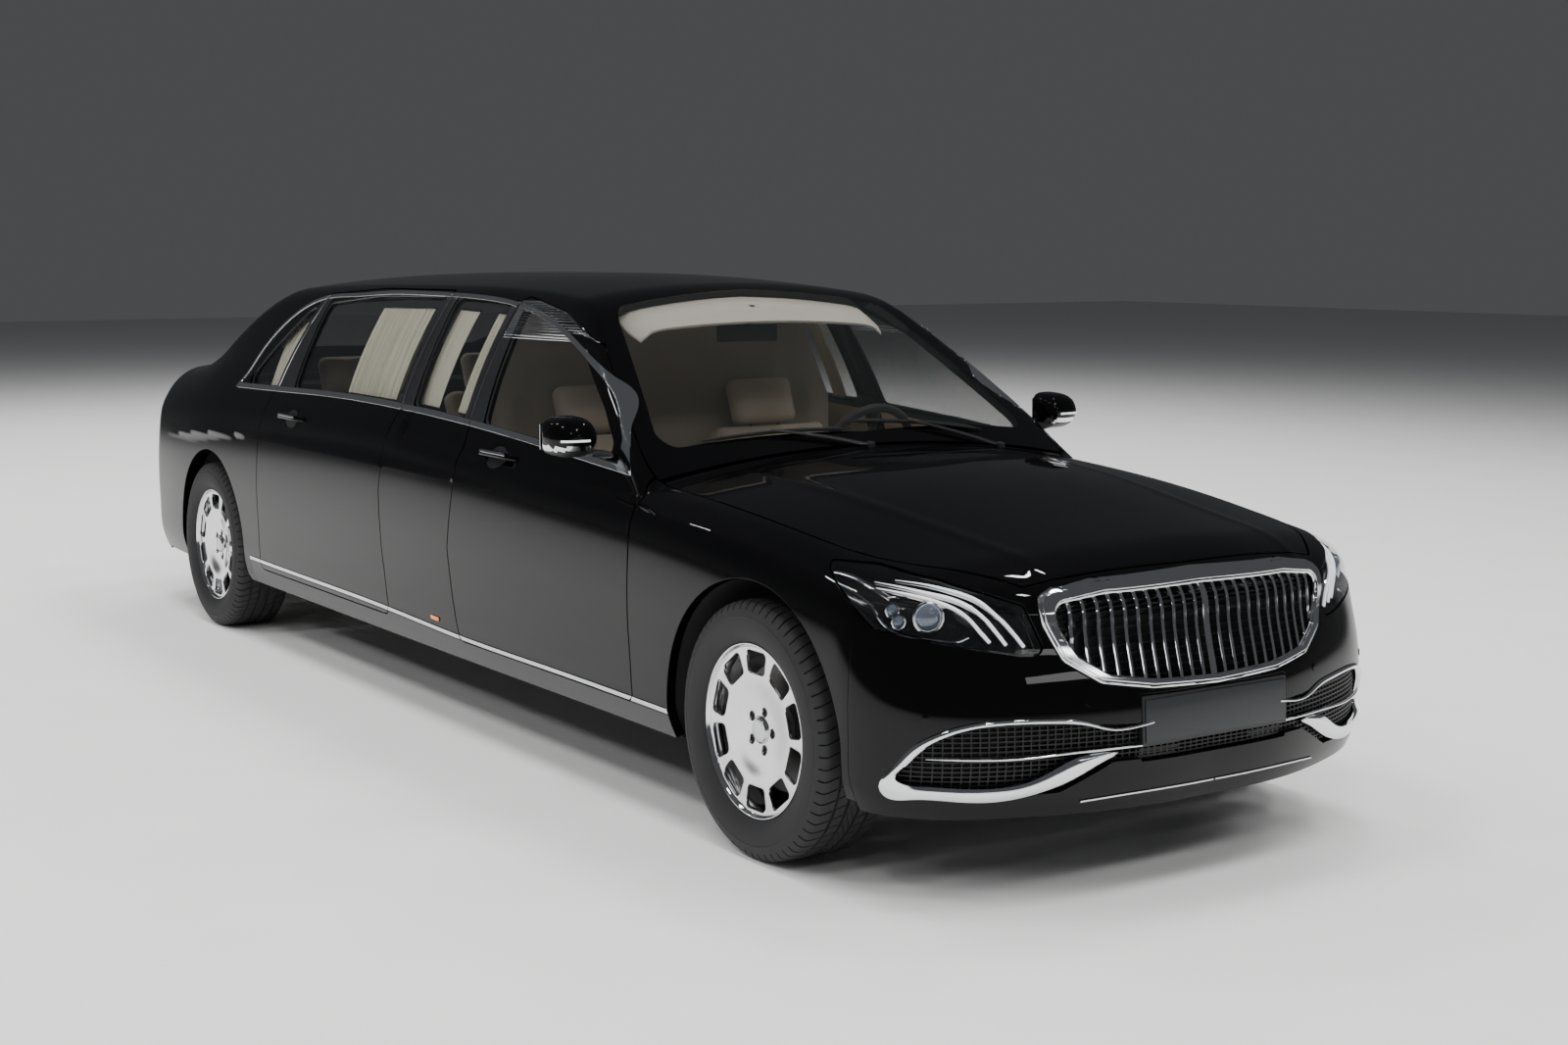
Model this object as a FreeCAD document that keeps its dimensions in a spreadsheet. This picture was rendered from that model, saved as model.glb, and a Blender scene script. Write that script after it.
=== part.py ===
"""Stretch limousine: a four-door saloon body lengthened behind the front doors.

Millimetres. X points forward, Y to the car's left, Z up. The origin is on the
ground under the middle of the body. Right-hand pieces lie at negative Y.
"""
import FreeCAD, Part
import math
import os
import re

SIZES = {
    # Main dimensions of the car
    "body_length": 6499.0,
    "body_width": 1899.0,
    "overall_height": 1598.0,
    "wheelbase": 4418.0,
    "front_overhang": 876.0,
    "front_track": 1624.0,
    "rear_track": 1637.0,
    "sill_height": 265.0,
    # Wheels and tyres
    "tyre_radius": 368.0,
    "tyre_width": 255.0,
    "tread_width": 216.0,
    "bead_radius": 231.0,
    "rim_width": 214.0,
    "rim_flange_radius": 245.0,
    "rim_flange_lip": 14.0,
    "rim_barrel_wall": 12.0,
    "hub_bore": 66.5,
    "bolt_circle": 112.0,
    "bolt_bore": 15.0,
    "vent_circle": 196.0,
    "vent_width": 52.0,
    "vent_height": 34.0,
    "vent_offset": 4.0,
    "vent_border": 22.0,
    "disc_centre_radius": 88.0,
    "disc_centre_inset": 30.0,
    "disc_edge_inset": 12.0,
    "hub_face_inset": 32.0,
    "hub_back_inset": 60.0,
    "barrel_inset": 40.0,
    "bead_step": 2.0,
    "bead_relief": 4.0,
    "tyre_bulge": 58.0,
    "tyre_shoulder": 14.0,
    "arch_radius": 428.0,
    # Panels
    "door_thickness": 62.0,
    "frame_thickness": 28.0,
    "panel_thickness": 34.0,
    "bonnet_thickness": 24.0,
    "roof_thickness": 30.0,
    "bumper_thickness": 40.0,
    "glass_thickness": 5.0,
    "shut_gap": 5.0,
    "glass_gap": 0.3,
    "glass_depth": 12.0,
    "seam_clearance": 0.3,
    "shut_pin_length": 10.0,
    "lid_pin_length": 60.0,
    "lid_hinge_spacing": 340.0,
    "overrun": 40.0,
    # Underbody
    "floor_height": 250.0,
    "floor_thickness": 30.0,
    "floor_half_width": 800.0,
    "tunnel_width": 190.0,
    "tunnel_height": 190.0,
    "rear_floor_height": 440.0,
    "rear_floor_half_width": 640.0,
    "rail_inner": 360.0,
    "rail_width": 70.0,
    "rail_height": 110.0,
    "rail_floor_height": 400.0,
    "bulkhead_thickness": 30.0,
    "bulkhead_half_width": 749.7,
    "engine_length": 820.0,
    "engine_width": 560.0,
    "engine_height": 470.0,
    "engine_floor": 300.0,
    "subframe_length": 300.0,
    "subframe_width": 820.0,
    "subframe_height": 70.0,
    "subframe_floor": 205.0,
    "arm_width": 60.0,
    "arm_thickness": 34.0,
    "kingpin_offset": 68.0,
    "brake_disc_radius": 184.0,
    "brake_disc_thickness": 32.0,
    "hub_radius": 72.0,
    "hub_length": 34.0,
    "hub_inner_face": 62.0,
    "brake_disc_inset": 96.0,
    "joint_gap": 0.3,
    "hub_inset": 21.0,
    "stub_radius": 32.0,
    "steering_arm_length": 150.0,
    "front_rail_length": 1260.0,
    "front_beam_depth": 60.0,
    "tow_eye_radius": 10.0,
    "tow_eye_offset": 300.0,
    "cabin_step": 80.0,
    "sill_reach": 63.9,
    "sill_width": 110.0,
    "toe_length": 190.0,
    "sill_box_height": 90.0,
    "rear_boot_length": 560.0,
    "bulkhead_height": 520.0,
    "rear_bulkhead_height": 560.0,
    "shaft_end": 60.0,
    "half_shaft_radius": 17.0,
    "final_drive_width": 260.0,
    "exhaust_radius": 32.0,
    "exhaust_spacing": 420.0,
    "exhaust_height": 215.0,
    "silencer_length": 420.0,
    "silencer_radius": 95.0,
    "silencer_back": 560.0,
    "exhaust_length": 3400.0,
    # Cabin
    "seat_width": 500.0,
    "cushion_nose": 8.0,
    "cushion_front_drop": 10.0,
    "cushion_rear_drop": 40.0,
    "backrest_foot": 60.0,
    "headrest_crown": 10.0,
    "headrest_tilt": 15.0,
    "seat_frame_height": 130.0,
    "seat_frame_inset": 60.0,
    "seat_clearance": 0.3,
    "seat_spacing": 740.0,
    "rear_seat_spacing": 700.0,
    "seat_length": 530.0,
    "cushion_height": 150.0,
    "backrest_height": 640.0,
    "backrest_thickness": 130.0,
    "backrest_lean": 20.0,
    "headrest_width": 280.0,
    "headrest_height": 190.0,
    "headrest_thickness": 95.0,
    "steering_wheel_radius": 190.0,
    "steering_rim_radius": 16.0,
    "steering_hub_radius": 62.0,
    "steering_hub_depth": 60.0,
    "steering_rake": 24.0,
    "column_gap": 1.0,
    "column_length": 180.0,
    "dash_depth": 420.0,
    "dash_height": 360.0,
    "dash_top_drop": 40.0,
    "dash_front_drop": 60.0,
    "console_rear_height": 240.0,
    "console_middle_height": 215.0,
    "console_front_height": 190.0,
    "console_width": 220.0,
    "partition_thickness": 60.0,
    "curtain_thickness": 14.0,
    "door_curtain_clearance": 5.0,
    "middle_curtain_clearance": 6.2,
    "quarter_curtain_clearance": 1.2,
    "wiper_length": 640.0,
    "wiper_width": 16.0,
    "wiper_base_offset": 75.0,
    "wiper_sweep": 34.0,
    "mirror_reach": 1060.0,
    "mirror_depth": 138.0,
    "mirror_foot_length": 70.0,
    "mirror_foot_width": 90.0,
    "mirror_foot_height": 26.0,
    "mirror_foot_drop": 70.0,
    "mirror_foot_offset": 20.0,
    "mirror_root": 22.0,
    "mirror_neck": 30.0,
    "mirror_waist": 100.0,
}
doc = FreeCAD.newDocument("stretch_limousine")
sheet = doc.addObject("Spreadsheet::Sheet", "sizes")
for row, (alias, value) in enumerate(SIZES.items(), 1):
    sheet.set("A%d" % row, alias)
    sheet.set("B%d" % row, repr(value))
    sheet.setAlias("B%d" % row, alias)
doc.recompute()

body_length = sheet.body_length
wheelbase = sheet.wheelbase
overall_height = sheet.overall_height
half_width = sheet.body_width / 2
front_overhang = sheet.front_overhang
rear_overhang = body_length - wheelbase - front_overhang
front_axle_x = body_length / 2 - front_overhang
rear_axle_x = front_axle_x - wheelbase
sill_height = sheet.sill_height


def curve(table):
    """A smooth function through (place, value) points: a natural cubic spline, straight beyond its ends."""
    xs = [p for p, _ in table]
    ys = [q for _, q in table]
    count = len(xs)
    h = [xs[i + 1] - xs[i] for i in range(count - 1)]
    slope = [(ys[i + 1] - ys[i]) / h[i] for i in range(count - 1)]
    bend = [0.0] * count
    if count > 2:
        upper = [0.0] * count
        right = [0.0] * count
        for i in range(1, count - 1):
            pivot = 2 * (h[i - 1] + h[i]) - h[i - 1] * upper[i - 1]
            upper[i] = h[i] / pivot
            right[i] = (6 * (slope[i] - slope[i - 1]) - h[i - 1] * right[i - 1]) / pivot
        for i in range(count - 2, 0, -1):
            bend[i] = right[i] - upper[i] * bend[i + 1]
    first = slope[0] - h[0] * bend[1] / 6
    last = slope[-1] + h[-1] * bend[-2] / 6

    def at(place):
        inside = min(max(place, xs[0]), xs[-1])
        i = 0
        while i < count - 2 and inside > xs[i + 1]:
            i += 1
        a = xs[i + 1] - inside
        b = inside - xs[i]
        low = ys[i] / h[i] - bend[i] * h[i] / 6
        high = ys[i + 1] / h[i] - bend[i + 1] * h[i] / 6
        value = (bend[i] * a ** 3 + bend[i + 1] * b ** 3) / (6 * h[i]) + low * a + high * b
        return value + first * min(place - xs[0], 0) + last * max(place - xs[-1], 0)

    return at


def place(share):
    """X at a share of the wheelbase: 0 is the rear axle and 1 the front axle, -1 and 2 are the bumpers."""
    if share > 1:
        return front_axle_x + (share - 1) * front_overhang
    if share < 0:
        return rear_axle_x + share * rear_overhang
    return rear_axle_x + share * wheelbase


def along(shares, unit):
    return curve([(place(s), share * unit) for s, share in shares])


# The outer form: one smooth function of (x, y, z), negative inside the body
bonnet_shares = [(0.80, 0.672), (0.90, 0.655), (1.0, 0.627), (1.35, 0.598), (1.65, 0.574), (1.85, 0.553),
                 (2.0, 0.525)]
boot_shares = [(-1.1, 0.69), (-0.95, 0.706), (-0.75, 0.722), (-0.45, 0.738), (-0.15, 0.757), (0.10, 0.775)]
roof_shares = [(0.0, 0.955), (0.08, 0.974), (0.17, 0.987), (0.30, 0.9965), (0.42, 1.0), (0.52, 0.9995),
               (0.62, 0.989), (0.70, 0.972), (0.80, 0.940)]
belt_shares = [(-1.0, 0.610), (-0.6, 0.640), (-0.3, 0.662), (0.04, 0.677), (0.15, 0.684), (0.32, 0.692),
               (0.43, 0.690), (0.57, 0.677), (0.65, 0.666), (0.83, 0.632), (1.0, 0.585), (1.5, 0.535), (2.0, 0.48)]
plan_shares = [(-1.0, 0.905), (-0.6, 0.962), (-0.2, 0.988), (0.1, 0.996), (0.35, 1.0), (0.65, 1.0),
               (0.85, 0.995), (1.0, 0.994), (1.4, 0.98), (2.0, 0.93)]
cabin_shares = [(-1.0, 0.80), (-0.5, 0.86), (-0.2, 0.93), (0.04, 0.972), (0.25, 0.995), (0.45, 1.0),
                (0.65, 1.0), (0.83, 0.99), (1.0, 0.96)]
bonnet_line = along(bonnet_shares, overall_height)
boot_line = along(boot_shares, overall_height)
roof_line = along(roof_shares, overall_height)
belt_line = along(belt_shares, overall_height)
side_plan = along(plan_shares, half_width)
cabin_plan = along(cabin_shares, half_width)
section_inset = curve([(0.0, 0.034), (0.10, 0.010), (0.22, 0.004), (0.50, 0.0), (0.70, 0.006), (0.82, 0.016),
                       (0.90, 0.032), (1.0, 0.080), (1.12, 0.15), (1.3, 0.27)])
nose_profile = curve([(0.10, 0.10), (0.155, 0.035), (0.21, 0.004), (0.27, 0.0), (0.33, 0.006), (0.40, 0.036),
                      (0.46, 0.060), (0.515, 0.085), (0.56, 0.18)])
nose_plan = curve([(0.0, 0.0), (0.25, 0.008), (0.45, 0.052), (0.62, 0.115), (0.78, 0.20), (0.90, 0.30),
                   (1.0, 0.42), (1.1, 0.60)])
tail_profile = curve([(0.14, 0.07), (0.20, 0.02), (0.30, 0.0), (0.45, 0.004), (0.58, 0.022), (0.68, 0.045),
                      (0.74, 0.10)])
tail_plan = curve([(0.0, 0.0), (0.3, 0.008), (0.5, 0.03), (0.7, 0.085), (0.85, 0.16), (1.0, 0.28), (1.1, 0.40)])
FORM_SHARES = {
    "deck_blend": 0.056, "nose_blend": 0.069, "tail_blend": 0.075, "roof_edge_blend": 0.029,
    "roof_blend": 0.050, "deck_fall_front": 0.048, "deck_fall_rear": 0.038, "deck_fall_width": 0.84,
    "crown_fall": 0.028, "crown_width": 0.63, "screen_base_x": 0.2616, "screen_base_z": 0.662,
    "screen_bow": 0.060, "screen_swell": 0.0088, "rear_base_x": 0.3847, "rear_base_z": 0.737,
    "rear_bow": 0.044, "cabin_width": 0.916, "cabin_start": 0.56,
}
screen_rake_share = 0.628
rear_rake_share = 0.52
cabin_lean_share = 0.34
cabin_curl_share = 0.64
steepest_share = 0.7


def high(name):
    return FORM_SHARES[name] * overall_height


screen_base = (FORM_SHARES["screen_base_x"] * body_length, high("screen_base_z"))
rear_base = (-FORM_SHARES["rear_base_x"] * body_length, high("rear_base_z"))


def largest(a, b, blend):
    over = max(blend - abs(a - b), 0) / blend
    return max(a, b) + over * over * blend / 4


def smallest(a, b, blend):
    return -largest(-a, -b, blend)


def cabin_side(x, z):
    up = z - belt_line(min(x, screen_base[0]))
    lean = cabin_lean_share * up + cabin_curl_share / overall_height * up * abs(up)
    return FORM_SHARES["cabin_width"] * cabin_plan(x) - lean


def lower_body(x, y, z):
    share = abs(y) / half_width
    level = (z - sill_height) / (belt_line(x) - sill_height)
    side = abs(y) - side_plan(x) + section_inset(level) * half_width
    fall = (share / FORM_SHARES["deck_fall_width"]) ** 2.2
    if x > 0:
        deck = z - bonnet_line(x) + high("deck_fall_front") * fall
    else:
        deck = z - boot_line(x) + high("deck_fall_rear") * fall
    tall = z / overall_height
    nose = x - body_length / 2 + front_overhang * (nose_profile(tall) + nose_plan(share))
    tail = -x - body_length / 2 + rear_overhang * (tail_profile(tall) + tail_plan(share))
    form = largest(side, deck, high("deck_blend"))
    form = largest(form, nose, high("nose_blend"))
    return largest(form, tail, high("tail_blend"))


def cabin(x, y, z):
    share = abs(y) / half_width
    crown = high("crown_fall") * (share / FORM_SHARES["crown_width"]) ** 2.2
    back = (screen_base[0] - x) / (body_length / 8)
    swell = high("screen_swell") * 4 * back * (1 - back)
    front = screen_base[1] + screen_rake_share * (screen_base[0] - x - high("screen_bow") * share * share) + swell
    rear = rear_base[1] + rear_rake_share * (x - rear_base[0] - high("rear_bow") * share * share)
    form = largest(z - roof_line(x) + crown, z - front + crown / 3, high("roof_edge_blend"))
    form = largest(form, z - rear, high("roof_blend"))
    form = largest(form, abs(y) - cabin_side(x, z), high("roof_edge_blend"))
    return max(form, high("cabin_start") - z)


def body_form(x, y, z):
    near_tail = min(max((rear_axle_x + wheelbase / 9 - x) / (wheelbase / 6), 0), 1)
    return smallest(lower_body(x, y, z), cabin(x, y, z), high("roof_blend") * (0.05 + near_tail))


def seat(start, toward):
    """The point where the ray from start, inside the body, through toward leaves the outer form."""
    ray = (toward - start).normalize()
    near = 0.0
    far = half_width * 2
    for _ in range(26):
        middle = (near + far) / 2
        point = start + ray * middle
        if body_form(point.x, point.y, point.z) < 0:
            near = middle
        else:
            far = middle
    return start + ray * near


def outward(point):
    """The outer form's normal, from its slope."""
    step = overall_height / 1600
    slope = []
    for axis in (FreeCAD.Vector(step, 0, 0), FreeCAD.Vector(0, step, 0), FreeCAD.Vector(0, 0, step)):
        ahead = point + axis
        behind = point - axis
        slope.append(body_form(ahead.x, ahead.y, ahead.z) - body_form(behind.x, behind.y, behind.z))
    return FreeCAD.Vector(*slope).normalize()


def thick_skin(rows, thickness, sunk=0.0):
    """A closed solid from rows of rays, each a start inside the body and a point that it is aimed through.

    The outer face is where the rays leave the form, or sunk below that, and the inner one is set in
    along the same rays. The thickness is one size, or a function of the outer point.
    """
    outer_rows = []
    inner_rows = []
    for row in rows:
        outer_row = []
        inner_row = []
        for start, guess in row:
            point = seat(start, guess)
            ray = (point - start).normalize()
            facing = max(outward(point).dot(ray), steepest_share)
            deep = thickness(point) if callable(thickness) else thickness
            outer_row.append(point - ray * (sunk / facing))
            inner_row.append(point - ray * ((sunk + deep) / facing))
        outer_rows.append(outer_row)
        inner_rows.append(inner_row)
    return closed_skin(outer_rows, inner_rows)


def curves_through(grid):
    """One smooth curve along each column of a grid of points."""
    curves = []
    for column in zip(*grid):
        through = Part.BSplineCurve()
        through.interpolate(list(column))
        curves.append(through.toShape())
    return curves


def closed_skin(outer_rows, inner_rows):
    """A solid between two like grids of points, its faces ruled between neighbouring curves."""
    outer = curves_through(outer_rows)
    inner = curves_through(inner_rows)
    faces = [Part.makeRuledSurface(a, b) for curves in (outer, inner) for a, b in zip(curves, curves[1:])]
    faces += [Part.makeRuledSurface(outer[end], inner[end]) for end in (0, -1)]
    for outer_row, inner_row in ((outer_rows[0], inner_rows[0]), (outer_rows[-1], inner_rows[-1])):
        for i in range(len(outer_row) - 1):
            outer_edge = Part.LineSegment(outer_row[i], outer_row[i + 1]).toShape()
            inner_edge = Part.LineSegment(inner_row[i], inner_row[i + 1]).toShape()
            faces.append(Part.makeRuledSurface(outer_edge, inner_edge))
    skin = Part.Compound(faces)
    skin.sewShape()
    solid = Part.Solid(skin.Shells[0])
    if solid.Volume < 0:
        solid.reverse()
    return solid


def rounded(points, radius):
    """A closed wire through the points with its corners rounded, or left sharp where there is no room."""
    count = len(points)
    corners = []
    for i in range(count):
        before = (points[i - 1] - points[i])
        after = (points[(i + 1) % count] - points[i])
        turn = math.pi - before.getAngle(after)
        reach = min(before.Length, after.Length) * 0.49
        cut = min(radius * math.tan(turn / 2), reach)
        start = points[i] + FreeCAD.Vector(before).normalize() * cut
        end = points[i] + FreeCAD.Vector(after).normalize() * cut
        bisector = (FreeCAD.Vector(before).normalize() + FreeCAD.Vector(after).normalize())
        if turn < 0.02 or bisector.Length < 1e-6:
            corners.append((points[i], None, points[i]))
            continue
        bend = cut / math.tan(turn / 2)
        centre = points[i] + bisector.normalize() * math.hypot(cut, bend)
        middle = centre + (points[i] - centre).normalize() * bend
        corners.append((start, middle, end))
    edges = []
    for i in range(count):
        start, middle, end = corners[i]
        if middle is not None:
            edges.append(Part.Arc(start, middle, end).toShape())
        following = corners[(i + 1) % count][0]
        if (following - end).Length > 1e-4:
            edges.append(Part.LineSegment(end, following).toShape())
    return Part.Wire(edges)


def side_prism(points, radius, grow=0.0):
    """A prism along Y, from inside the right-hand wall out past it, over an outline of (x, z) points."""
    start = -(half_width + sheet.overrun)
    wire = rounded([FreeCAD.Vector(x, start, z) for x, z in points], radius)
    if grow:
        wire = wire.makeOffset2D(grow)
    return Part.Face(wire).extrude(FreeCAD.Vector(0, half_width - sheet.overrun * 3, 0))


def top_prism(points, radius, grow=0.0):
    wire = rounded([FreeCAD.Vector(x, y, 0) for x, y in points], radius)
    if grow:
        wire = wire.makeOffset2D(grow)
    return Part.Face(wire).extrude(FreeCAD.Vector(0, 0, overall_height + sheet.overrun))


def front_prism(points, radius, start, depth, grow=0.0):
    wire = rounded([FreeCAD.Vector(start, y, z) for y, z in points], radius)
    if grow:
        wire = wire.makeOffset2D(grow)
    return Part.Face(wire).extrude(FreeCAD.Vector(depth, 0, 0))


def add(name, shape, right_side=False):
    """A sub-part whose shape is set here; a right-hand one gets its mirror image on the left."""
    if isinstance(shape, list):
        shape = Part.Compound(shape)
    obj = doc.addObject("Part::Feature", name)
    obj.Label = name
    obj.Shape = shape
    kept.append(obj)
    if right_side:
        twin = doc.addObject("Part::Mirroring", name.replace("_right", "_left"))
        twin.Label = name.replace("_right", "_left")
        twin.Source = obj
        twin.Normal = FreeCAD.Vector(0, 1, 0)
        kept.append(twin)
    return obj


kept = []
vec = FreeCAD.Vector
core_z = 0.40 * overall_height


def steps(first, last, count):
    return [first + (last - first) * i / (count - 1) for i in range(count)]


def top_z(x, y):
    start = vec(x, y, core_z)
    return seat(start, start + vec(0, 0, 1)).z


boot_half_width = 0.61 * half_width
bonnet_half_width = 0.842 * half_width
rail_share = 0.042
core_y = 0.32 * half_width


def cabin_corner(x):
    y = 0.70 * half_width
    for _ in range(8):
        y = 0.5 * y + 0.5 * (cabin_side(x, top_z(x, y)) - 0.006 * half_width)
    return y


def ramp(value, start, end):
    part = min(max((value - start) / (end - start), 0), 1)
    return part * part * (3 - 2 * part)


def seam_y(x):
    """Half-width of the seam between the side walls and what lies between them on top."""
    into_bonnet = ramp(x, screen_base[0] - 0.022 * body_length, screen_base[0] + 0.006 * body_length)
    into_boot = ramp(x, rear_base[0] + 0.045 * body_length, rear_base[0] + 0.006 * body_length)
    middle = cabin_corner(min(max(x, rear_base[0]), screen_base[0])) - rail_share * half_width
    y = middle + (bonnet_half_width - middle) * into_bonnet
    return y + (boot_half_width - y) * into_boot


quarter_end_x = place(-0.71)
fender_end_x = place(1.52)
belt_guess_y = 0.93 * half_width


def side_rows(first, last, count, low=None, lower_steps=9, upper_steps=7):
    rows = []
    for x in steps(first, last, count):
        start = vec(x, -core_y, core_z)
        y_top = seam_y(x) - 2 * sheet.shut_gap
        z_top = top_z(x, -y_top)
        z_belt = min(belt_line(x), z_top - 0.03 * overall_height)
        low_z = sill_height if low is None else low
        guesses = [vec(x, -half_width, z) for z in steps(low_z, z_belt, lower_steps)]
        waist = guesses[-1]
        waist = vec(x, -belt_guess_y, waist.z)
        for part in steps(0, 1, upper_steps + 1)[1:]:
            guesses.append(waist + (vec(x, -y_top, z_top) - waist) * part)
        rows.append([(start, guess) for guess in guesses])
    return rows


def wall_thickness(point):
    """Full door thickness up to the belt, and the thinner window frames and rails above it."""
    above = ramp(point.z, belt_line(point.x) - 2 * sheet.frame_thickness, belt_line(point.x) + sheet.frame_thickness)
    return sheet.door_thickness + (sheet.frame_thickness - sheet.door_thickness) * above


side_skin = thick_skin(side_rows(quarter_end_x, fender_end_x, 44), wall_thickness)

cross = FreeCAD.Vector(0, 1, 0)


def wheel_hole(x):
    """A cylinder along Y that clears one pair of wheels."""
    start = vec(x, -half_width - sheet.overrun, sheet.tyre_radius)
    return Part.makeCylinder(sheet.arch_radius, sheet.body_width + 2 * sheet.overrun, start, cross)


def spot(share, tall_share):
    """(x, z) from a share of the wheelbase, as place() has it, and a share of the overall height."""
    return (place(share), tall_share * overall_height)


# Door and window outlines seen from the side, as shares of wheelbase and height
front_door_shares = [(0.856, 0.213), (0.8555, 0.245), (0.8525, 0.354), (0.851, 0.503), (0.8495, 0.585),
                     (0.838, 0.640), (0.822, 0.668), (0.782, 0.756), (0.718, 0.862), (0.650, 0.924),
                     (0.570, 0.957), (0.574, 0.700), (0.5795, 0.585), (0.5690, 0.410), (0.5760, 0.304),
                     (0.5865, 0.213)]
rear_door_shares = [(0.449, 0.213), (0.4375, 0.367), (0.4325, 0.503), (0.4385, 0.596), (0.445, 0.700),
                    (0.448, 0.9605), (0.300, 0.9570), (0.180, 0.938), (0.170, 0.860), (0.153, 0.690),
                    (0.1435, 0.590), (0.1405, 0.426),
                    (0.142, 0.213)]
front_glass_shares = [(0.813, 0.643), (0.700, 0.668), (0.5975, 0.682), (0.582, 0.944), (0.640, 0.912),
                      (0.712, 0.838), (0.766, 0.745)]
middle_glass_shares = [(0.5645, 0.688), (0.4655, 0.697), (0.4575, 0.949), (0.5590, 0.944)]
rear_glass_shares = [(0.4375, 0.698), (0.312, 0.699), (0.193, 0.692), (0.189, 0.916), (0.300, 0.942),
                     (0.4385, 0.949)]
quarter_glass_shares = [(0.147, 0.690), (0.052, 0.680), (0.104, 0.800), (0.148, 0.893), (0.170, 0.911)]
corner_radius_share = 0.012
swing_share = 0.0052
small_radius = corner_radius_share * overall_height
seam_gap = sheet.seam_clearance


def side_outline(shares):
    return [spot(s, t) for s, t in shares]


def shut(shares):
    return side_prism(side_outline(shares), 2 * small_radius, sheet.shut_gap)


def leaf(shares):
    return side_prism(side_outline(shares), 2 * small_radius)


def eased(shares):
    """A door leaf's outline, its rear edge set forward above the belt for the swing of its leaning top."""
    middle = sum(s for s, _ in shares) / len(shares)
    waist = FORM_SHARES["screen_base_z"]
    return [(s + swing_share * max(t - waist, 0) if s < middle else s, t) for s, t in shares]


def pane_hole(shares):
    return side_prism(side_outline(shares), 2 * small_radius)


def outline_plate(shares, inset, thickness, depth):
    """A pane that follows the side's curve at some depth under the skin, within a window outline."""
    points = side_outline(shares)
    xs = [p[0] for p in points]
    zs = [p[1] for p in points]
    margin = sheet.overrun / 2
    rows = []
    for x in steps(min(xs) - margin, max(xs) + margin, 7):
        row = []
        for z in steps(min(zs) - margin, max(zs) + margin, 6):
            y = cabin_side(x, z) - depth
            row.append(vec(x, -y, z))
        rows.append(row)
    pane = closed_skin(rows, [[p + vec(0, thickness, 0) for p in row] for row in rows])
    return pane.common(side_prism(points, 2 * small_radius, -inset))


arch_holes = [wheel_hole(front_axle_x), wheel_hole(rear_axle_x)]
pane_holes = [pane_hole(front_glass_shares), pane_hole(rear_glass_shares), pane_hole(middle_glass_shares),
              pane_hole(quarter_glass_shares)]
side_wall = side_skin.cut(pane_holes + arch_holes)
front_door = side_wall.common(leaf(eased(front_door_shares)))
rear_door = side_wall.common(leaf(eased(rear_door_shares)))
fender_shares = [(0.8572, 0.205), (0.8555, 0.245), (0.8525, 0.354), (0.851, 0.503), (0.8495, 0.585),
                 (0.838, 0.640), (0.829, 0.656), (0.829, 0.9), (1.7, 0.9), (1.7, 0.1), (0.915, 0.1), (0.915, 0.205)]
fender = side_wall.common(leaf(fender_shares)).cut(shut(front_door_shares))
fender_room = side_prism(side_outline(fender_shares), 2 * small_radius, seam_gap)
side_frame = side_wall.cut([shut(front_door_shares), shut(rear_door_shares), fender_room])


def whole(shape):
    """The shape without crumbs left by its cuts."""
    solids = [s for s in shape.Solids if s.Volume > sheet.shut_gap ** 3 * 400]
    return solids[0] if len(solids) == 1 else Part.Compound(solids)


# Roof, screens and deck, seen from above
roof_front_x = screen_base[0] - 0.003 * body_length
roof_rear_x = rear_base[0] + 0.006 * body_length


def top_rows(first, last, count, half, across=11):
    rows = []
    for x in steps(first, last, count):
        row = []
        for share in steps(-1, 1, across):
            y = share * half(x)
            row.append((vec(x, share * core_y, core_z), vec(x, y, top_z(x, y))))
        rows.append(row)
    return rows


def roof_room(margin):
    """The roof with a margin at its sides and ends, deep and tall enough to cut its neighbours back."""
    rows = top_rows(roof_rear_x - margin, roof_front_x + margin, 34, lambda x: seam_y(x) + margin, 13)
    return thick_skin(rows, sheet.roof_thickness + sheet.door_thickness + sheet.overrun, -sheet.overrun)


roof_rows = top_rows(roof_rear_x, roof_front_x, 34, seam_y, 13)
roof_skin = thick_skin(roof_rows, sheet.roof_thickness)
roof_clear = roof_room(seam_gap)
doors_clear = roof_room(sheet.shut_gap)
screen_shares = [(0.251, 0.0), (0.2445, 0.735), (0.235, 0.765), (0.158, 0.600), (0.146, 0.56), (0.138, 0.0)]
rear_screen_shares = [(-0.377, 0.0), (-0.370, 0.555), (-0.358, 0.605), (-0.312, 0.590), (-0.302, 0.55),
                      (-0.296, 0.0)]


def mirrored(shares):
    """Plan outline from (share of length, share of half-width) points on one side."""
    right = [(a * body_length, -b * half_width) for a, b in shares]
    left = [(x, -y) for x, y in reversed(right) if y]
    return right + left


screen_hole = top_prism(mirrored(screen_shares), 3 * small_radius)
rear_screen_hole = top_prism(mirrored(rear_screen_shares), 3 * small_radius)
roof = roof_skin.cut([screen_hole, rear_screen_hole])
glass_skin = thick_skin(roof_rows, sheet.glass_thickness)
screen = glass_skin.common(top_prism(mirrored(screen_shares), 3 * small_radius, -sheet.glass_gap))
rear_screen = glass_skin.common(top_prism(mirrored(rear_screen_shares), 3 * small_radius, -sheet.glass_gap))

# Bonnet: wide at the screen, as wide as the grille at its nose
bonnet_rear_x = screen_base[0] - 0.001 * body_length
bonnet_nose_share = 0.4775
bonnet_bow_share = 0.0066
bonnet_plan = curve([(0.0, 0.836), (0.35, 0.832), (0.62, 0.812), (0.80, 0.755), (0.92, 0.655), (1.0, 0.560)])


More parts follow.
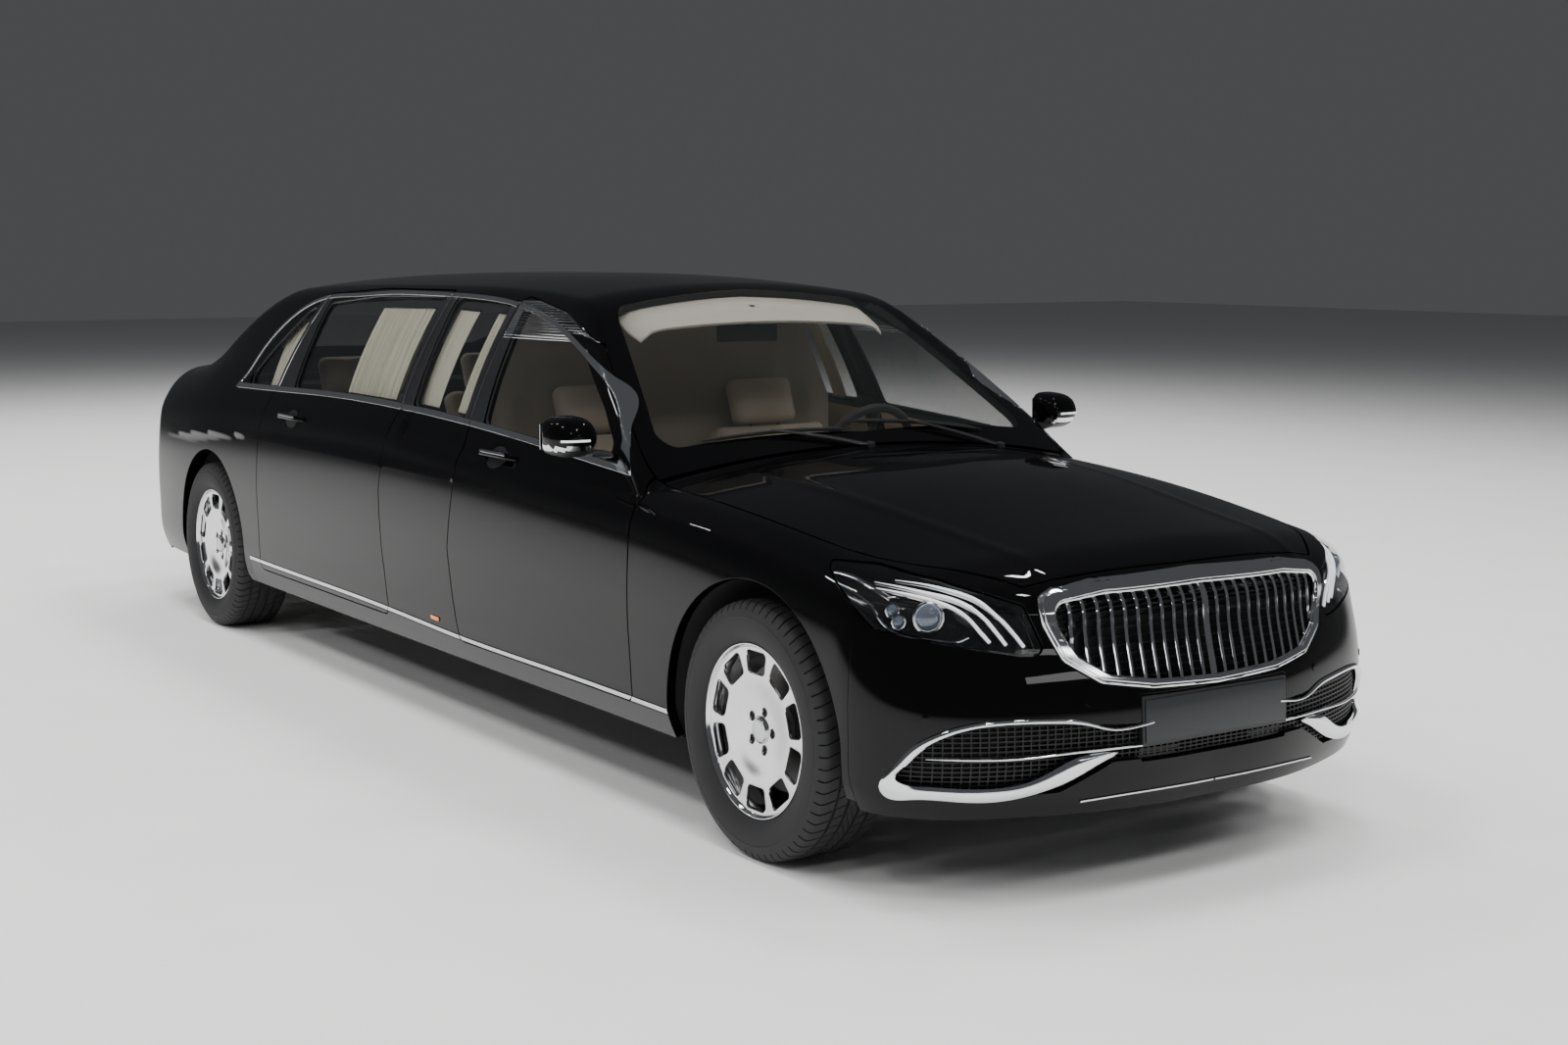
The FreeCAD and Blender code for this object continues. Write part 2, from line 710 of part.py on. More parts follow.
def bonnet_solid(margin, thickness, sunk):
    """The bonnet, or with a margin the room that its neighbours leave it."""
    rows = []
    for part in steps(0, 1, 16):
        row = []
        for share in steps(-1, 1, 11):
            nose_x = body_length * (bonnet_nose_share - bonnet_bow_share * share * share) + margin
            rear_x = bonnet_rear_x - margin
            x = rear_x + (nose_x - rear_x) * part
            y = share * (bonnet_plan(part) * half_width + margin)
            row.append((vec(x, y, core_z), vec(x, y, overall_height)))
        rows.append(row)
    return thick_skin(rows, thickness, sunk)


bonnet = bonnet_solid(0.0, sheet.bonnet_thickness, 0.0)
bonnet_room = bonnet_solid(sheet.shut_gap, sheet.panel_thickness + sheet.shut_gap + sheet.overrun,
                           -sheet.overrun)

# Boot lid: deck and rear face in one bent panel
lid_half_width = boot_half_width - sheet.shut_gap
lid_centre = vec(-0.440 * body_length, 0, 0.50 * overall_height)
lid_top_x = roof_rear_x - 0.002 * body_length
lid_low_z = 0.395 * overall_height
lid_rows = []
for y in steps(-lid_half_width, lid_half_width, 9):
    start = vec(lid_centre.x, y, lid_centre.z)
    top = vec(lid_top_x, y, top_z(lid_top_x, y))
    corner = vec(-0.492 * body_length, y, 0.70 * overall_height)
    foot = vec(-body_length / 2, y, lid_low_z)
    guesses = [top + (corner - top) * part for part in steps(0, 1, 8)]
    guesses += [corner + (foot - corner) * part for part in steps(0, 1, 7)[1:]]
    lid_rows.append([(start, guess) for guess in guesses])
boot_lid = thick_skin(lid_rows, sheet.panel_thickness)
lid_low_z = boot_lid.BoundBox.ZMin


def round_rows(pivot_x, low, high_at, first, last, count, levels):
    """Rows of points on the nose or tail, by bearing in degrees about an upright line at pivot_x."""
    rows = []
    for bearing in steps(first, last, count):
        turn = math.radians(bearing)
        along_ray = vec(math.cos(turn), math.sin(turn), 0)
        row = []
        for z in steps(low, high_at(bearing), levels):
            start = vec(pivot_x, 0, z)
            row.append((start, start + along_ray))
        rows.append(row)
    return rows


nose_pivot_x = 0.335 * body_length
tail_pivot_x = -0.335 * body_length
bumper_low = 0.150 * overall_height
nose_bearing = math.degrees(math.atan2(half_width, fender_end_x - sheet.overrun * 2 - nose_pivot_x))
tail_bearing = math.degrees(math.atan2(half_width, tail_pivot_x - quarter_end_x - sheet.overrun * 2))
nose_top = curve([(-90, 0.500), (-60, 0.498), (-40, 0.500), (-22, 0.512), (-10, 0.520), (0, 0.522), (10, 0.520),
                  (22, 0.512), (40, 0.500), (60, 0.498), (90, 0.500)])
nose_skin = thick_skin(round_rows(nose_pivot_x, bumper_low, lambda b: nose_top(b) * overall_height,
                                  -nose_bearing, nose_bearing, 25, 13), sheet.bumper_thickness)


def slab(first, last, half_y=2 * half_width, low=-overall_height, tall=3 * overall_height):
    """A block across the car between two X places."""
    return Part.makeBox(last - first, 2 * half_y, tall, vec(first, -half_y, low))


nose_skin = nose_skin.cut([slab(-body_length, fender_end_x + seam_gap), bonnet_room])
tail_low_top = lid_low_z - sheet.shut_gap
tail_skin = thick_skin(round_rows(tail_pivot_x, bumper_low, lambda b: tail_low_top,
                                  180 - tail_bearing, 180 + tail_bearing, 21, 9), sheet.bumper_thickness)
tail_skin = tail_skin.cut(slab(quarter_end_x - seam_gap, body_length))

# Rear corner beside the boot lid: rays fan out from one point, and the patch is trimmed to its neighbours
corner_core = vec(-0.4155 * body_length, -0.474 * half_width, 0.532 * overall_height)
corner_rows = []
for bearing in steps(178, 256, 14):
    row = []
    for rise in steps(-34, 64, 15):
        turn = math.radians(bearing)
        up = math.radians(rise)
        ray = vec(math.cos(turn) * math.cos(up), math.sin(turn) * math.cos(up), math.sin(up))
        row.append((corner_core, corner_core + ray))
    corner_rows.append(row)
corner_trims = [slab(quarter_end_x, body_length), slab(-body_length, body_length, boot_half_width),
                slab(-body_length, body_length, tall=overall_height + tail_low_top + sheet.shut_gap)]
rear_corner = thick_skin(corner_rows, sheet.panel_thickness).cut(corner_trims)


# Lamps, grille and bumpers
def slant_prism(points, radius, end, grow=0.0):
    """A prism out of the front (1) or rear (-1) right-hand corner, over (distance along its chord, z) points."""
    along_chord = vec(end, 1, 0).normalize()
    out = vec(end, -1, 0).normalize()
    wire = rounded([along_chord * s + vec(0, 0, z) for s, z in points], radius)
    if grow:
        wire = wire.makeOffset2D(grow)
    return Part.Face(wire).extrude(out * body_length)


lamp_shares = [(0.1934, 0.548), (0.2163, 0.5475), (0.2419, 0.5330), (0.2624, 0.5125), (0.2760, 0.4950),
               (0.2854, 0.4151), (0.2750, 0.4172), (0.2448, 0.4401), (0.2173, 0.4587), (0.2071, 0.4962),
               (0.1983, 0.5249)]
lamp_outline = [(s * body_length, t * overall_height) for s, t in lamp_shares]
lamp_block = slant_prism(lamp_outline, small_radius, 1)
lamp_hole = slant_prism(lamp_outline, small_radius, 1, sheet.shut_gap / 2)
mirror_y = (vec(0, 0, 0), vec(0, 1, 0))
corner_skin = thick_skin(side_rows(place(1.15), fender_end_x, 14), sheet.bumper_thickness).cut(bonnet_room)
tail_lamp_shares = [(0.2265, 0.548), (0.240, 0.584), (0.2835, 0.580), (0.2835, 0.440), (0.262, 0.430),
                    (0.238, 0.480)]
tail_lamp_outline = [(s * body_length, t * overall_height) for s, t in tail_lamp_shares]
tail_lamp = whole(rear_corner.common(slant_prism(tail_lamp_outline, small_radius, -1)))
tail_lamp_hole = slant_prism(tail_lamp_outline, small_radius, -1, seam_gap)

surround_shares = [(0.0, 0.5345), (0.37, 0.5290), (0.50, 0.5180), (0.555, 0.5060), (0.548, 0.4650), (0.50, 0.4029),
                   (0.40, 0.3650), (0.24, 0.3500), (0.0, 0.3440)]
inside_shares = [(0.0, 0.5090), (0.35, 0.5060), (0.485, 0.4960), (0.507, 0.4850), (0.500, 0.4600), (0.455, 0.4120),
                 (0.370, 0.3800), (0.22, 0.3660), (0.0, 0.3610)]
intake_shares = [(0.140, 0.2900), (0.400, 0.3000), (0.700, 0.3080), (0.850, 0.2900), (0.915, 0.2200), (0.900, 0.1900),
                 (0.700, 0.1880), (0.520, 0.1930), (0.370, 0.2380), (0.140, 0.2380)]


def front_outline(shares):
    right = [(-a * half_width, b * overall_height) for a, b in shares]
    left = [(-y, z) for y, z in reversed(right) if y]
    return right + left


def nose_block(points, radius, grow=0.0):
    return front_prism(points, radius, nose_pivot_x, body_length, grow)


surround_block = nose_block(front_outline(surround_shares), 2 * small_radius)
surround_hole = nose_block(front_outline(surround_shares), 2 * small_radius, seam_gap)
inside_block = nose_block(front_outline(inside_shares), 2 * small_radius)
lamp_pieces = [piece.common(lamp_block).cut(surround_hole) for piece in (nose_skin, corner_skin)]
lamp_right = whole(Part.Compound(lamp_pieces))
lamp_left = lamp_right.mirror(*mirror_y)
intake_outline = [(-a * half_width, b * overall_height) for a, b in intake_shares]
intake_block = nose_block(intake_outline, small_radius)
intake_left = intake_block.mirror(*mirror_y)
bumper_holes = [surround_hole, lamp_hole, lamp_hole.mirror(*mirror_y), intake_block, intake_left]
bumper = whole(nose_skin.cut(bumper_holes))
bar_count = 22
bar_width_share = 0.0085
centre_bar_share = 0.022
grille_ring = nose_skin.common(surround_block).cut(inside_block)
grille_back = thick_skin(round_rows(nose_pivot_x, 0.34 * overall_height, lambda b: 0.5315 * overall_height,
                                    -38, 38, 13, 9), sheet.bumper_thickness * 0.7).cut(bonnet_room)
strips = []
inner_width = 0.507 * sheet.body_width
for i in range(bar_count + 1):
    y = inner_width * ((i + 1) / (bar_count + 2) - 0.5)
    wide = (centre_bar_share if i * 2 == bar_count else bar_width_share) * half_width
    strips.append(Part.makeBox(body_length, wide, overall_height, vec(nose_pivot_x, y - wide / 2, 0)))
bars = grille_back.common(inside_block).common(Part.Compound(strips))

# Pieces of the body shell
lid_room = slab(-body_length, roof_rear_x, boot_half_width)
side_frame = side_frame.cut([bonnet_room, lid_room, roof_clear])
front_door = front_door.cut(doors_clear)
rear_door = rear_door.cut(doors_clear)


def shut_pin(share, tall_share):
    """A short upright pin in a door's front shut gap, flush with the skin; the door turns on it."""
    x, z = spot(share, tall_share)
    radius = sheet.shut_gap / 2 - seam_gap - shut_lean_share * sheet.shut_pin_length / 2
    skin = seat(vec(x, -core_y, z), vec(x, -half_width, z))
    centre = vec(x + sheet.shut_gap / 2, skin.y + sheet.shut_gap / 2, z - sheet.shut_pin_length / 2)
    return Part.makeCylinder(radius, sheet.shut_pin_length, centre)


def lid_pins(roof_x, lid_x):
    """Two short pins on one line across the car, on the roof's end, near the top of its gap to a lid."""
    radius = abs(lid_x - roof_x) / 2
    toward_lid = math.copysign(radius - seam_gap, lid_x - roof_x)
    spread = sheet.lid_hinge_spacing / 2
    x = roof_x + toward_lid
    z = top_z(x, spread) - radius / 2
    length = sheet.lid_pin_length
    return [Part.makeCylinder(radius, length, vec(x, y - length / 2, z), cross) for y in (-spread, spread)]


shut_lean_share = 0.1
front_hinge_shares = (0.85175, 0.4285)
rear_hinge_shares = (0.4350, 0.4350)
front_hinge_pin = shut_pin(*front_hinge_shares)
rear_hinge_pin = shut_pin(*rear_hinge_shares)
bonnet_pins = lid_pins(roof_front_x, bonnet_rear_x)
boot_pins = lid_pins(roof_rear_x, lid_top_x)
roof = roof.fuse(bonnet_pins + boot_pins)
add("side_frame_right", [whole(side_frame), whole(rear_corner.cut(tail_lamp_hole)), rear_hinge_pin], True)
add("tail_lamps", [tail_lamp, tail_lamp.mirror(*mirror_y)])
fender = fender.cut([lamp_hole, bonnet_room, roof_clear])
add("front_fender_right", [whole(fender), front_hinge_pin], True)
add("roof_panel", whole(roof))
add("windscreen", whole(screen))
add("rear_window", whole(rear_screen))
add("bonnet", bonnet)
add("boot_lid", boot_lid)
add("front_bumper", bumper)
add("rear_bumper", tail_skin)
add("headlamps", [lamp_right, lamp_left])
add("radiator_grille", [grille_ring] + bars.Solids)
add("front_door_right", front_door, True)
add("rear_door_right", rear_door, True)


def pane(shares):
    return outline_plate(shares, sheet.glass_gap, sheet.glass_thickness, sheet.glass_depth)


add("front_door_glass_right", pane(front_glass_shares), True)
add("rear_door_glass_right", pane(rear_glass_shares), True)
fixed_panes = [pane(middle_glass_shares), pane(quarter_glass_shares)]
add("fixed_side_windows", fixed_panes + [piece.mirror(*mirror_y) for piece in fixed_panes])


# Pieces made of plain primitives whose sizes and places follow the sheet
FRONT_AXLE = "(body_length / 2 - front_overhang)"
REAR_AXLE = "(body_length / 2 - front_overhang - wheelbase)"


def bound(expression):
    return re.sub(r"[a-z_]{3,}", lambda word: "sizes." + word[0] if word[0] in SIZES else word[0], expression)


def primitive(kind, name, sizes, at, turn=None):
    """A Part primitive with its sizes and place bound to expressions, and a turn (axis, angle) if it has one."""
    obj = doc.addObject("Part::" + kind, name)
    for prop, expression in sizes.items():
        obj.setExpression(prop, bound(expression))
    if turn:
        obj.Placement = FreeCAD.Placement(vec(0, 0, 0), FreeCAD.Rotation(vec(*turn[0]), turn[1]))
    for axis, expression in zip("xyz", at):
        obj.setExpression("Placement.Base." + axis, bound(expression))
    return obj


def block(name, length, width, height, at):
    """A box centred on Y at the place given, from its rear face and its floor."""
    return primitive("Box", name, {"Length": length, "Width": width, "Height": height},
                     (at[0], "%s - (%s) / 2" % (at[1], width), at[2]))


def rod(name, radius, height, at, axis="z"):
    turns = {"x": ((0, 1, 0), 90), "y": ((1, 0, 0), -90), "z": None}
    return primitive("Cylinder", name, {"Radius": radius, "Height": height}, at, turns[axis])


def joined(name, pieces):
    fuse = doc.addObject("Part::MultiFuse", name)
    fuse.Shapes = pieces
    fuse.Label = name
    kept.append(fuse)
    return fuse


def less(name, base, tool, keep=False):
    cut = doc.addObject("Part::Cut", name)
    cut.Base = base
    cut.Tool = tool
    cut.Label = name
    if keep:
        kept.append(cut)
    return cut


def solid(name, pieces):
    group = doc.addObject("Part::Compound", name)
    group.Links = pieces
    group.Label = name
    kept.append(group)
    return group


both = (("right", "-1"), ("left", "1"))
STEP_X = REAR_AXLE + " + arch_radius - cabin_step"
FLOOR_X = REAR_AXLE + " + arch_radius + cabin_step / 2"
TOE_X = FRONT_AXLE + " - arch_radius - toe_length"
FLOOR_LENGTH = "wheelbase - arch_radius * 2 - toe_length - cabin_step / 2"
floor_pieces = [
    block("cabin_floor", FLOOR_LENGTH, "(floor_half_width + sill_reach - sill_width) * 2", "floor_thickness",
          (FLOOR_X, "0", "floor_height")),
    block("tunnel", FLOOR_LENGTH + " - bulkhead_thickness - joint_gap", "tunnel_width",
          "tunnel_height - floor_thickness", (FLOOR_X, "0", "floor_height + floor_thickness")),
    block("under_seat_floor", "cabin_step * 1.5", "rear_floor_half_width * 2", "floor_thickness",
          (STEP_X, "0", "floor_height")),
    block("heel_board", "bulkhead_thickness", "rear_floor_half_width * 2", "rear_floor_height - floor_height",
          (STEP_X + " - bulkhead_thickness", "0", "floor_height")),
    block("rear_floor", "arch_radius * 2 - cabin_step", "rear_floor_half_width * 2", "floor_thickness",
          (REAR_AXLE + " - arch_radius", "0", "rear_floor_height")),
    block("boot_floor", "rear_boot_length", "rear_floor_half_width * 2", "floor_thickness",
          (REAR_AXLE + " - arch_radius - rear_boot_length", "0", "rear_floor_height")),
]
for side, sign in both:
    rail_y = sign + " * (rail_inner + rail_width / 2)"
    floor_pieces += [
        block("sill_" + side, "wheelbase - arch_radius * 2 - cabin_step", "sill_width", "sill_box_height",
              (FLOOR_X, sign + " * (floor_half_width - sill_width / 2 + sill_reach)", "floor_height")),
        block("front_rail_" + side, "front_rail_length", "rail_width", "rail_height",
              (TOE_X, rail_y, "rail_floor_height")),
        block("rail_foot_" + side, "rail_height", "rail_width", "rail_floor_height - floor_height",
              (TOE_X, rail_y, "floor_height")),
    ]
front_beam = block("front_beam", "front_beam_depth", "(rail_inner + rail_width) * 2", "rail_height",
                   (TOE_X + " + front_rail_length", "0", "rail_floor_height"))
tow_hole = rod("tow_eye_hole", "tow_eye_radius", "front_beam_depth * 3",
               (TOE_X + " + front_rail_length - front_beam_depth", "-tow_eye_offset",
                "rail_floor_height + rail_height / 2"), "x")
floor_pieces.append(less("bored_beam", front_beam, tow_hole))
solid("floor_pan", floor_pieces)
bulkhead_parts = [
    block("firewall", "bulkhead_thickness", "bulkhead_half_width * 2",
          "bulkhead_height + rail_floor_height - floor_height - floor_thickness - joint_gap",
          (FRONT_AXLE + " - arch_radius - toe_length - bulkhead_thickness", "0",
           "floor_height + floor_thickness + joint_gap")),
    block("rear_bulkhead", "bulkhead_thickness", "rear_floor_half_width * 2", "rear_bulkhead_height",
          (REAR_AXLE + " - arch_radius", "0", "rear_floor_height + floor_thickness")),
    block("parcel_shelf", "arch_radius * 0.7", "rear_floor_half_width * 2", "bulkhead_thickness",
          (REAR_AXLE + " - arch_radius", "0", "rear_floor_height + floor_thickness + rear_bulkhead_height")),
]
solid("bulkheads", bulkhead_parts)
solid("engine_and_gearbox", [
    block("engine_block", "engine_length", "engine_width", "engine_height",
          (FRONT_AXLE + " - arch_radius - toe_length + bulkhead_thickness", "0", "engine_floor")),
])
subframe = [
    block("front_crossmember", "subframe_length", "subframe_width", "subframe_height",
          (FRONT_AXLE + " - subframe_length / 2", "0", "subframe_floor")),
]
FRONT_PIN = "front_track / 2 - kingpin_offset"
REAR_PIN = "rear_track / 2 - kingpin_offset"
UPRIGHT_HEIGHT = "rail_floor_height + rail_height - subframe_floor - arm_thickness - joint_gap"
STUB_LENGTH = "kingpin_offset - hub_inset - arm_thickness / 2 - joint_gap"
for side, sign in both:
    subframe.append(block("lower_arm_" + side, "arm_width", FRONT_PIN + " - subframe_width / 2 + arm_width",
                          "arm_thickness", (FRONT_AXLE + " - arm_width / 2",
                          sign + " * (" + FRONT_PIN + " + subframe_width / 2 - arm_width) / 2",
                          "subframe_floor")))
    subframe.append(block("tower_" + side, "subframe_length / 2", "rail_width",
                          "rail_floor_height - subframe_floor - joint_gap",
                          (FRONT_AXLE + " - subframe_length / 4", sign + " * (rail_inner + rail_width / 2)",
                           "subframe_floor")))
    subframe.append(block("upper_arm_" + side, "arm_width", FRONT_PIN + " - rail_inner", "arm_thickness",
                          (FRONT_AXLE + " - arm_width / 2", sign + " * (" + FRONT_PIN + " + rail_inner) / 2",
                           "rail_floor_height + rail_height + joint_gap")))
subframe.append(block("engine_mount", "arm_width", "subframe_width / 2",
                      "engine_floor - subframe_floor - subframe_height - joint_gap",
                      (FRONT_AXLE + " - arm_width / 2", "0", "subframe_floor + subframe_height")))
joined("front_axle", subframe)
stub_start = {"right": "-front_track / 2 + hub_inset + joint_gap", "left": FRONT_PIN + " + arm_thickness / 2"}
for side, sign in both:
    y = sign + " * (" + FRONT_PIN + ")"
    pieces = [
        block("upright_" + side, "arm_width * 2", "arm_thickness", UPRIGHT_HEIGHT,
              (FRONT_AXLE + " - arm_width", y, "subframe_floor + arm_thickness + joint_gap")),
        rod("stub_" + side, "stub_radius", STUB_LENGTH, (FRONT_AXLE, stub_start[side], "tyre_radius"), "y"),
        block("steering_arm_" + side, "steering_arm_length", "arm_thickness", "arm_thickness",
              (FRONT_AXLE + " - steering_arm_length", y, "subframe_floor + arm_thickness * 2")),
    ]
    joined("front_knuckle_" + side, pieces)
rear = [
    rod("final_drive", "rear_floor_height - tyre_radius - joint_gap", "final_drive_width",
        (REAR_AXLE, "-final_drive_width / 2", "tyre_radius"), "y"),
    rod("half_shafts", "half_shaft_radius", "rear_track - shaft_end * 2",
        (REAR_AXLE, "-rear_track / 2 + shaft_end", "tyre_radius"), "y"),
    block("rear_crossmember", "subframe_length", "subframe_width * 1.3", "subframe_height",
          (REAR_AXLE + " - subframe_length / 2", "0", "exhaust_height + exhaust_radius + joint_gap")),
    block("drive_cradle", "subframe_length / 2", "final_drive_width", "tyre_radius - subframe_floor",
          (REAR_AXLE + " - subframe_length / 4", "0", "subframe_floor")),
]
for side, sign in both:
    start = {"right": "-rear_track / 2 + hub_inset + joint_gap",
             "left": REAR_PIN + " + arm_thickness / 2"}[side]
    rear.append(rod("rear_stub_" + side, "stub_radius", STUB_LENGTH, (REAR_AXLE, start, "tyre_radius"), "y"))
    rear.append(block("hub_carrier_" + side, "arm_width * 2", "arm_thickness", UPRIGHT_HEIGHT,
                      (REAR_AXLE + " - arm_width", sign + " * (" + REAR_PIN + ")",
                       "subframe_floor + arm_thickness + joint_gap")))
    rear.append(block("rear_lower_arm_" + side, "arm_width", REAR_PIN + " - subframe_width / 2",
                      "arm_thickness * 2", (REAR_AXLE + " - arm_width / 2",
                      sign + " * (" + REAR_PIN + " + subframe_width / 2) / 2", "subframe_floor + joint_gap")))
joined("rear_axle", rear)
pipes = []
for side, sign in both:
    pipes.append(rod("pipe_" + side, "exhaust_radius", "exhaust_length",
                     (REAR_AXLE + " - silencer_back", sign + " * exhaust_spacing / 2", "exhaust_height"), "x"))
    pipes.append(rod("silencer_" + side, "silencer_radius", "silencer_length",
                     (REAR_AXLE + " - silencer_back - silencer_length", sign + " * exhaust_spacing / 2",
                      "exhaust_height + silencer_radius / 2"), "x"))
solid("exhaust_system", pipes)


# Cabin
def profile_block(outline, first, last):
    """A solid of one (x, z) outline across the car, between two Y places."""
    wire = rounded([vec(x, first, z) for x, z in outline], small_radius * 1.5)
    return Part.Face(wire).extrude(vec(0, last - first, 0))


dash_x = front_axle_x - sheet.arch_radius - sheet.toe_length - sheet.bulkhead_thickness
belt_z = belt_line(screen_base[0])
dash_front_x = dash_x - sheet.seat_clearance
dash_outline = [(dash_front_x, belt_z - sheet.dash_front_drop), (dash_front_x, belt_z - sheet.dash_height),
                (dash_x - sheet.dash_depth * 0.55, belt_z - sheet.dash_height * 1.05),
                (dash_x - sheet.dash_depth, belt_z - sheet.dash_height * 0.72),
                (dash_x - sheet.dash_depth * 1.05, belt_z - sheet.dash_height * 0.22),
                (dash_x - sheet.dash_depth * 0.78, belt_z - sheet.dash_top_drop)]
dash_half = sheet.bulkhead_half_width * 0.96
floor_top = sheet.floor_height + sheet.floor_thickness
tunnel_top = sheet.floor_height + sheet.tunnel_height
console_floor = tunnel_top + sheet.seat_clearance
console_front_x = dash_x - sheet.dash_depth * 1.1
console_rear_x = dash_x - sheet.dash_depth * 2.9
console_outline = [(console_front_x, console_floor), (console_front_x, tunnel_top + sheet.console_front_height),
                   (dash_x - sheet.dash_depth * 1.9, tunnel_top + sheet.console_middle_height),
                   (console_rear_x, tunnel_top + sheet.console_rear_height), (console_rear_x, console_floor)]
console_half = sheet.console_width / 2
add("centre_console", profile_block(console_outline, -console_half, console_half))


def seat_solids(hip_x, y, facing, base):
    """Runner, cushion, backrest and headrest of one seat; facing is 1 forward and -1 backward."""
    lean = math.tan(math.radians(sheet.backrest_lean))
    top = base + sheet.cushion_height
    front = hip_x + facing * sheet.seat_length
    rear = hip_x + facing * sheet.seat_clearance
    cushion = [(rear, base), (front, base), (front + facing * sheet.cushion_nose, top - sheet.cushion_front_drop),
               (rear, top - sheet.cushion_rear_drop)]
    thick = sheet.backrest_thickness
    back_high = base + sheet.backrest_height
    back_top = hip_x - facing * sheet.backrest_height * lean
    back = [(hip_x, base), (hip_x - facing * thick, base), (back_top - facing * thick * 0.8, back_high),
            (back_top, back_high), (hip_x, base + sheet.backrest_foot)]
    head_x = back_top - facing * sheet.cushion_nose
    head_low = back_high + sheet.seat_clearance
    head_high = head_low + sheet.headrest_height
    head_back = head_x - facing * sheet.headrest_thickness
    head = [(head_x, head_low), (head_back, head_low), (head_back - facing * sheet.headrest_crown, head_high),
            (head_x - facing * sheet.headrest_tilt, head_high)]
    runner_low = base - sheet.seat_frame_height + sheet.seat_clearance
    runner_high = base - sheet.seat_clearance
    runner_rear = hip_x + facing * sheet.seat_frame_inset
    runner_front = front - facing * sheet.seat_frame_inset
    runner = [(runner_rear, runner_low), (runner_front, runner_low), (runner_front, runner_high),
              (runner_rear, runner_high)]
    wide = sheet.seat_width / 2
    narrow = sheet.headrest_width / 2
    return [profile_block(outline, y - half, y + half)
            for outline, half in ((runner, narrow), (cushion, wide), (back, wide), (head, narrow))]


def seat_pair(hip_x, y, facing):
    return seat_solids(hip_x, -y, facing, seat_base) + seat_solids(hip_x, y, facing, seat_base)


seat_y = sheet.seat_spacing / 2
seat_base = floor_top + sheet.seat_frame_height
add("front_seats", seat_pair(place(0.635), seat_y, 1))
add("rear_facing_seats", seat_pair(place(0.455), seat_y, -1))
add("rear_seats", seat_pair(place(0.118), sheet.rear_seat_spacing / 2, 1))
partition_x = place(0.5345)
partition_low = 0.78 * half_width
partition_high = 0.86 * cabin_side(partition_x, 0.70 * overall_height)
partition_top = 0.86 * cabin_side(partition_x, 0.93 * overall_height)
partition_right = [(-partition_low, floor_top + sheet.seat_clearance), (-partition_low, 0.60 * overall_height),
                   (-partition_high, 0.70 * overall_height), (-partition_top, 0.93 * overall_height)]
partition_points = partition_right + [(-y, z) for y, z in reversed(partition_right)]
partition = front_prism(partition_points, small_radius, partition_x, sheet.partition_thickness)
tunnel_clear = Part.makeBox(body_length, sheet.tunnel_width + 2 * sheet.seat_clearance,
                            tunnel_top + sheet.seat_clearance,
                            vec(-half_width, -sheet.tunnel_width / 2 - sheet.seat_clearance, 0))
add("partition", partition.cut(tunnel_clear))


def curtain(shares, width_share, at_share, clearance):
    """A curtain panel hung on the wall's inner face at a window, from at_share of the window's length."""
    points = side_outline(shares)
    first = min(p[0] for p in points)
    last = max(p[0] for p in points)
    left = first + (last - first) * at_share
    right = left + (last - first) * width_share
    rows = []
    for x in steps(left, right, 4):
        low = belt_line(x) + 2 * sheet.frame_thickness + sheet.shut_gap
        levels = steps(low, max(p[1] for p in points) + sheet.overrun, 6)
        rows.append([(vec(x, -core_y, core_z), vec(x, -cabin_side(x, z), z)) for z in levels])
    return thick_skin(rows, sheet.curtain_thickness, sheet.frame_thickness + clearance)


add("rear_door_curtain_right", curtain(rear_glass_shares, 0.46, 0.52, sheet.door_curtain_clearance), True)
cabin_curtains = [curtain(middle_glass_shares, 0.30, 0.04, sheet.middle_curtain_clearance),
                  curtain(quarter_glass_shares, 0.30, 0.62, sheet.quarter_curtain_clearance)]
add("cabin_curtains", cabin_curtains + [c.mirror(*mirror_y) for c in cabin_curtains])

# Steering wheel, square to its leaning column
wheel_centre = vec(dash_x - sheet.dash_depth * 1.42, seat_y, belt_z - sheet.dash_top_drop)
rake = math.radians(sheet.steering_rake)
column = vec(-math.cos(rake), 0, math.sin(rake))
rim_corners = []
for i in range(9):
    turn = math.radians(45 * i)
    out = sheet.steering_wheel_radius + sheet.steering_rim_radius * math.cos(turn)
    rim_corners.append(wheel_centre + vec(0, out, 0) + column * sheet.steering_rim_radius * math.sin(turn))
steering_rim = Part.Face(Part.makePolygon(rim_corners)).revolve(wheel_centre, column, 360)
hub_back = sheet.steering_hub_depth * 0.6
steering_hub = Part.makeCylinder(sheet.steering_hub_radius, sheet.steering_hub_depth,
                                 wheel_centre - column * hub_back, column)
across = vec(0, 1, 0)
upright = column.cross(across)
spoke_start = sheet.steering_hub_radius * 0.7
spokes = []
for angle in (-5, 185, 270):
    turn = math.radians(angle)
    reach = across * math.cos(turn) + upright * math.sin(turn)
    spokes.append(Part.makeCylinder(sheet.steering_rim_radius * 0.8, sheet.steering_wheel_radius - spoke_start,
                                    wheel_centre + reach * spoke_start, reach))
add("steering_wheel", steering_rim.fuse([steering_hub] + spokes))
column_start = wheel_centre - column * (hub_back + sheet.column_gap)
steering_column = Part.makeCylinder(sheet.steering_hub_radius * 0.6, sheet.column_length,
                                    column_start - column * sheet.column_length, column)
dash = profile_block(dash_outline, -dash_half, dash_half)
add("dashboard", dash.fuse(steering_column).removeSplitter())

# Door mirrors
mirror_x = place(0.790)
mirror_inner_y = 0.955 * half_width
mirror_z = 0.700 * overall_height
mirror_shares = [(-0.449, -0.449), (0.101, -0.449), (0.362, -0.348), (0.551, 0.0), (0.478, 0.246), (0.203, 0.449),
                 (-0.217, 0.493), (-0.449, 0.478)]


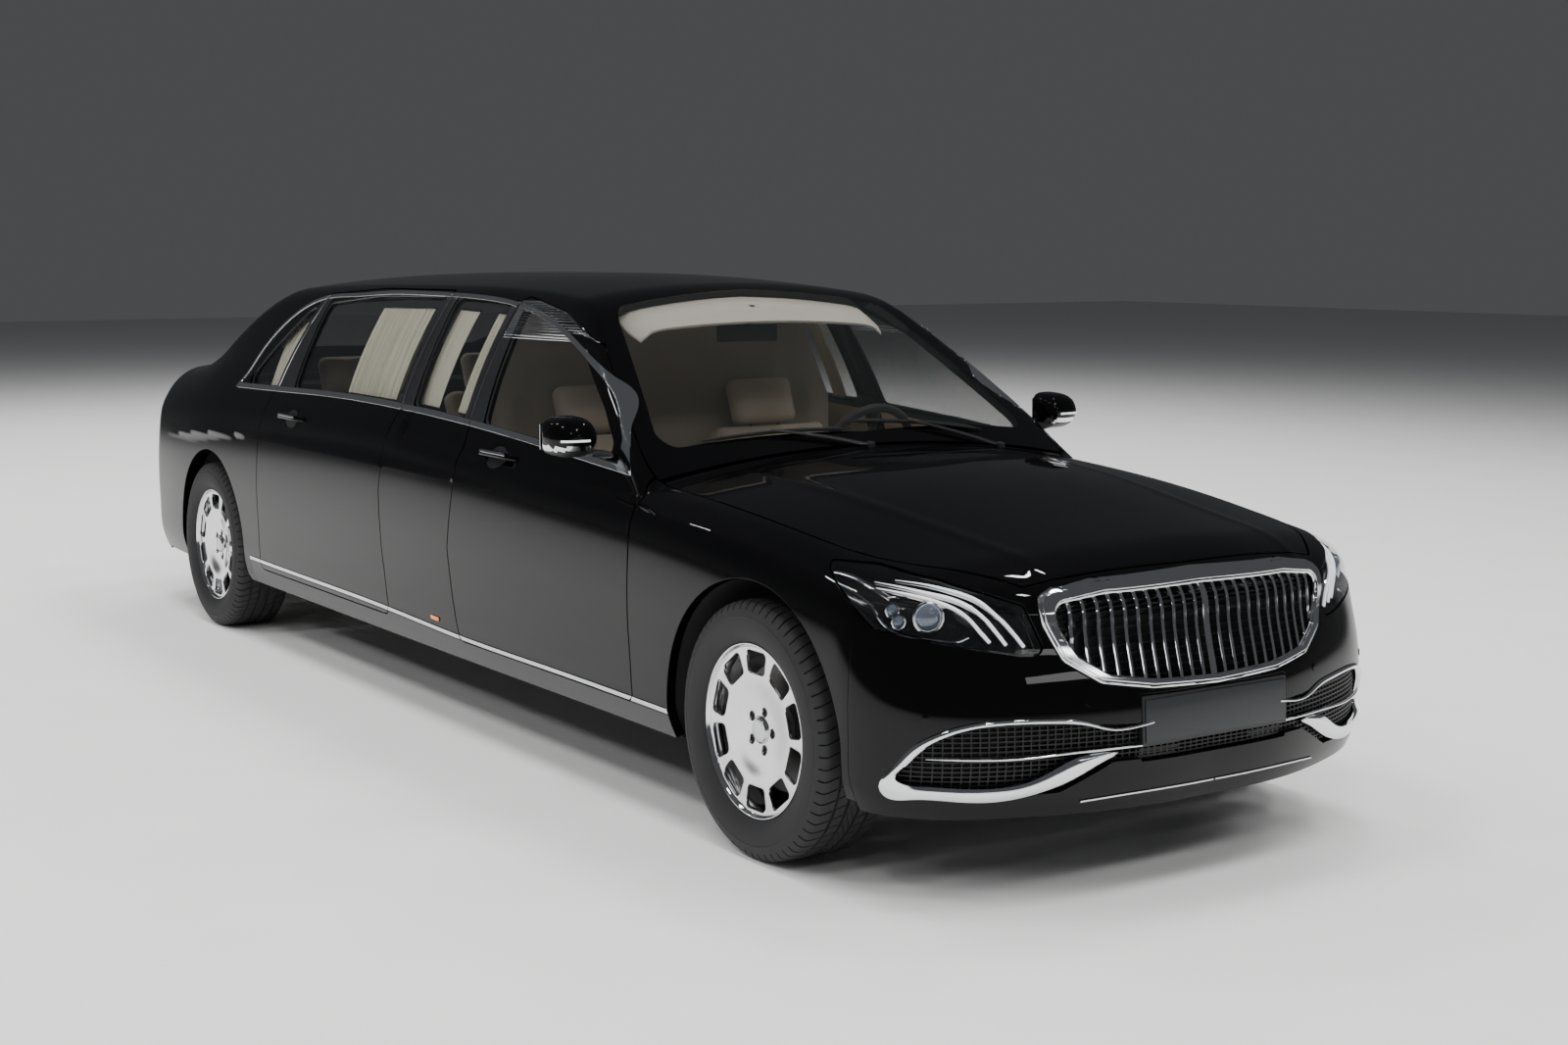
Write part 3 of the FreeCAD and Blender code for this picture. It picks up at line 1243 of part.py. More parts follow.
def mirror_section(y, grow):
    """A rounded trapezium, flat at its rear where the glass sits."""
    size = sheet.mirror_depth * grow
    points = [vec(mirror_x + s * size, y, mirror_z + t * size) for s, t in mirror_shares]
    return Part.makePolygon(points + [points[0]])


mirror_housing = Part.makeLoft([mirror_section(-mirror_inner_y + sheet.mirror_root, 0.75),
                                mirror_section(-mirror_inner_y - sheet.mirror_neck, 0.98),
                                mirror_section(-mirror_inner_y - sheet.mirror_waist, 0.96),
                                mirror_section(-sheet.mirror_reach, 0.5)], True, True)
mirror_foot = Part.makeBox(sheet.mirror_foot_length, sheet.mirror_foot_width, sheet.mirror_foot_height,
                           vec(mirror_x - sheet.mirror_foot_offset, -mirror_inner_y,
                               mirror_z - sheet.mirror_foot_drop))
mirror_solid = mirror_housing.fuse(mirror_foot).cut(side_skin)
add("mirror_right", max(mirror_solid.Solids, key=lambda piece: piece.Volume), True)

# Wipers
wipers = []
for y in (-0.05 * half_width, 0.52 * half_width):
    points = []
    for part in steps(0, 1, 5):
        across_y = y - sheet.wiper_length * 0.864 * part
        x = screen_base[0] - sheet.wiper_base_offset - sheet.wiper_sweep * part
        points.append(vec(x, across_y, top_z(x, across_y) + sheet.wiper_width * 0.63))
    for a, b in zip(points, points[1:]):
        wipers.append(Part.makeCylinder(sheet.wiper_width / 2, (b - a).Length, a, b - a))
add("wiper_arms", wipers[0].fuse(wipers[1:4]).Solids + wipers[4].fuse(wipers[5:]).Solids)


# Wheels and tyres
def wheel_body(name, x, y, facing):
    """A dished disc wheel with its barrel, hub and brake disc, outer face towards facing along Y."""
    inner = sheet.bead_radius - sheet.rim_barrel_wall
    half = sheet.rim_width / 2
    flange = sheet.rim_flange_radius
    lip = sheet.rim_flange_lip
    disc_edge = sheet.vent_circle - sheet.vent_border
    outline = [(sheet.hub_bore / 2, half - sheet.hub_back_inset), (sheet.hub_bore / 2, half - sheet.hub_face_inset),
               (sheet.disc_centre_radius, half - sheet.disc_centre_inset), (disc_edge, half - sheet.disc_edge_inset),
               (flange, half), (flange, half - lip), (sheet.bead_radius, half - lip - sheet.bead_step),
               (sheet.bead_radius, lip - half), (flange, lip - half), (flange, -half), (inner, -half),
               (inner, half - sheet.barrel_inset), (sheet.disc_centre_radius, half - sheet.hub_inner_face)]
    points = [vec(r, facing * w, 0) for r, w in outline]
    face = Part.Face(Part.makePolygon(points + [points[0]]))
    wheel = face.revolve(vec(0, 0, 0), vec(0, 1, 0), 360)
    vent_x = sheet.vent_circle - sheet.vent_height / 2 + sheet.vent_offset
    tools = []
    for i in range(10):
        turn = FreeCAD.Rotation(vec(0, 1, 0), 36 * i)
        hole = Part.makeBox(sheet.vent_height, half * 2, sheet.vent_width,
                            vec(vent_x, min(0, facing * half * 2), -sheet.vent_width / 2))
        hole.Placement = FreeCAD.Placement(vec(0, 0, 0), turn).multiply(hole.Placement)
        tools.append(hole)
    for i in range(5):
        turn = FreeCAD.Rotation(vec(0, 1, 0), 72 * i)
        at = turn.multVec(vec(sheet.bolt_circle / 2, 0, 0))
        tools.append(Part.makeCylinder(sheet.bolt_bore / 2, half * 2, at, vec(0, facing, 0)))
    wheel = wheel.cut(tools)
    inward = vec(0, -facing, 0)
    hub = Part.makeCylinder(sheet.hub_radius, sheet.hub_length,
                            vec(0, facing * (half - sheet.hub_inner_face), 0), inward)
    disc = Part.makeCylinder(sheet.brake_disc_radius, sheet.brake_disc_thickness,
                             vec(0, facing * (half - sheet.brake_disc_inset), 0), inward)
    obj = add(name, wheel.fuse([hub, disc]))
    obj.Placement = FreeCAD.Placement(vec(x, y, sheet.tyre_radius), FreeCAD.Rotation())


def tyre_body(name, x, y):
    half = sheet.tyre_width / 2
    tread = sheet.tread_width / 2
    seat_half = sheet.rim_width / 2 - sheet.rim_flange_lip - sheet.bead_relief
    bead = sheet.bead_radius + sheet.joint_gap
    flange_clear = sheet.rim_flange_radius + sheet.joint_gap
    bulge = sheet.rim_flange_radius + sheet.tyre_bulge
    shoulder = sheet.tyre_radius - sheet.tyre_shoulder
    right = [(bead, seat_half), (flange_clear, seat_half), (bulge, half), (shoulder, tread + sheet.bead_relief),
             (sheet.tyre_radius, tread - sheet.tyre_shoulder)]
    outline = [(r, -w) for r, w in right] + list(reversed(right))
    points = [vec(r, w, 0) for r, w in outline]
    face = Part.Face(Part.makePolygon(points + [points[0]]))
    obj = add(name, face.revolve(vec(0, 0, 0), vec(0, 1, 0), 360))
    obj.Placement = FreeCAD.Placement(vec(x, y, sheet.tyre_radius), FreeCAD.Rotation())


for side, sign in (("right", -1), ("left", 1)):
    for end, x, track in (("front", front_axle_x, sheet.front_track), ("rear", rear_axle_x, sheet.rear_track)):
        wheel_body("%s_wheel_%s" % (end, side), x, sign * track / 2, sign)
        tyre_body("%s_tyre_%s" % (end, side), x, sign * track / 2)

doc.recompute()
faults = []
for obj in kept:
    if "Invalid" in obj.State or "Error" in obj.State or obj.Shape.isNull() or not obj.Shape.isValid():
        faults.append(obj.Label)
if faults:
    raise RuntimeError("not valid: " + ", ".join(faults))
os.makedirs("parts", exist_ok=True)
for obj in kept:
    obj.Shape.exportStep("parts/%s.step" % obj.Label)
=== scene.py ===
"""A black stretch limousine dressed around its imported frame: panels, glass, lamps, wheels and cabin."""
import math

import bmesh
import bpy
import numpy as np
from mathutils import Matrix, Vector, kdtree
from mathutils.geometry import delaunay_2d_cdt


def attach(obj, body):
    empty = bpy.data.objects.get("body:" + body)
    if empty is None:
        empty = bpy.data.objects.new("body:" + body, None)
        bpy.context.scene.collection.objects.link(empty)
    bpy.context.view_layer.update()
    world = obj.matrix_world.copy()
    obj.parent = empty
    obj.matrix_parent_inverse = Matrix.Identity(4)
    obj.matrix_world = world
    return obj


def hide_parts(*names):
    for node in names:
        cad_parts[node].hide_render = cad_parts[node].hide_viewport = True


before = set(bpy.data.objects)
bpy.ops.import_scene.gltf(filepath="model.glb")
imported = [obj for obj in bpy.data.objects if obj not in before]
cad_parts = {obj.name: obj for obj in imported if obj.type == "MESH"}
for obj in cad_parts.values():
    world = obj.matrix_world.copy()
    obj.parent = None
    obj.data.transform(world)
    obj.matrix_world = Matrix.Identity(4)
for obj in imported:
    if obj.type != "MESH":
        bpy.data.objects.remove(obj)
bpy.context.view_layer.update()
MM = 0.001

# The outer form, as the source has it, in millimetres
LENGTH = 6499.0
HEIGHT = 1598.0
HALF = 949.5
WHEELBASE = 4418.0
FRONT_OVERHANG = 876.0
REAR_OVERHANG = LENGTH - WHEELBASE - FRONT_OVERHANG
FRONT_X = LENGTH / 2 - FRONT_OVERHANG
REAR_X = FRONT_X - WHEELBASE
SILL = 265.0
TYRE = 368.0
ARCH = 428.0
CORE_Z = 0.40 * HEIGHT
CORE_Y = 0.32 * HALF
SHUT = 5.0
SMALL = 0.012 * HEIGHT


def curve(table):
    """A natural cubic spline through (place, value) points, straight beyond its ends."""
    xs = np.array([p for p, _ in table], float)
    ys = np.array([q for _, q in table], float)
    n = len(xs)
    h = np.diff(xs)
    slope = np.diff(ys) / h
    bend = np.zeros(n)
    if n > 2:
        system = np.diag(2 * (h[:-1] + h[1:])) + np.diag(h[1:-1], 1) + np.diag(h[1:-1], -1)
        bend[1:-1] = np.linalg.solve(system, 6 * np.diff(slope))
    first = slope[0] - h[0] * bend[1] / 6
    last = slope[-1] + h[-1] * bend[-2] / 6

    def at(place):
        place = np.asarray(place, float)
        inside = np.clip(place, xs[0], xs[-1])
        i = np.clip(np.searchsorted(xs, inside, side="right") - 1, 0, n - 2)
        a = xs[i + 1] - inside
        b = inside - xs[i]
        value = (bend[i] * a ** 3 + bend[i + 1] * b ** 3) / (6 * h[i])
        value = value + (ys[i] / h[i] - bend[i] * h[i] / 6) * a + (ys[i + 1] / h[i] - bend[i + 1]
                                                                   * h[i] / 6) * b
        return value + first * np.minimum(place - xs[0], 0) + last * np.maximum(place - xs[-1], 0)

    return at


def place(share):
    if share > 1:
        return FRONT_X + (share - 1) * FRONT_OVERHANG
    if share < 0:
        return REAR_X + share * REAR_OVERHANG
    return REAR_X + share * WHEELBASE


def along(shares, unit):
    return curve([(place(s), share * unit) for s, share in shares])


bonnet_line = along([(0.80, 0.672), (0.90, 0.655), (1.0, 0.627), (1.35, 0.598), (1.65, 0.574), (1.85, 0.553),
                     (2.0, 0.525)], HEIGHT)
boot_line = along([(-1.1, 0.69), (-0.95, 0.706), (-0.75, 0.722), (-0.45, 0.738), (-0.15, 0.757),
                   (0.10, 0.775)],
                  HEIGHT)
roof_line = along([(0.0, 0.955), (0.08, 0.974), (0.17, 0.987), (0.30, 0.9965), (0.42, 1.0), (0.52, 0.9995),
                   (0.62, 0.989), (0.70, 0.972), (0.80, 0.940)], HEIGHT)
belt_line = along([(-1.0, 0.610), (-0.6, 0.640), (-0.3, 0.662), (0.04, 0.677), (0.15, 0.684), (0.32, 0.692),
                   (0.43, 0.690), (0.57, 0.677), (0.65, 0.666), (0.83, 0.632), (1.0, 0.585), (1.5, 0.535),
                   (2.0, 0.48)], HEIGHT)
side_plan = along([(-1.0, 0.905), (-0.6, 0.962), (-0.2, 0.988), (0.1, 0.996), (0.35, 1.0), (0.65, 1.0),
                   (0.85, 0.995), (1.0, 0.994), (1.4, 0.98), (2.0, 0.93)], HALF)
cabin_plan = along([(-1.0, 0.80), (-0.5, 0.86), (-0.2, 0.93), (0.04, 0.972), (0.25, 0.995), (0.45, 1.0),
                    (0.65, 1.0), (0.83, 0.99), (1.0, 0.96)], HALF)
section_inset = curve([(0.0, 0.034), (0.10, 0.010), (0.22, 0.004), (0.50, 0.0), (0.70, 0.006), (0.82, 0.016),
                       (0.90, 0.032), (1.0, 0.080), (1.12, 0.15), (1.3, 0.27)])
nose_profile = curve([(0.10, 0.10), (0.155, 0.035), (0.21, 0.004), (0.27, 0.0), (0.33, 0.006), (0.40, 0.036),
                      (0.46, 0.060), (0.515, 0.085), (0.56, 0.18)])
nose_plan = curve([(0.0, 0.0), (0.25, 0.008), (0.45, 0.052), (0.62, 0.115), (0.78, 0.20), (0.90, 0.30),
                   (1.0, 0.42), (1.1, 0.60)])
tail_profile = curve([(0.14, 0.07), (0.20, 0.02), (0.30, 0.0), (0.45, 0.004), (0.58, 0.022), (0.68, 0.045),
                      (0.74, 0.10)])
tail_plan = curve([(0.0, 0.0), (0.3, 0.008), (0.5, 0.03), (0.7, 0.085), (0.85, 0.16), (1.0, 0.28),
                   (1.1, 0.40)])
SCREEN_X = 0.2616 * LENGTH
SCREEN_Z = 0.662 * HEIGHT
BACK_X = -0.3847 * LENGTH
BACK_Z = 0.737 * HEIGHT


def largest(a, b, blend):
    over = np.maximum(blend - np.abs(a - b), 0) / blend
    return np.maximum(a, b) + over * over * blend / 4


def cabin_side(x, z):
    up = z - belt_line(np.minimum(x, SCREEN_X))
    return 0.916 * cabin_plan(x) - 0.34 * up - 0.64 / HEIGHT * up * np.abs(up)


def lower_body(x, y, z):
    share = np.abs(y) / HALF
    level = (z - SILL) / (belt_line(x) - SILL)
    side = np.abs(y) - side_plan(x) + section_inset(level) * HALF
    fall = (share / 0.84) ** 2.2
    deck = np.where(x > 0, z - bonnet_line(x) + 0.048 * HEIGHT * fall,
                    z - boot_line(x) + 0.038 * HEIGHT * fall)
    tall = z / HEIGHT
    nose = x - LENGTH / 2 + FRONT_OVERHANG * (nose_profile(tall) + nose_plan(share))
    tail = -x - LENGTH / 2 + REAR_OVERHANG * (tail_profile(tall) + tail_plan(share))
    form = largest(side, deck, 0.056 * HEIGHT)
    form = largest(form, nose, 0.069 * HEIGHT)
    return largest(form, tail, 0.075 * HEIGHT)


def cabin(x, y, z):
    share = np.abs(y) / HALF
    crown = 0.028 * HEIGHT * (share / 0.63) ** 2.2
    back = (SCREEN_X - x) / (LENGTH / 8)
    swell = 0.0088 * HEIGHT * 4 * back * (1 - back)
    front = SCREEN_Z + 0.628 * (SCREEN_X - x - 0.060 * HEIGHT * share * share) + swell
    rear = BACK_Z + 0.52 * (x - BACK_X - 0.044 * HEIGHT * share * share)
    form = largest(z - roof_line(x) + crown, z - front + crown / 3, 0.029 * HEIGHT)
    form = largest(form, z - rear, 0.050 * HEIGHT)
    form = largest(form, np.abs(y) - cabin_side(x, z), 0.029 * HEIGHT)
    return np.maximum(form, 0.56 * HEIGHT - z)


def ridge(distance, wide):
    return np.exp(-(distance / wide) ** 2)


crease_line = along([(0.58, 0.640), (0.72, 0.618), (0.86, 0.578), (1.0, 0.552), (1.3, 0.530), (1.6, 0.510)],
                    HEIGHT)


def pressed_detail(x, y, z):
    """Feature lines pressed into the skin: the fender crease and the bonnet's two power lines."""
    fade = np.clip((x - 700.0) / 900.0, 0, 1) * np.clip((2700.0 - x) / 300.0, 0, 1)
    crease = 3.2 * ridge(z - crease_line(x), 16.0) * fade * (np.abs(y) > 700)
    reach = np.clip((x - 1750.0) / 300.0, 0, 1)
    power = 3.0 * ridge(np.abs(y) - 560.0 + (x - 1700.0) * 0.085, 26.0) * reach * (z > 700)
    return crease + power


def body_form(x, y, z):
    near_tail = np.clip((REAR_X + WHEELBASE / 9 - x) / (WHEELBASE / 6), 0, 1)
    return -largest(-lower_body(x, y, z), -cabin(x, y, z), 0.050 * HEIGHT * (0.05 + near_tail))


def dressed_form(x, y, z):
    return body_form(x, y, z) - pressed_detail(x, y, z)


def leave(starts, rays, form=dressed_form):
    """Where rays from inside the body leave its outer form."""
    starts = np.asarray(starts, float).reshape(-1, 3)
    rays = np.asarray(rays, float).reshape(-1, 3)
    rays = rays / np.linalg.norm(rays, axis=1)[:, None]
    near = np.zeros(len(starts))
    far = np.full(len(starts), HALF * 2)
    for _ in range(24):
        middle = (near + far) / 2
        p = starts + rays * middle[:, None]
        inside = form(p[:, 0], p[:, 1], p[:, 2]) < 0
        near = np.where(inside, middle, near)
        far = np.where(inside, far, middle)
    return starts + rays * near[:, None]


def normals_at(points, form=dressed_form):
    step = 1.0
    slope = []
    for axis in np.eye(3) * step:
        a = points + axis
        b = points - axis
        slope.append(form(a[:, 0], a[:, 1], a[:, 2]) - form(b[:, 0], b[:, 1], b[:, 2]))
    slope = np.stack(slope, axis=1)
    return slope / np.linalg.norm(slope, axis=1)[:, None]


# Ways to lay the skin out flat: each turns flat (u, v) into rays and points back into (u, v)
class Side:
    reach = 650.0

    @staticmethod
    def rays(uv):
        turn = uv[:, 1] / Side.reach
        start = columns_of(uv[:, 0], -CORE_Y, CORE_Z)
        return start, columns_of(0.0, -np.cos(turn), np.sin(turn))

    @staticmethod
    def flat(p):
        return columns_of(p[:, 0], Side.reach * np.arctan2(p[:, 2] - CORE_Z, -p[:, 1] - CORE_Y))


class Top:
    @staticmethod
    def rays(uv):
        start = columns_of(uv[:, 0], uv[:, 1], CORE_Z)
        return start, [0.0, 0.0, 1.0]

    @staticmethod
    def flat(p):
        return p[:, :2].copy()


class Nose:
    pivot = 0.335 * LENGTH
    sign = 1.0
    reach = 900.0

    @classmethod
    def rays(cls, uv):
        turn = uv[:, 0] / cls.reach
        start = columns_of(cls.pivot, 0.0, uv[:, 1])
        return start, columns_of(cls.sign * np.cos(turn), np.sin(turn), 0.0)

    @classmethod
    def flat(cls, p):
        return columns_of(cls.reach * np.arctan2(p[:, 1], cls.sign * (p[:, 0] - cls.pivot)), p[:, 2])


class Tail(Nose):
    pivot = -0.335 * LENGTH
    sign = -1.0


class Corner:
    core = np.array([-0.4155 * LENGTH, -0.474 * HALF, 0.532 * HEIGHT])
    reach = 480.0

    @staticmethod
    def rays(uv):
        turn = uv[:, 0] / Corner.reach
        up = uv[:, 1] / Corner.reach
        start = np.tile(Corner.core, (len(uv), 1))
        return start, columns_of(np.cos(turn) * np.cos(up), np.sin(turn) * np.cos(up), np.sin(up))

    @staticmethod
    def flat(p):
        d = p - Corner.core
        turn = np.arctan2(d[:, 1], d[:, 0]) % (2 * np.pi)
        return Corner.reach * columns_of(turn, np.arctan2(d[:, 2], np.hypot(d[:, 0], d[:, 1])))


LID_X = -0.440 * LENGTH
LID_Z = 0.50 * HEIGHT


class Lid:
    """Across the car and round its tail, by the angle of a ray from a line inside the boot."""
    reach = 480.0

    @staticmethod
    def rays(uv):
        turn = uv[:, 0] / Lid.reach
        start = columns_of(LID_X, uv[:, 1], LID_Z)
        return start, columns_of(-np.cos(turn), 0.0, np.sin(turn))

    @staticmethod
    def flat(p):
        return columns_of(Lid.reach * np.arctan2(p[:, 2] - LID_Z, LID_X - p[:, 0]), p[:, 1])


def columns_of(*values):
    """A table of points from its columns; a single number fills its column."""
    return np.stack(np.broadcast_arrays(*values), axis=1).astype(float)


def quads(rows, columns, ring=False, loop=False):
    """Faces between rows of points: ring closes each row on itself, loop joins the last row to the first."""
    faces = []
    for i in range(rows if loop else rows - 1):
        j = (i + 1) % rows
        for k in range(columns if ring else columns - 1):
            q = (k + 1) % columns
            faces.append((i * columns + k, i * columns + q, j * columns + q, j * columns + k))
    return faces


def caps(rows, columns):
    """The two end faces of a tube of rows."""
    return [tuple(reversed(range(columns))), tuple((rows - 1) * columns + k for k in range(columns))]


def turned_over(faces):
    return [tuple(reversed(f)) for f in faces]


def doubled(verts, faces, offset):
    """A sheet with its other face at an offset."""
    return np.concatenate([verts, verts + offset]), faces + [tuple(k + len(verts) for k in reversed(f))
                                                             for f in faces]


def lefty(name):
    return name.replace("_right", "_left")


def on_form(layout, uv):
    return leave(*layout.rays(np.asarray(uv, float)))


def dense(points, step=9.0, closed=True):
    """The points of a line with more between them, none further apart than a step."""
    points = [np.asarray(p, float) for p in points]
    out = []
    pairs = zip(points, points[1:] + (points[:1] if closed else []))
    for a, b in pairs:
        count = max(1, int(math.ceil(np.linalg.norm(b - a) / step)))
        out += [a + (b - a) * i / count for i in range(count)]
    if not closed:
        out.append(points[-1])
    return np.array(out)


def rounded(points, radius, per_corner=6):
    """A closed line with its corners rounded."""
    points = [np.asarray(p, float) for p in points]
    out = []
    for i, corner in enumerate(points):
        before = points[i - 1] - corner
        after = points[(i + 1) % len(points)] - corner
        la, lb = np.linalg.norm(before), np.linalg.norm(after)
        before, after = before / la, after / lb
        turn = math.pi - math.acos(max(-1.0, min(1.0, float(before @ after))))
        cut = min(radius * math.tan(turn / 2), min(la, lb) * 0.49)
        if turn < 0.02 or np.linalg.norm(before + after) < 1e-6:
            out.append(corner)
            continue
        bend = cut / math.tan(turn / 2)
        centre = corner + (before + after) / np.linalg.norm(before + after) * math.hypot(cut, bend)
        a = corner + before * cut - centre
        b = corner + after * cut - centre
        for j in range(per_corner + 1):
            part = j / per_corner
            arm = a * math.sin((1 - part) * turn) + b * math.sin(part * turn)
            out.append(centre + arm / math.sin(turn))
    return np.array(out)


def grown(points, size):
    """A closed plane line moved outwards by a size."""
    points = np.asarray(points, float)
    if size == 0:
        return points
    area = 0.5 * np.sum(points[:, 0] * np.roll(points[:, 1], -1) - np.roll(points[:, 0], -1) * points[:, 1])
    ahead = np.roll(points, -1, axis=0) - np.roll(points, 1, axis=0)
    ahead /= np.maximum(np.linalg.norm(ahead, axis=1), 1e-9)[:, None]
    out = columns_of(ahead[:, 1], -ahead[:, 0]) * (1 if area > 0 else -1)
    return points + out * size


def within(points, line):
    """Which of the points lie inside a closed line."""
    x, y = points[:, 0][:, None], points[:, 1][:, None]
    x1, y1 = line[:, 0][None], line[:, 1][None]
    x2, y2 = np.roll(line[:, 0], -1)[None], np.roll(line[:, 1], -1)[None]
    crosses = (y1 > y) != (y2 > y)
    with np.errstate(divide="ignore", invalid="ignore"):
        at = x1 + (y - y1) * (x2 - x1) / (y2 - y1)
    return (np.sum(crosses & (x < at), axis=1) % 2) == 1


def from_side(outline, grow=0.0, radius=2 * SMALL):
    """An (x, z) outline seen from the side, put on the right-hand skin."""
    line = dense(grown(rounded(outline, radius), grow))
    start = columns_of(line[:, 0], -CORE_Y, line[:, 1])
    return leave(start, [0.0, -1.0, 0.0])


def from_front(outline, grow=0.0, radius=2 * SMALL):
    """A (y, z) outline seen from the front, put on the nose."""
    line = dense(grown(rounded(outline, radius), grow))
    start = columns_of(Nose.pivot, line[:, 0], line[:, 1])
    return leave(start, [1.0, 0.0, 0.0])


def from_slant(outline, end, grow=0.0, radius=SMALL):
    """An outline on a right-hand corner seen square to its slant, (distance along, z)."""
    line = dense(grown(rounded(outline, radius), grow))
    chord = np.array([end, 1.0, 0.0]) / math.sqrt(2)
    out = np.array([end, -1.0, 0.0]) / math.sqrt(2)
    start = line[:, :1] * chord + np.array([0, 0, 1.0]) * line[:, 1:]
    return leave(start + out * 900.0, out)


def mesh_piece(name, verts, faces, material, body, normals=None):
    """A new object from points in millimetres, riding on a body."""
    mesh = bpy.data.meshes.new(name)
    mesh.from_pydata([tuple(v) for v in np.asarray(verts, float) * MM], [],
                     [tuple(int(i) for i in f) for f in faces])
    mesh.validate()
    mesh.shade_smooth()
    if normals is not None:
        mesh.normals_split_custom_set_from_vertices([tuple(n) for n in normals])
    obj = bpy.data.objects.new(name, mesh)
    bpy.context.scene.collection.objects.link(obj)
    for m in material if isinstance(material, (list, tuple)) else [material]:
        mesh.materials.append(m)
    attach(obj, body)
    return obj


def flat_line(layout, line):
    """A line in flat coordinates, from points on the form or as it is if it is flat already."""
    line = np.asarray(line, float)
    return line if line.shape[1] == 2 else layout.flat(line)


def skin(layout, keep, cut=(), spacing=(26.0, 15.0), thickness=20.0, edge=1.6, lift=0.0):
    """Points, faces and normals of a panel: the outer form inside the lines, a rounded edge and a back face.

    keep and cut are closed lines of points on the form. What lies in every keep line and no cut line stays.
    """
    keep = [flat_line(layout, line) for line in keep]
    cut = [flat_line(layout, line) for line in cut]
    lines = keep + cut
    every = np.concatenate(keep)
    low, high = every.min(axis=0), every.max(axis=0)
    us = np.arange(low[0], high[0] + spacing[0], spacing[0])
    vs = np.arange(low[1], high[1] + spacing[1], spacing[1])
    grid = np.stack(np.meshgrid(us, vs), axis=-1).reshape(-1, 2)
    stay = np.ones(len(grid), bool)
    for line in keep:
        stay &= within(grid, line)
    for line in cut:
        stay &= ~within(grid, line)
    grid = grid[stay]
    stretch = np.array([spacing[1] / spacing[0], 1.0])
    marks = np.concatenate([dense(line, 6.0) for line in lines]) * stretch
    tree = kdtree.KDTree(len(marks))
    for i, p in enumerate(marks):
        tree.insert((p[0], p[1], 0), i)
    tree.balance()
    far = [tree.find((p[0], p[1], 0))[2] > 0.45 * spacing[1] for p in grid * stretch]
    grid = grid[np.array(far, bool)] if len(grid) else grid
    points = []
    edges = []
    for line in lines:
        first = len(points)
        points += [tuple(p) for p in line * stretch]
        edges += [(first + i, first + (i + 1) % len(line)) for i in range(len(line))]
    points += [tuple(p) for p in grid * stretch]
    flat, _, faces, _, _, _ = delaunay_2d_cdt([Vector(p) for p in points], edges, [], 0, 0.01)
    flat = np.array([tuple(p) for p in flat]) / stretch
    faces = np.array([tuple(f) for f in faces])
    middle = flat[faces].mean(axis=1)
    stay = np.ones(len(faces), bool)
    for line in keep:
        stay &= within(middle, line)
    for line in cut:
        stay &= ~within(middle, line)
    faces = faces[stay]
    used = np.unique(faces)
    renumber = np.full(len(flat), -1)
    renumber[used] = np.arange(len(used))
    flat, faces = flat[used], renumber[faces]
    if hasattr(layout, "surface"):
        outer, n = layout.surface(flat)
    else:
        outer = on_form(layout, flat)
        n = normals_at(outer)
    # the faces turn outwards
    a, b, c = outer[faces[:, 0]], outer[faces[:, 1]], outer[faces[:, 2]]
    facing = np.sum(np.cross(b - a, c - a) * n[faces].mean(axis=1), axis=1)
    area = np.linalg.norm(np.cross(b - a, c - a), axis=1)
    faces = np.where((facing < 0)[:, None], faces[:, ::-1], faces)
    faces = faces[area > 0.02]
    outer = outer + n * lift
    return shell(outer, faces, n, thickness, edge)


def shell(outer, faces, n, thickness, edge):
    """A closed panel from its outer face: a rounded edge, side walls and a back face along the normals."""
    halves = {}
    for f in faces:
        for i in range(3):
            halves[(int(f[i]), int(f[(i + 1) % 3]))] = True
    rim = [pair for pair in halves if (pair[1], pair[0]) not in halves]
    ahead = np.zeros_like(outer)
    for i, j in rim:
        step = outer[j] - outer[i]
        step = step / max(np.linalg.norm(step), 1e-9)
        ahead[i] += step
        ahead[j] += step
    ids = sorted({i for pair in rim for i in pair})
    out = np.cross(ahead[ids], n[ids])
    out /= np.maximum(np.linalg.norm(out, axis=1), 1e-9)[:, None]
    count = len(outer)
    k = len(ids)
    at = {i: j for j, i in enumerate(ids)}
    corner = outer[ids]
    moved = outer.copy()
    moved[ids] = corner - out * edge
    ring1 = corner - out * edge * 0.29 - n[ids] * edge * 0.29
    ring2 = corner - n[ids] * edge
    deep = thickness(corner) if callable(thickness) else np.full(k, thickness)
    ring3 = corner - n[ids] * deep[:, None]
    back_deep = thickness(outer) if callable(thickness) else np.full(count, thickness)
    back = outer - n * back_deep[:, None]
    verts = [moved, ring1, ring2, ring2, ring3, back]
    slant = (n[ids] + out) / math.sqrt(2)
    norms = [n, slant, out, out, out, -n]
    first = np.cumsum([0] + [len(v) for v in verts])
    all_faces = [tuple(f) for f in faces]
    for i, j in rim:
        a, b = at[i], at[j]
        all_faces.append((j, i, first[1] + a, first[1] + b))
        all_faces.append((first[1] + b, first[1] + a, first[2] + a, first[2] + b))
        all_faces.append((first[3] + b, first[3] + a, first[4] + a, first[4] + b))
    all_faces += [(f[2] + first[5], f[1] + first[5], f[0] + first[5]) for f in faces]
    return np.concatenate(verts), all_faces, np.concatenate(norms)


def flipped(data):
    """The same panel on the car's other side."""
    verts, faces, norms = data
    turn = np.array([1.0, -1.0, 1.0])
    return verts * turn, turned_over(faces), norms * turn


def panel(name, data, material, body, nodes=()):
    verts, faces, norms = data
    obj = mesh_piece(name, verts, faces, material, body, norms)
    if nodes:
        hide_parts(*nodes)
    return obj


def paired(name, data, material, body, nodes=()):
    """A right-hand panel and its mirror image."""
    panel(name, data, material, body, nodes)
    panel(lefty(name), flipped(data), material, lefty(body), [lefty(n) for n in nodes])


# Materials
def settle(node, values):
    for key, value in values.items():
        node.inputs[key].default_value = value


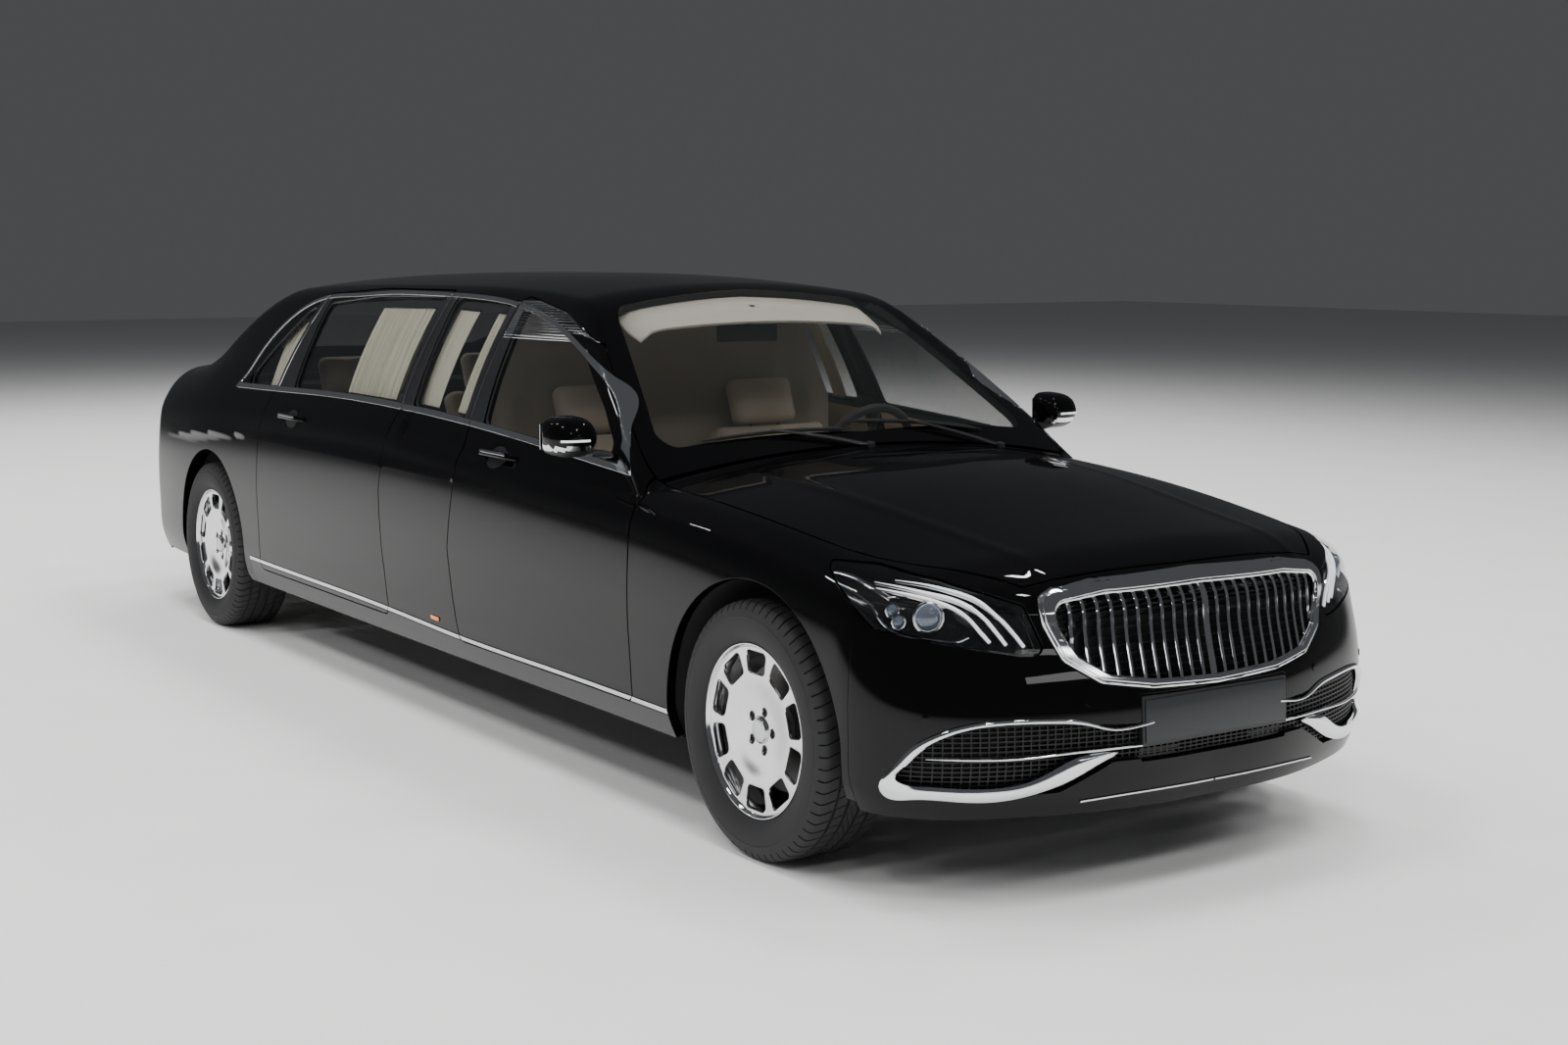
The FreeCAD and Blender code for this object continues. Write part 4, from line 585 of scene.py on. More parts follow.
def added(m, kind, values=None, joined=None, **settings):
    """A new shader node: its settings, the values of its inputs and the outputs joined to its inputs."""
    node = m.node_tree.nodes.new("ShaderNode" + kind)
    for key, value in settings.items():
        setattr(node, key, value)
    settle(node, values or {})
    for key, output in (joined or {}).items():
        m.node_tree.links.new(output, node.inputs[key])
    return node


def principled(m):
    return m.node_tree.nodes["Principled BSDF"]


def grained(m, height, strength, depth):
    """Raises a material's surface with the value of a node."""
    raised = added(m, "Bump", {"Strength": strength, "Distance": depth}, {"Height": height})
    m.node_tree.links.new(raised.outputs["Normal"], principled(m).inputs["Normal"])


def shader(name, base, rough=0.5, metal=0.0, coat=0.0, coat_rough=0.03, noise=40.0, spread=0.15, bump=0.0,
           rough_spread=0.1, sheen=0.0, ior=1.5, emission=0.0, stretch=(1, 1, 1), bump_noise=None, wear=None):
    """A principled material whose colour, roughness and surface vary with noise at a real scale."""
    m = bpy.data.materials.new(name)
    m.use_nodes = True
    p, link = principled(m), m.node_tree.links.new
    coords = added(m, "TexCoord")
    mapping = added(m, "Mapping", {"Scale": stretch}, {"Vector": coords.outputs["Object"]})
    texture = added(m, "TexNoise", {"Scale": noise, "Detail": 4.0}, {"Vector": mapping.outputs["Vector"]})
    ramp = added(m, "MapRange", {"To Min": 1.0 - spread, "To Max": 1.0 + spread},
                 {"Value": texture.outputs["Fac"]})
    tint = added(m, "VectorMath", {0: base[:3]}, {"Scale": ramp.outputs["Result"]}, operation="SCALE")
    colour = tint.outputs["Vector"]
    if wear:
        edge_colour, amount = wear
        geometry = added(m, "NewGeometry")
        edges = added(m, "MapRange", {"From Min": 0.52, "From Max": 0.60, "To Max": amount},
                      {"Value": geometry.outputs["Pointiness"]})
        mix = added(m, "Mix", {"B": (*edge_colour, 1.0)}, {"Factor": edges.outputs["Result"], "A": colour},
                    data_type="RGBA")
        colour = mix.outputs["Result"]
    link(colour, p.inputs["Base Color"])
    roughness = added(m, "MapRange", {"To Min": max(rough * (1 - rough_spread), 0.0),
                                      "To Max": min(rough * (1 + rough_spread), 1.0)},
                      {"Value": texture.outputs["Fac"]})
    link(roughness.outputs["Result"], p.inputs["Roughness"])
    settle(p, {"Metallic": metal, "Coat Weight": coat, "Coat IOR": 1.45, "Coat Roughness": coat_rough,
               "IOR": ior, "Sheen Weight": sheen})
    if emission:
        settle(p, {"Emission Color": (*base[:3], 1.0), "Emission Strength": emission})
    if bump:
        grain = added(m, "TexNoise", {"Scale": bump_noise or noise * 4, "Detail": 3.0},
                      {"Vector": mapping.outputs["Vector"]})
        grained(m, grain.outputs["Fac"], bump, 0.0006)
    return m


def leather(name, base, scale=260.0):
    """Leather: cells of grain, fine creases and a soft sheen."""
    m = shader(name, base, rough=0.48, noise=9.0, spread=0.10, rough_spread=0.18, sheen=0.12)
    coords = m.node_tree.nodes["Texture Coordinate"]
    cells = added(m, "TexVoronoi", {"Scale": scale}, {"Vector": coords.outputs["Object"]},
                  feature="DISTANCE_TO_EDGE")
    grained(m, cells.outputs["Distance"], 0.35, 0.0005)
    return m


def cloth(name, base):
    """Woven curtain cloth: a fine warp and weft over a soft sheen."""
    m = shader(name, base, rough=0.9, noise=14.0, spread=0.08, sheen=0.1)
    coords = m.node_tree.nodes["Texture Coordinate"]
    waves = [added(m, "TexWave", {"Scale": 420.0}, {"Vector": coords.outputs["Object"]},
                   bands_direction=direction) for direction in ("X", "Z")]
    both = added(m, "Math", None, {k: wave.outputs["Fac"] for k, wave in enumerate(waves)},
                 operation="MAXIMUM")
    grained(m, both.outputs["Value"], 0.3, 0.0003)
    return m


def clear_glass(name, tint, see):
    """Thin glass: a dark tint that lets a share of the light through, under a sharp coat."""
    m = bpy.data.materials.new(name)
    m.use_nodes = True
    coords = added(m, "TexCoord")
    haze = added(m, "TexNoise", {"Scale": 3.0}, {"Vector": coords.outputs["Object"]})
    spread = added(m, "MapRange", {"To Min": 0.0, "To Max": 0.015}, {"Value": haze.outputs["Fac"]})
    m.node_tree.links.new(spread.outputs["Result"], principled(m).inputs["Roughness"])
    settle(principled(m), {"Base Color": (*tint, 1.0), "IOR": 1.45, "Alpha": 1.0 - see, "Coat Weight": 1.0,
                           "Coat Roughness": 0.0})
    return m


paint = shader("black_paint", (0.0010, 0.0010, 0.0012), rough=0.45, coat=0.62, coat_rough=0.0, noise=900.0,
               spread=0.35, rough_spread=0.2, ior=1.08)
sill_paint = shader("satin_sill", (0.012, 0.012, 0.013), rough=0.42, coat=0.25, coat_rough=0.2, noise=500.0,
                    bump=0.15, bump_noise=900.0)
chrome = shader("polished_chrome", (0.82, 0.83, 0.85), rough=0.07, metal=1.0, noise=30.0, spread=0.05,
                rough_spread=0.5)
brushed = shader("brushed_post", (0.22, 0.22, 0.225), rough=0.36, metal=1.0, noise=60.0, spread=0.16,
                 rough_spread=0.3, stretch=(14, 14, 0.4), bump=0.12, bump_noise=120.0)
glass = clear_glass("cabin_glass", (0.008, 0.010, 0.010), see=0.70)
screen_glass = clear_glass("windscreen_glass", (0.008, 0.010, 0.010), see=0.74)
lamp_glass = clear_glass("lamp_cover", (0.010, 0.011, 0.012), see=0.90)
alloy = shader("polished_wheel", (0.80, 0.80, 0.81), rough=0.11, metal=1.0, noise=70.0, spread=0.06,
               rough_spread=0.35, bump=0.05, bump_noise=300.0)
rubber = shader("tyre_rubber", (0.021, 0.021, 0.022), rough=0.72, noise=34.0, spread=0.3, bump=0.35,
                bump_noise=700.0, rough_spread=0.12)
black_plastic = shader("black_plastic", (0.012, 0.012, 0.013), rough=0.38, noise=200.0, spread=0.2, bump=0.2,
                       bump_noise=1400.0)
mesh_plastic = shader("dark_mesh", (0.006, 0.006, 0.007), rough=0.5, noise=120.0, spread=0.3, bump=0.15,
                      bump_noise=900.0)
under_coat = shader("underbody_coat", (0.022, 0.022, 0.024), rough=0.8, noise=26.0, spread=0.35, bump=0.5,
                    bump_noise=260.0)
cast = shader("cast_metal", (0.20, 0.20, 0.205), rough=0.55, metal=0.9, noise=46.0, spread=0.25, bump=0.6,
              bump_noise=420.0, wear=((0.5, 0.5, 0.5), 0.5))
steel = shader("forged_steel", (0.36, 0.36, 0.37), rough=0.38, metal=1.0, noise=80.0, spread=0.2, bump=0.2,
               bump_noise=300.0, wear=((0.6, 0.6, 0.6), 0.5))
exhaust = shader("stainless_pipe", (0.50, 0.46, 0.41), rough=0.3, metal=1.0, noise=16.0, spread=0.25,
                 bump=0.12, bump_noise=200.0)
beige = leather("beige_leather", (0.66, 0.57, 0.45))
cream = shader("head_lining", (0.66, 0.61, 0.53), rough=0.9, noise=60.0, spread=0.06, sheen=0.3, bump=0.3,
               bump_noise=900.0)
partition_leather = leather("partition_leather", (0.46, 0.40, 0.32), 220.0)
dark_trim = leather("dark_trim", (0.040, 0.036, 0.034), 300.0)
wheel_trim = leather("wheel_rim_leather", (0.035, 0.031, 0.030), 340.0)
curtain_cloth = cloth("curtain_cloth", (0.80, 0.78, 0.62))
tail_red = shader("red_lamp", (0.30, 0.008, 0.010), rough=0.10, coat=1.0, noise=50.0, spread=0.15)
white_plate = shader("plate_white", (0.80, 0.81, 0.80), rough=0.30, coat=0.6, noise=60.0, spread=0.03)
mirror_glass = shader("mirror_silver", (0.85, 0.87, 0.89), rough=0.02, metal=1.0, noise=10.0, spread=0.02)


# Outlines, as the source has them
def spot(share, tall_share):
    return (place(share), tall_share * HEIGHT)


def outline_of(shares):
    return [spot(s, t) for s, t in shares]


front_door_shares = [(0.856, 0.213), (0.8555, 0.245), (0.8525, 0.354), (0.851, 0.503), (0.8495, 0.585),
                     (0.838, 0.640), (0.822, 0.668), (0.782, 0.756), (0.718, 0.862), (0.650, 0.924),
                     (0.570, 0.957), (0.574, 0.700), (0.5795, 0.585), (0.5690, 0.410), (0.5760, 0.304),
                     (0.5865, 0.213)]
rear_door_shares = [(0.449, 0.213), (0.4375, 0.367), (0.4325, 0.503), (0.4385, 0.596), (0.445, 0.700),
                    (0.448, 0.9605), (0.300, 0.9570), (0.180, 0.938), (0.170, 0.860), (0.153, 0.690),
                    (0.1435, 0.590), (0.1405, 0.426), (0.142, 0.213)]
front_glass_shares = [(0.813, 0.643), (0.700, 0.668), (0.5975, 0.682), (0.582, 0.944), (0.640, 0.912),
                      (0.712, 0.838), (0.766, 0.745)]
middle_glass_shares = [(0.5645, 0.688), (0.4655, 0.697), (0.4575, 0.949), (0.5590, 0.944)]
rear_glass_shares = [(0.4375, 0.698), (0.312, 0.699), (0.193, 0.692), (0.189, 0.916), (0.300, 0.942),
                     (0.4385, 0.949)]
quarter_glass_shares = [(0.147, 0.690), (0.052, 0.680), (0.104, 0.800), (0.148, 0.893), (0.170, 0.911)]
fender_shares = [(0.8572, 0.205), (0.8555, 0.245), (0.8525, 0.354), (0.851, 0.503), (0.8495, 0.585),
                 (0.838, 0.640), (0.829, 0.656)]


def eased(shares):
    middle = sum(s for s, _ in shares) / len(shares)
    return [(s + 0.0052 * max(t - 0.662, 0) if s < middle else s, t) for s, t in shares]


def from_top(line):
    line = np.asarray(line, float)
    start = columns_of(line[:, 0], line[:, 1], CORE_Z)
    return leave(start, [0.0, 0.0, 1.0])


def ramp(value, start, end):
    part = np.clip((value - start) / (end - start), 0, 1)
    return part * part * (3 - 2 * part)


BONNET_HALF = 0.842 * HALF
BOOT_HALF = 0.61 * HALF
ROOF_FRONT = SCREEN_X - 0.003 * LENGTH
ROOF_REAR = BACK_X + 0.006 * LENGTH
QUARTER_END = place(-0.71)
FENDER_END = place(1.52)
BONNET_REAR = SCREEN_X - 0.001 * LENGTH


def seam_table():
    """Half-width of the seam between the side walls and what lies between them on top, along the car."""
    xs = np.linspace(QUARTER_END - 300, BONNET_REAR + 200, 330)
    held = np.clip(xs, BACK_X, SCREEN_X)
    corner = np.full(len(xs), 0.70 * HALF)
    for _ in range(8):
        tops = from_top(columns_of(held, corner))[:, 2]
        corner = 0.5 * corner + 0.5 * (cabin_side(held, tops) - 0.006 * HALF)
    into_bonnet = ramp(xs, SCREEN_X - 0.022 * LENGTH, SCREEN_X + 0.006 * LENGTH)
    into_boot = ramp(xs, BACK_X + 0.045 * LENGTH, BACK_X + 0.006 * LENGTH)
    middle = corner - 0.042 * HALF
    ys = middle + (BONNET_HALF - middle) * into_bonnet
    return xs, ys + (BOOT_HALF - ys) * into_boot


SEAM_XS, SEAM_YS = seam_table()


def seam_y(x):
    return np.interp(x, SEAM_XS, SEAM_YS)


bonnet_plan = curve([(0.0, 0.836), (0.35, 0.832), (0.62, 0.812), (0.80, 0.755), (0.92, 0.655), (1.0, 0.560)])


def bonnet_edge(margin):
    """The bonnet's closed outline in plan, grown by a margin."""
    right = []
    for part in np.linspace(0, 1, 60):
        nose_x = LENGTH * (0.4775 - 0.0066) + margin
        x = BONNET_REAR - margin + (nose_x - BONNET_REAR + margin) * part
        right.append((x, -(float(bonnet_plan(part)) * HALF + margin)))
    front = []
    wide = float(bonnet_plan(1.0)) * HALF + margin
    for share in np.linspace(-1, 1, 30)[1:-1]:
        front.append((LENGTH * (0.4775 - 0.0066 * share * share) + margin, share * wide))
    left = [(x, -y) for x, y in reversed(right)]
    return dense(right + front + left, 12.0)


# Outlines on the form, in three dimensions
def side_points(points):
    """Points on the right-hand skin at (x, z) places seen from the side."""
    points = np.asarray(points, float)
    start = columns_of(points[:, 0], -CORE_Y, points[:, 1])
    return leave(start, [0.0, -1.0, 0.0])


def wall_line(first, last, margin, low=SILL):
    """The right-hand wall's outline: the sill, and above it the seam with the roof, boot lid and bonnet."""
    xs = np.linspace(first, last, max(int((last - first) / 20), 3))
    bottom = side_points(columns_of(xs, low))
    xs = np.linspace(last, first, max(int((last - first) / 10), 8))
    part = np.maximum((xs - BONNET_REAR) / (LENGTH * (0.4775 - 0.0066) - BONNET_REAR), 0)
    y = np.where(xs < BONNET_REAR - SHUT, seam_y(xs) + margin, bonnet_plan(part) * HALF + SHUT)
    y = np.where(xs < ROOF_REAR, BOOT_HALF, y)
    tops = from_top(columns_of(xs, -y))
    return dense(list(bottom) + list(side_edge(last, bottom[-1], tops[0])) + list(tops)
                 + list(side_edge(first, tops[-1], bottom[0])), 10.0)


def side_edge(x, start, end):
    """Points on the wall along one X place between two of its points."""
    a = Side.flat(np.array([start]))[0][1]
    b = Side.flat(np.array([end]))[0][1]
    vs = np.linspace(a, b, 40)[1:-1]
    return on_form(Side, columns_of(x, vs))


def circle(x, z, radius, count=120):
    turn = np.linspace(0, 2 * np.pi, count, endpoint=False)
    return columns_of(x + radius * np.cos(turn), z + radius * np.sin(turn))


arch_lines = []
for axle in (FRONT_X, REAR_X):
    ring = circle(axle, TYRE, ARCH)
    arch_lines.append(leave(columns_of(ring[:, 0], -CORE_Y, ring[:, 1]),
                            [0, -1.0, 0]))
window_lines = {name: from_side(outline_of(shares)) for name, shares in (
    ("front", front_glass_shares), ("middle", middle_glass_shares), ("rear", rear_glass_shares),
    ("quarter", quarter_glass_shares))}


def mirrored_outline(shares):
    right = [(a * LENGTH, -b * HALF) for a, b in shares]
    return right + [(x, -y) for x, y in reversed(right) if y]


screen_shares = [(0.251, 0.0), (0.2445, 0.735), (0.235, 0.765), (0.158, 0.600), (0.146, 0.56), (0.138, 0.0)]
rear_screen_shares = [(-0.377, 0.0), (-0.370, 0.555), (-0.358, 0.605), (-0.312, 0.590), (-0.302, 0.55),
                      (-0.296, 0.0)]
screen_plan = dense(rounded(mirrored_outline(screen_shares), 3 * SMALL), 12.0)
rear_screen_plan = dense(rounded(mirrored_outline(rear_screen_shares), 3 * SMALL), 12.0)
bonnet_hole = from_top(bonnet_edge(SHUT))
lamp_shares = [(0.1934, 0.548), (0.2163, 0.5475), (0.2419, 0.5330), (0.2624, 0.5125), (0.2760, 0.4950),
               (0.2854, 0.4151), (0.2750, 0.4172), (0.2448, 0.4401), (0.2173, 0.4587), (0.2071, 0.4962),
               (0.1983, 0.5249)]
lamp_outline = [(s * LENGTH, t * HEIGHT) for s, t in lamp_shares]
lamp_hole = from_slant(lamp_outline, 1, SHUT / 2)
tail_lamp_shares = [(0.2265, 0.548), (0.240, 0.584), (0.2835, 0.580), (0.2835, 0.440), (0.262, 0.430),
                    (0.238, 0.480)]
tail_lamp_outline = [(s * LENGTH, t * HEIGHT) for s, t in tail_lamp_shares]
surround_shares = [(0.0, 0.5345), (0.37, 0.5290), (0.50, 0.5180), (0.555, 0.5060), (0.548, 0.4650),
                   (0.50, 0.4029), (0.40, 0.3650), (0.24, 0.3500), (0.0, 0.3440)]
inside_shares = [(0.0, 0.5090), (0.35, 0.5060), (0.485, 0.4960), (0.507, 0.4850), (0.500, 0.4600),
                 (0.455, 0.4120), (0.370, 0.3800), (0.22, 0.3660), (0.0, 0.3610)]
intake_shares = [(0.140, 0.2900), (0.400, 0.3000), (0.700, 0.3080), (0.850, 0.2900), (0.915, 0.2200),
                 (0.900, 0.1900), (0.700, 0.1880), (0.520, 0.1930), (0.370, 0.2380), (0.140, 0.2380)]


def front_outline(shares):
    right = [(-a * HALF, b * HEIGHT) for a, b in shares]
    return right + [(-y, z) for y, z in reversed(right) if y]


surround_hole = from_front(front_outline(surround_shares), 0.3)
inside_line = from_front(front_outline(inside_shares))
intake_outline = [(-a * HALF, b * HEIGHT) for a, b in intake_shares]
intake_line = from_front(intake_outline, 0, SMALL)


def across(line):
    return line * np.array([1.0, -1.0, 1.0])


def wall_thickness(p):
    z, edge = p[:, 2], belt_line(p[:, 0])
    part = np.clip((z - edge + 56.0) / 84.0, 0, 1)
    return 61.0 + (27.0 - 61.0) * part * part * (3 - 2 * part)


# Panels of the right-hand wall, and their mirror images
front_shut = from_side(outline_of(front_door_shares), SHUT)
rear_shut = from_side(outline_of(rear_door_shares), SHUT)
front_leaf = from_side(outline_of(eased(front_door_shares)))
rear_leaf = from_side(outline_of(eased(rear_door_shares)))
fender_side = outline_of(fender_shares)
fender_top_x = place(0.829)
fender_low = Side.flat(side_points(fender_side))
fender_keep = np.concatenate([fender_low, [(fender_top_x, 900.0), (FENDER_END + 200, 900.0),
                                           (FENDER_END + 200, -560.0), (fender_low[0][0], -560.0)]])
fender_keep = dense(fender_keep, 12.0)
all_windows = list(window_lines.values())
wall_right = {}
wall_right["front_fender_right"] = skin(
    Side, [wall_line(1500, FENDER_END, SHUT), fender_keep], [front_shut, arch_lines[0], lamp_hole],
    thickness=30.0)
wall_right["front_door_right"] = skin(
    Side, [wall_line(300, 2100, SHUT), front_leaf], [window_lines["front"], arch_lines[0]],
    thickness=wall_thickness)
wall_right["rear_door_right"] = skin(
    Side, [wall_line(-1600, 100, SHUT), rear_leaf], [window_lines["rear"]], thickness=wall_thickness)
wall_right["side_frame_right"] = skin(
    Side, [wall_line(QUARTER_END, 2000, 0.3)],
    [front_shut, rear_shut, grown(fender_keep, 0.3), arch_lines[1]] + all_windows + [bonnet_hole],
    thickness=wall_thickness, edge=1.0)
for name, data in wall_right.items():
    body = name + "_unit" if "door" in name else "body_shell"
    paired("skin_" + name, data, paint, body, [name])


# Roof, bonnet, boot lid and bumpers
roof_right = [(x, -seam_y(x)) for x in np.linspace(ROOF_REAR, ROOF_FRONT, 110)]
roof_plan = dense(roof_right + [(x, -y) for x, y in reversed(roof_right)], 12.0)
roof_data = skin(Top, [from_top(roof_plan)], [from_top(screen_plan), from_top(rear_screen_plan)],
                 spacing=(24.0, 22.0), thickness=29.0, edge=0.4)
panel("skin_roof", roof_data, paint, "body_shell", ["roof_panel"])
bonnet_data = skin(Top, [from_top(bonnet_edge(0.0))], [], spacing=(22.0, 18.0), thickness=23.0, edge=2.0)
panel("skin_bonnet", bonnet_data, paint, "bonnet_unit", ["bonnet"])

LID_TOP_X = ROOF_REAR - 0.002 * LENGTH
LID_HALF = BOOT_HALF - SHUT


def lid_angle(x, z):
    return math.atan2(z - LID_Z, LID_X - x)


lid_top = list(Lid.flat(from_top([(LID_TOP_X, y) for y in np.linspace(-LID_HALF, LID_HALF, 24)])))
lid_foot_angle = lid_angle(-LENGTH / 2, 0.395 * HEIGHT)
lid_foot = [(Lid.reach * lid_foot_angle, y) for y in np.linspace(LID_HALF, -LID_HALF, 24)]
lid_flat = dense([np.array(p) for p in list(lid_top) + lid_foot], 12.0)
lid_data = skin(Lid, [lid_flat], [], spacing=(16.0, 22.0), thickness=30.0, edge=2.0)
panel("skin_boot_lid", lid_data, paint, "boot_lid_unit", ["boot_lid"])
LID_LOW = float(on_form(Lid, np.array(lid_foot))[:, 2].min())
TAIL_TOP = LID_LOW - SHUT

BUMPER_LOW = 0.150 * HEIGHT
NOSE_TOP = 0.558 * HEIGHT


def cap_outline(layout, x, top_at):
    """The closed outline of a bumper that wraps round one end of the car, in flat coordinates."""
    low = layout.flat(side_points([(x, z) for z in np.linspace(BUMPER_LOW, 0.5 * HEIGHT, 30)]))
    right = [(u, v) for u, v in low if v < top_at(u / layout.reach)]
    edge_u = right[-1][0]
    right.append((edge_u, top_at(edge_u / layout.reach)))
    if edge_u > 0:
        right = [(-u, v) for u, v in right]
        edge_u = -edge_u
    tops = [(u, top_at(u / layout.reach)) for u in np.linspace(edge_u, -edge_u, 60)]
    left = [(-u, v) for u, v in reversed(right)]
    return dense([np.array(p) for p in right + tops[1:-1] + left], 12.0)


nose_keep = cap_outline(Nose, FENDER_END + 0.3, lambda b: NOSE_TOP)
intake_pair = [intake_line, across(intake_line)]
plate_room = [(-268, 372), (268, 372), (268, 548), (-268, 548)]
plate_hole = from_front(plate_room, 0, 6.0)
bumper_data = skin(Nose, [nose_keep], [bonnet_hole, surround_hole, lamp_hole, across(lamp_hole),
                                       plate_hole] + intake_pair,
                   spacing=(20.0, 12.0), thickness=38.0, edge=2.0)
panel("skin_front_bumper", bumper_data, paint, "body_shell", ["front_bumper"])
tail_keep = cap_outline(Tail, QUARTER_END - 0.3, lambda b: TAIL_TOP)
tail_data = skin(Tail, [tail_keep], [], spacing=(22.0, 13.0), thickness=38.0, edge=2.0)
panel("skin_rear_bumper", tail_data, paint, "body_shell", ["rear_bumper"])

corner_low = TAIL_TOP + SHUT
quarter_low = leave([[QUARTER_END, -CORE_Y, corner_low]], [[0, -1.0, 0]])[0]
quarter_high = from_top([(QUARTER_END, -BOOT_HALF)])[0]
deck_angles = np.linspace(lid_angle(quarter_high[0], quarter_high[2]), lid_foot_angle, 60)
deck_edge = on_form(Lid, columns_of(Lid.reach * deck_angles, -BOOT_HALF))
deck_edge = deck_edge[(deck_edge[:, 2] > corner_low) & (deck_edge[:, 0] < QUARTER_END)]
last = Tail.flat(deck_edge[-1:])[0][0]
first = Tail.flat(quarter_low[None])[0][0]
foot_edge = on_form(Tail, columns_of(np.linspace(last, first, 50), corner_low))
corner_line = dense([quarter_low] + list(side_edge(QUARTER_END, quarter_low, quarter_high)) + [quarter_high]
                    + list(deck_edge) + list(foot_edge[:-1]), 9.0)
tail_lamp_line = from_slant(tail_lamp_outline, -1)
corner_data = skin(Corner, [corner_line], [tail_lamp_line], spacing=(12.0, 12.0), thickness=30.0, edge=1.0)
paired("skin_rear_corner_right", corner_data, paint, "body_shell")
tail_lamp_data = skin(Corner, [corner_line, from_slant(tail_lamp_outline, -1, -0.6)], [],
                      spacing=(10.0, 10.0), thickness=30.0, edge=1.5, lift=1.0)
panel("tail_lamp_right", tail_lamp_data, tail_red, "body_shell", ["tail_lamps"])
panel("tail_lamp_left", flipped(tail_lamp_data), tail_red, "body_shell")

# Glass
screen_data = skin(Top, [from_top(grown(screen_plan, -0.4))], [], spacing=(26.0, 26.0), thickness=4.8,
                   edge=0.8)
panel("glass_windscreen", screen_data, screen_glass, "body_shell", ["windscreen"])
back_data = skin(Top, [from_top(grown(rear_screen_plan, -0.4))], [], spacing=(26.0, 26.0), thickness=4.8,
                 edge=0.8)
panel("glass_rear_window", back_data, glass, "body_shell", ["rear_window"])


def pane(shares):
    """A side pane at its depth under the skin, inside a window's outline."""
    line = dense(grown(rounded(outline_of(shares), 2 * SMALL), -0.4), 9.0)
    low, high = line.min(axis=0), line.max(axis=0)
    grid = np.stack(np.meshgrid(np.arange(low[0], high[0], 40.0), np.arange(low[1], high[1], 30.0)),
                    -1).reshape(-1, 2)
    grid = grid[within(grid, grown(line, -10.0))]
    points = [Vector(p) for p in line] + [Vector(p) for p in grid]
    edges = [(i, (i + 1) % len(line)) for i in range(len(line))]
    flat, _, faces, _, _, _ = delaunay_2d_cdt(points, edges, [], 1, 0.01)
    flat = np.array([tuple(p) for p in flat])
    x, z = flat[:, 0], flat[:, 1]
    outer = columns_of(x, -(cabin_side(x, z) - 12.5), z)
    dx = (cabin_side(x + 1, z) - cabin_side(x - 1, z)) / 2
    dz = (cabin_side(x, z + 1) - cabin_side(x, z - 1)) / 2
    n = columns_of(-dx, -np.ones(len(x)), -dz)
    n /= np.linalg.norm(n, axis=1)[:, None]
    faces = np.array([tuple(f) for f in faces])
    a, b, c = outer[faces[:, 0]], outer[faces[:, 1]], outer[faces[:, 2]]
    facing = np.sum(np.cross(b - a, c - a) * n[faces[:, 0]], axis=1)
    faces = np.where((facing < 0)[:, None], faces[:, ::-1], faces)
    return shell(outer, faces, n, 4.2, 0.5)


for key, shares, body, node in (
        ("front_door", front_glass_shares, "front_door_right_unit", "front_door_glass_right"),
        ("rear_door", rear_glass_shares, "rear_door_right_unit", "rear_door_glass_right"),
        ("middle", middle_glass_shares, "body_shell", "fixed_side_windows"),
        ("quarter", quarter_glass_shares, "body_shell", "fixed_side_windows")):
    paired("pane_%s_right" % key, pane(shares), glass, body, [node])


# Trim that follows the form
def sweep(path, up, profile, closed=False):
    """Points and faces of a profile carried along a path. Profile points are (across, up), anticlockwise."""
    path, up = np.asarray(path, float), np.asarray(up, float)
    if closed:
        ahead = np.roll(path, -1, axis=0) - np.roll(path, 1, axis=0)
    else:
        ahead = np.gradient(path, axis=0)
    ahead /= np.linalg.norm(ahead, axis=1)[:, None]
    side = np.cross(up, ahead)
    side /= np.linalg.norm(side, axis=1)[:, None]
    up = np.cross(ahead, side)
    profile = np.asarray(profile, float)
    if profile.ndim == 2:
        profile = np.tile(profile, (len(path), 1, 1))
    verts = path[:, None] + profile[:, :, :1] * side[:, None] + profile[:, :, 1:] * up[:, None]
    shape = (len(path), profile.shape[1])
    faces = quads(*shape, ring=True, loop=closed) + ([] if closed else caps(*shape))
    return verts.reshape(-1, 3), turned_over(faces)


def merge(parts):
    """One set of points and faces from several."""
    verts, faces, first = [], [], 0
    for v, f in parts:
        verts.append(np.asarray(v, float))
        faces += [tuple(i + first for i in face) for face in f]
        first += len(v)
    return np.concatenate(verts), faces


def solid_piece(name, data, material, body, slot="bright_chrome", nodes=(), angle=35.0, pair=False):
    """A plain piece, sharp where its faces turn by more than an angle; pair adds its mirror image."""
    verts, faces = data
    obj = mesh_piece(name, verts, faces, material, body)
    bm = bmesh.new()
    bm.from_mesh(obj.data)
    bmesh.ops.recalc_face_normals(bm, faces=bm.faces)
    bm.to_mesh(obj.data)
    bm.free()
    obj.data.shade_smooth()
    obj.data.set_sharp_from_angle(angle=math.radians(angle))
    if nodes:
        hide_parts(*nodes)
    if pair:
        left = [lefty(n) for n in nodes]
        solid_piece(lefty(name), (np.asarray(verts) * [1, -1, 1], turned_over(faces)),
                    material, lefty(body), slot, left, angle)
    return obj


def oval(width, height, count=12, power=2.0):
    """A closed rounded profile, squarer with a higher power."""
    turn = np.linspace(0, 2 * np.pi, count, endpoint=False)
    c, s = np.cos(turn), np.sin(turn)
    x = np.sign(c) * np.abs(c) ** (2 / power) * width / 2
    y = np.sign(s) * np.abs(s) ** (2 / power) * height / 2
    return columns_of(x, y)


def smooth_line(points, count):
    """A smooth line through points, by the distance along them."""
    points = np.asarray(points, float)
    along_it = np.concatenate([[0], np.cumsum(np.linalg.norm(np.diff(points, axis=0), axis=1))])
    at = np.linspace(0, along_it[-1], count)
    return np.stack([curve(list(zip(along_it, points[:, i])))(at) for i in range(points.shape[1])], axis=1)


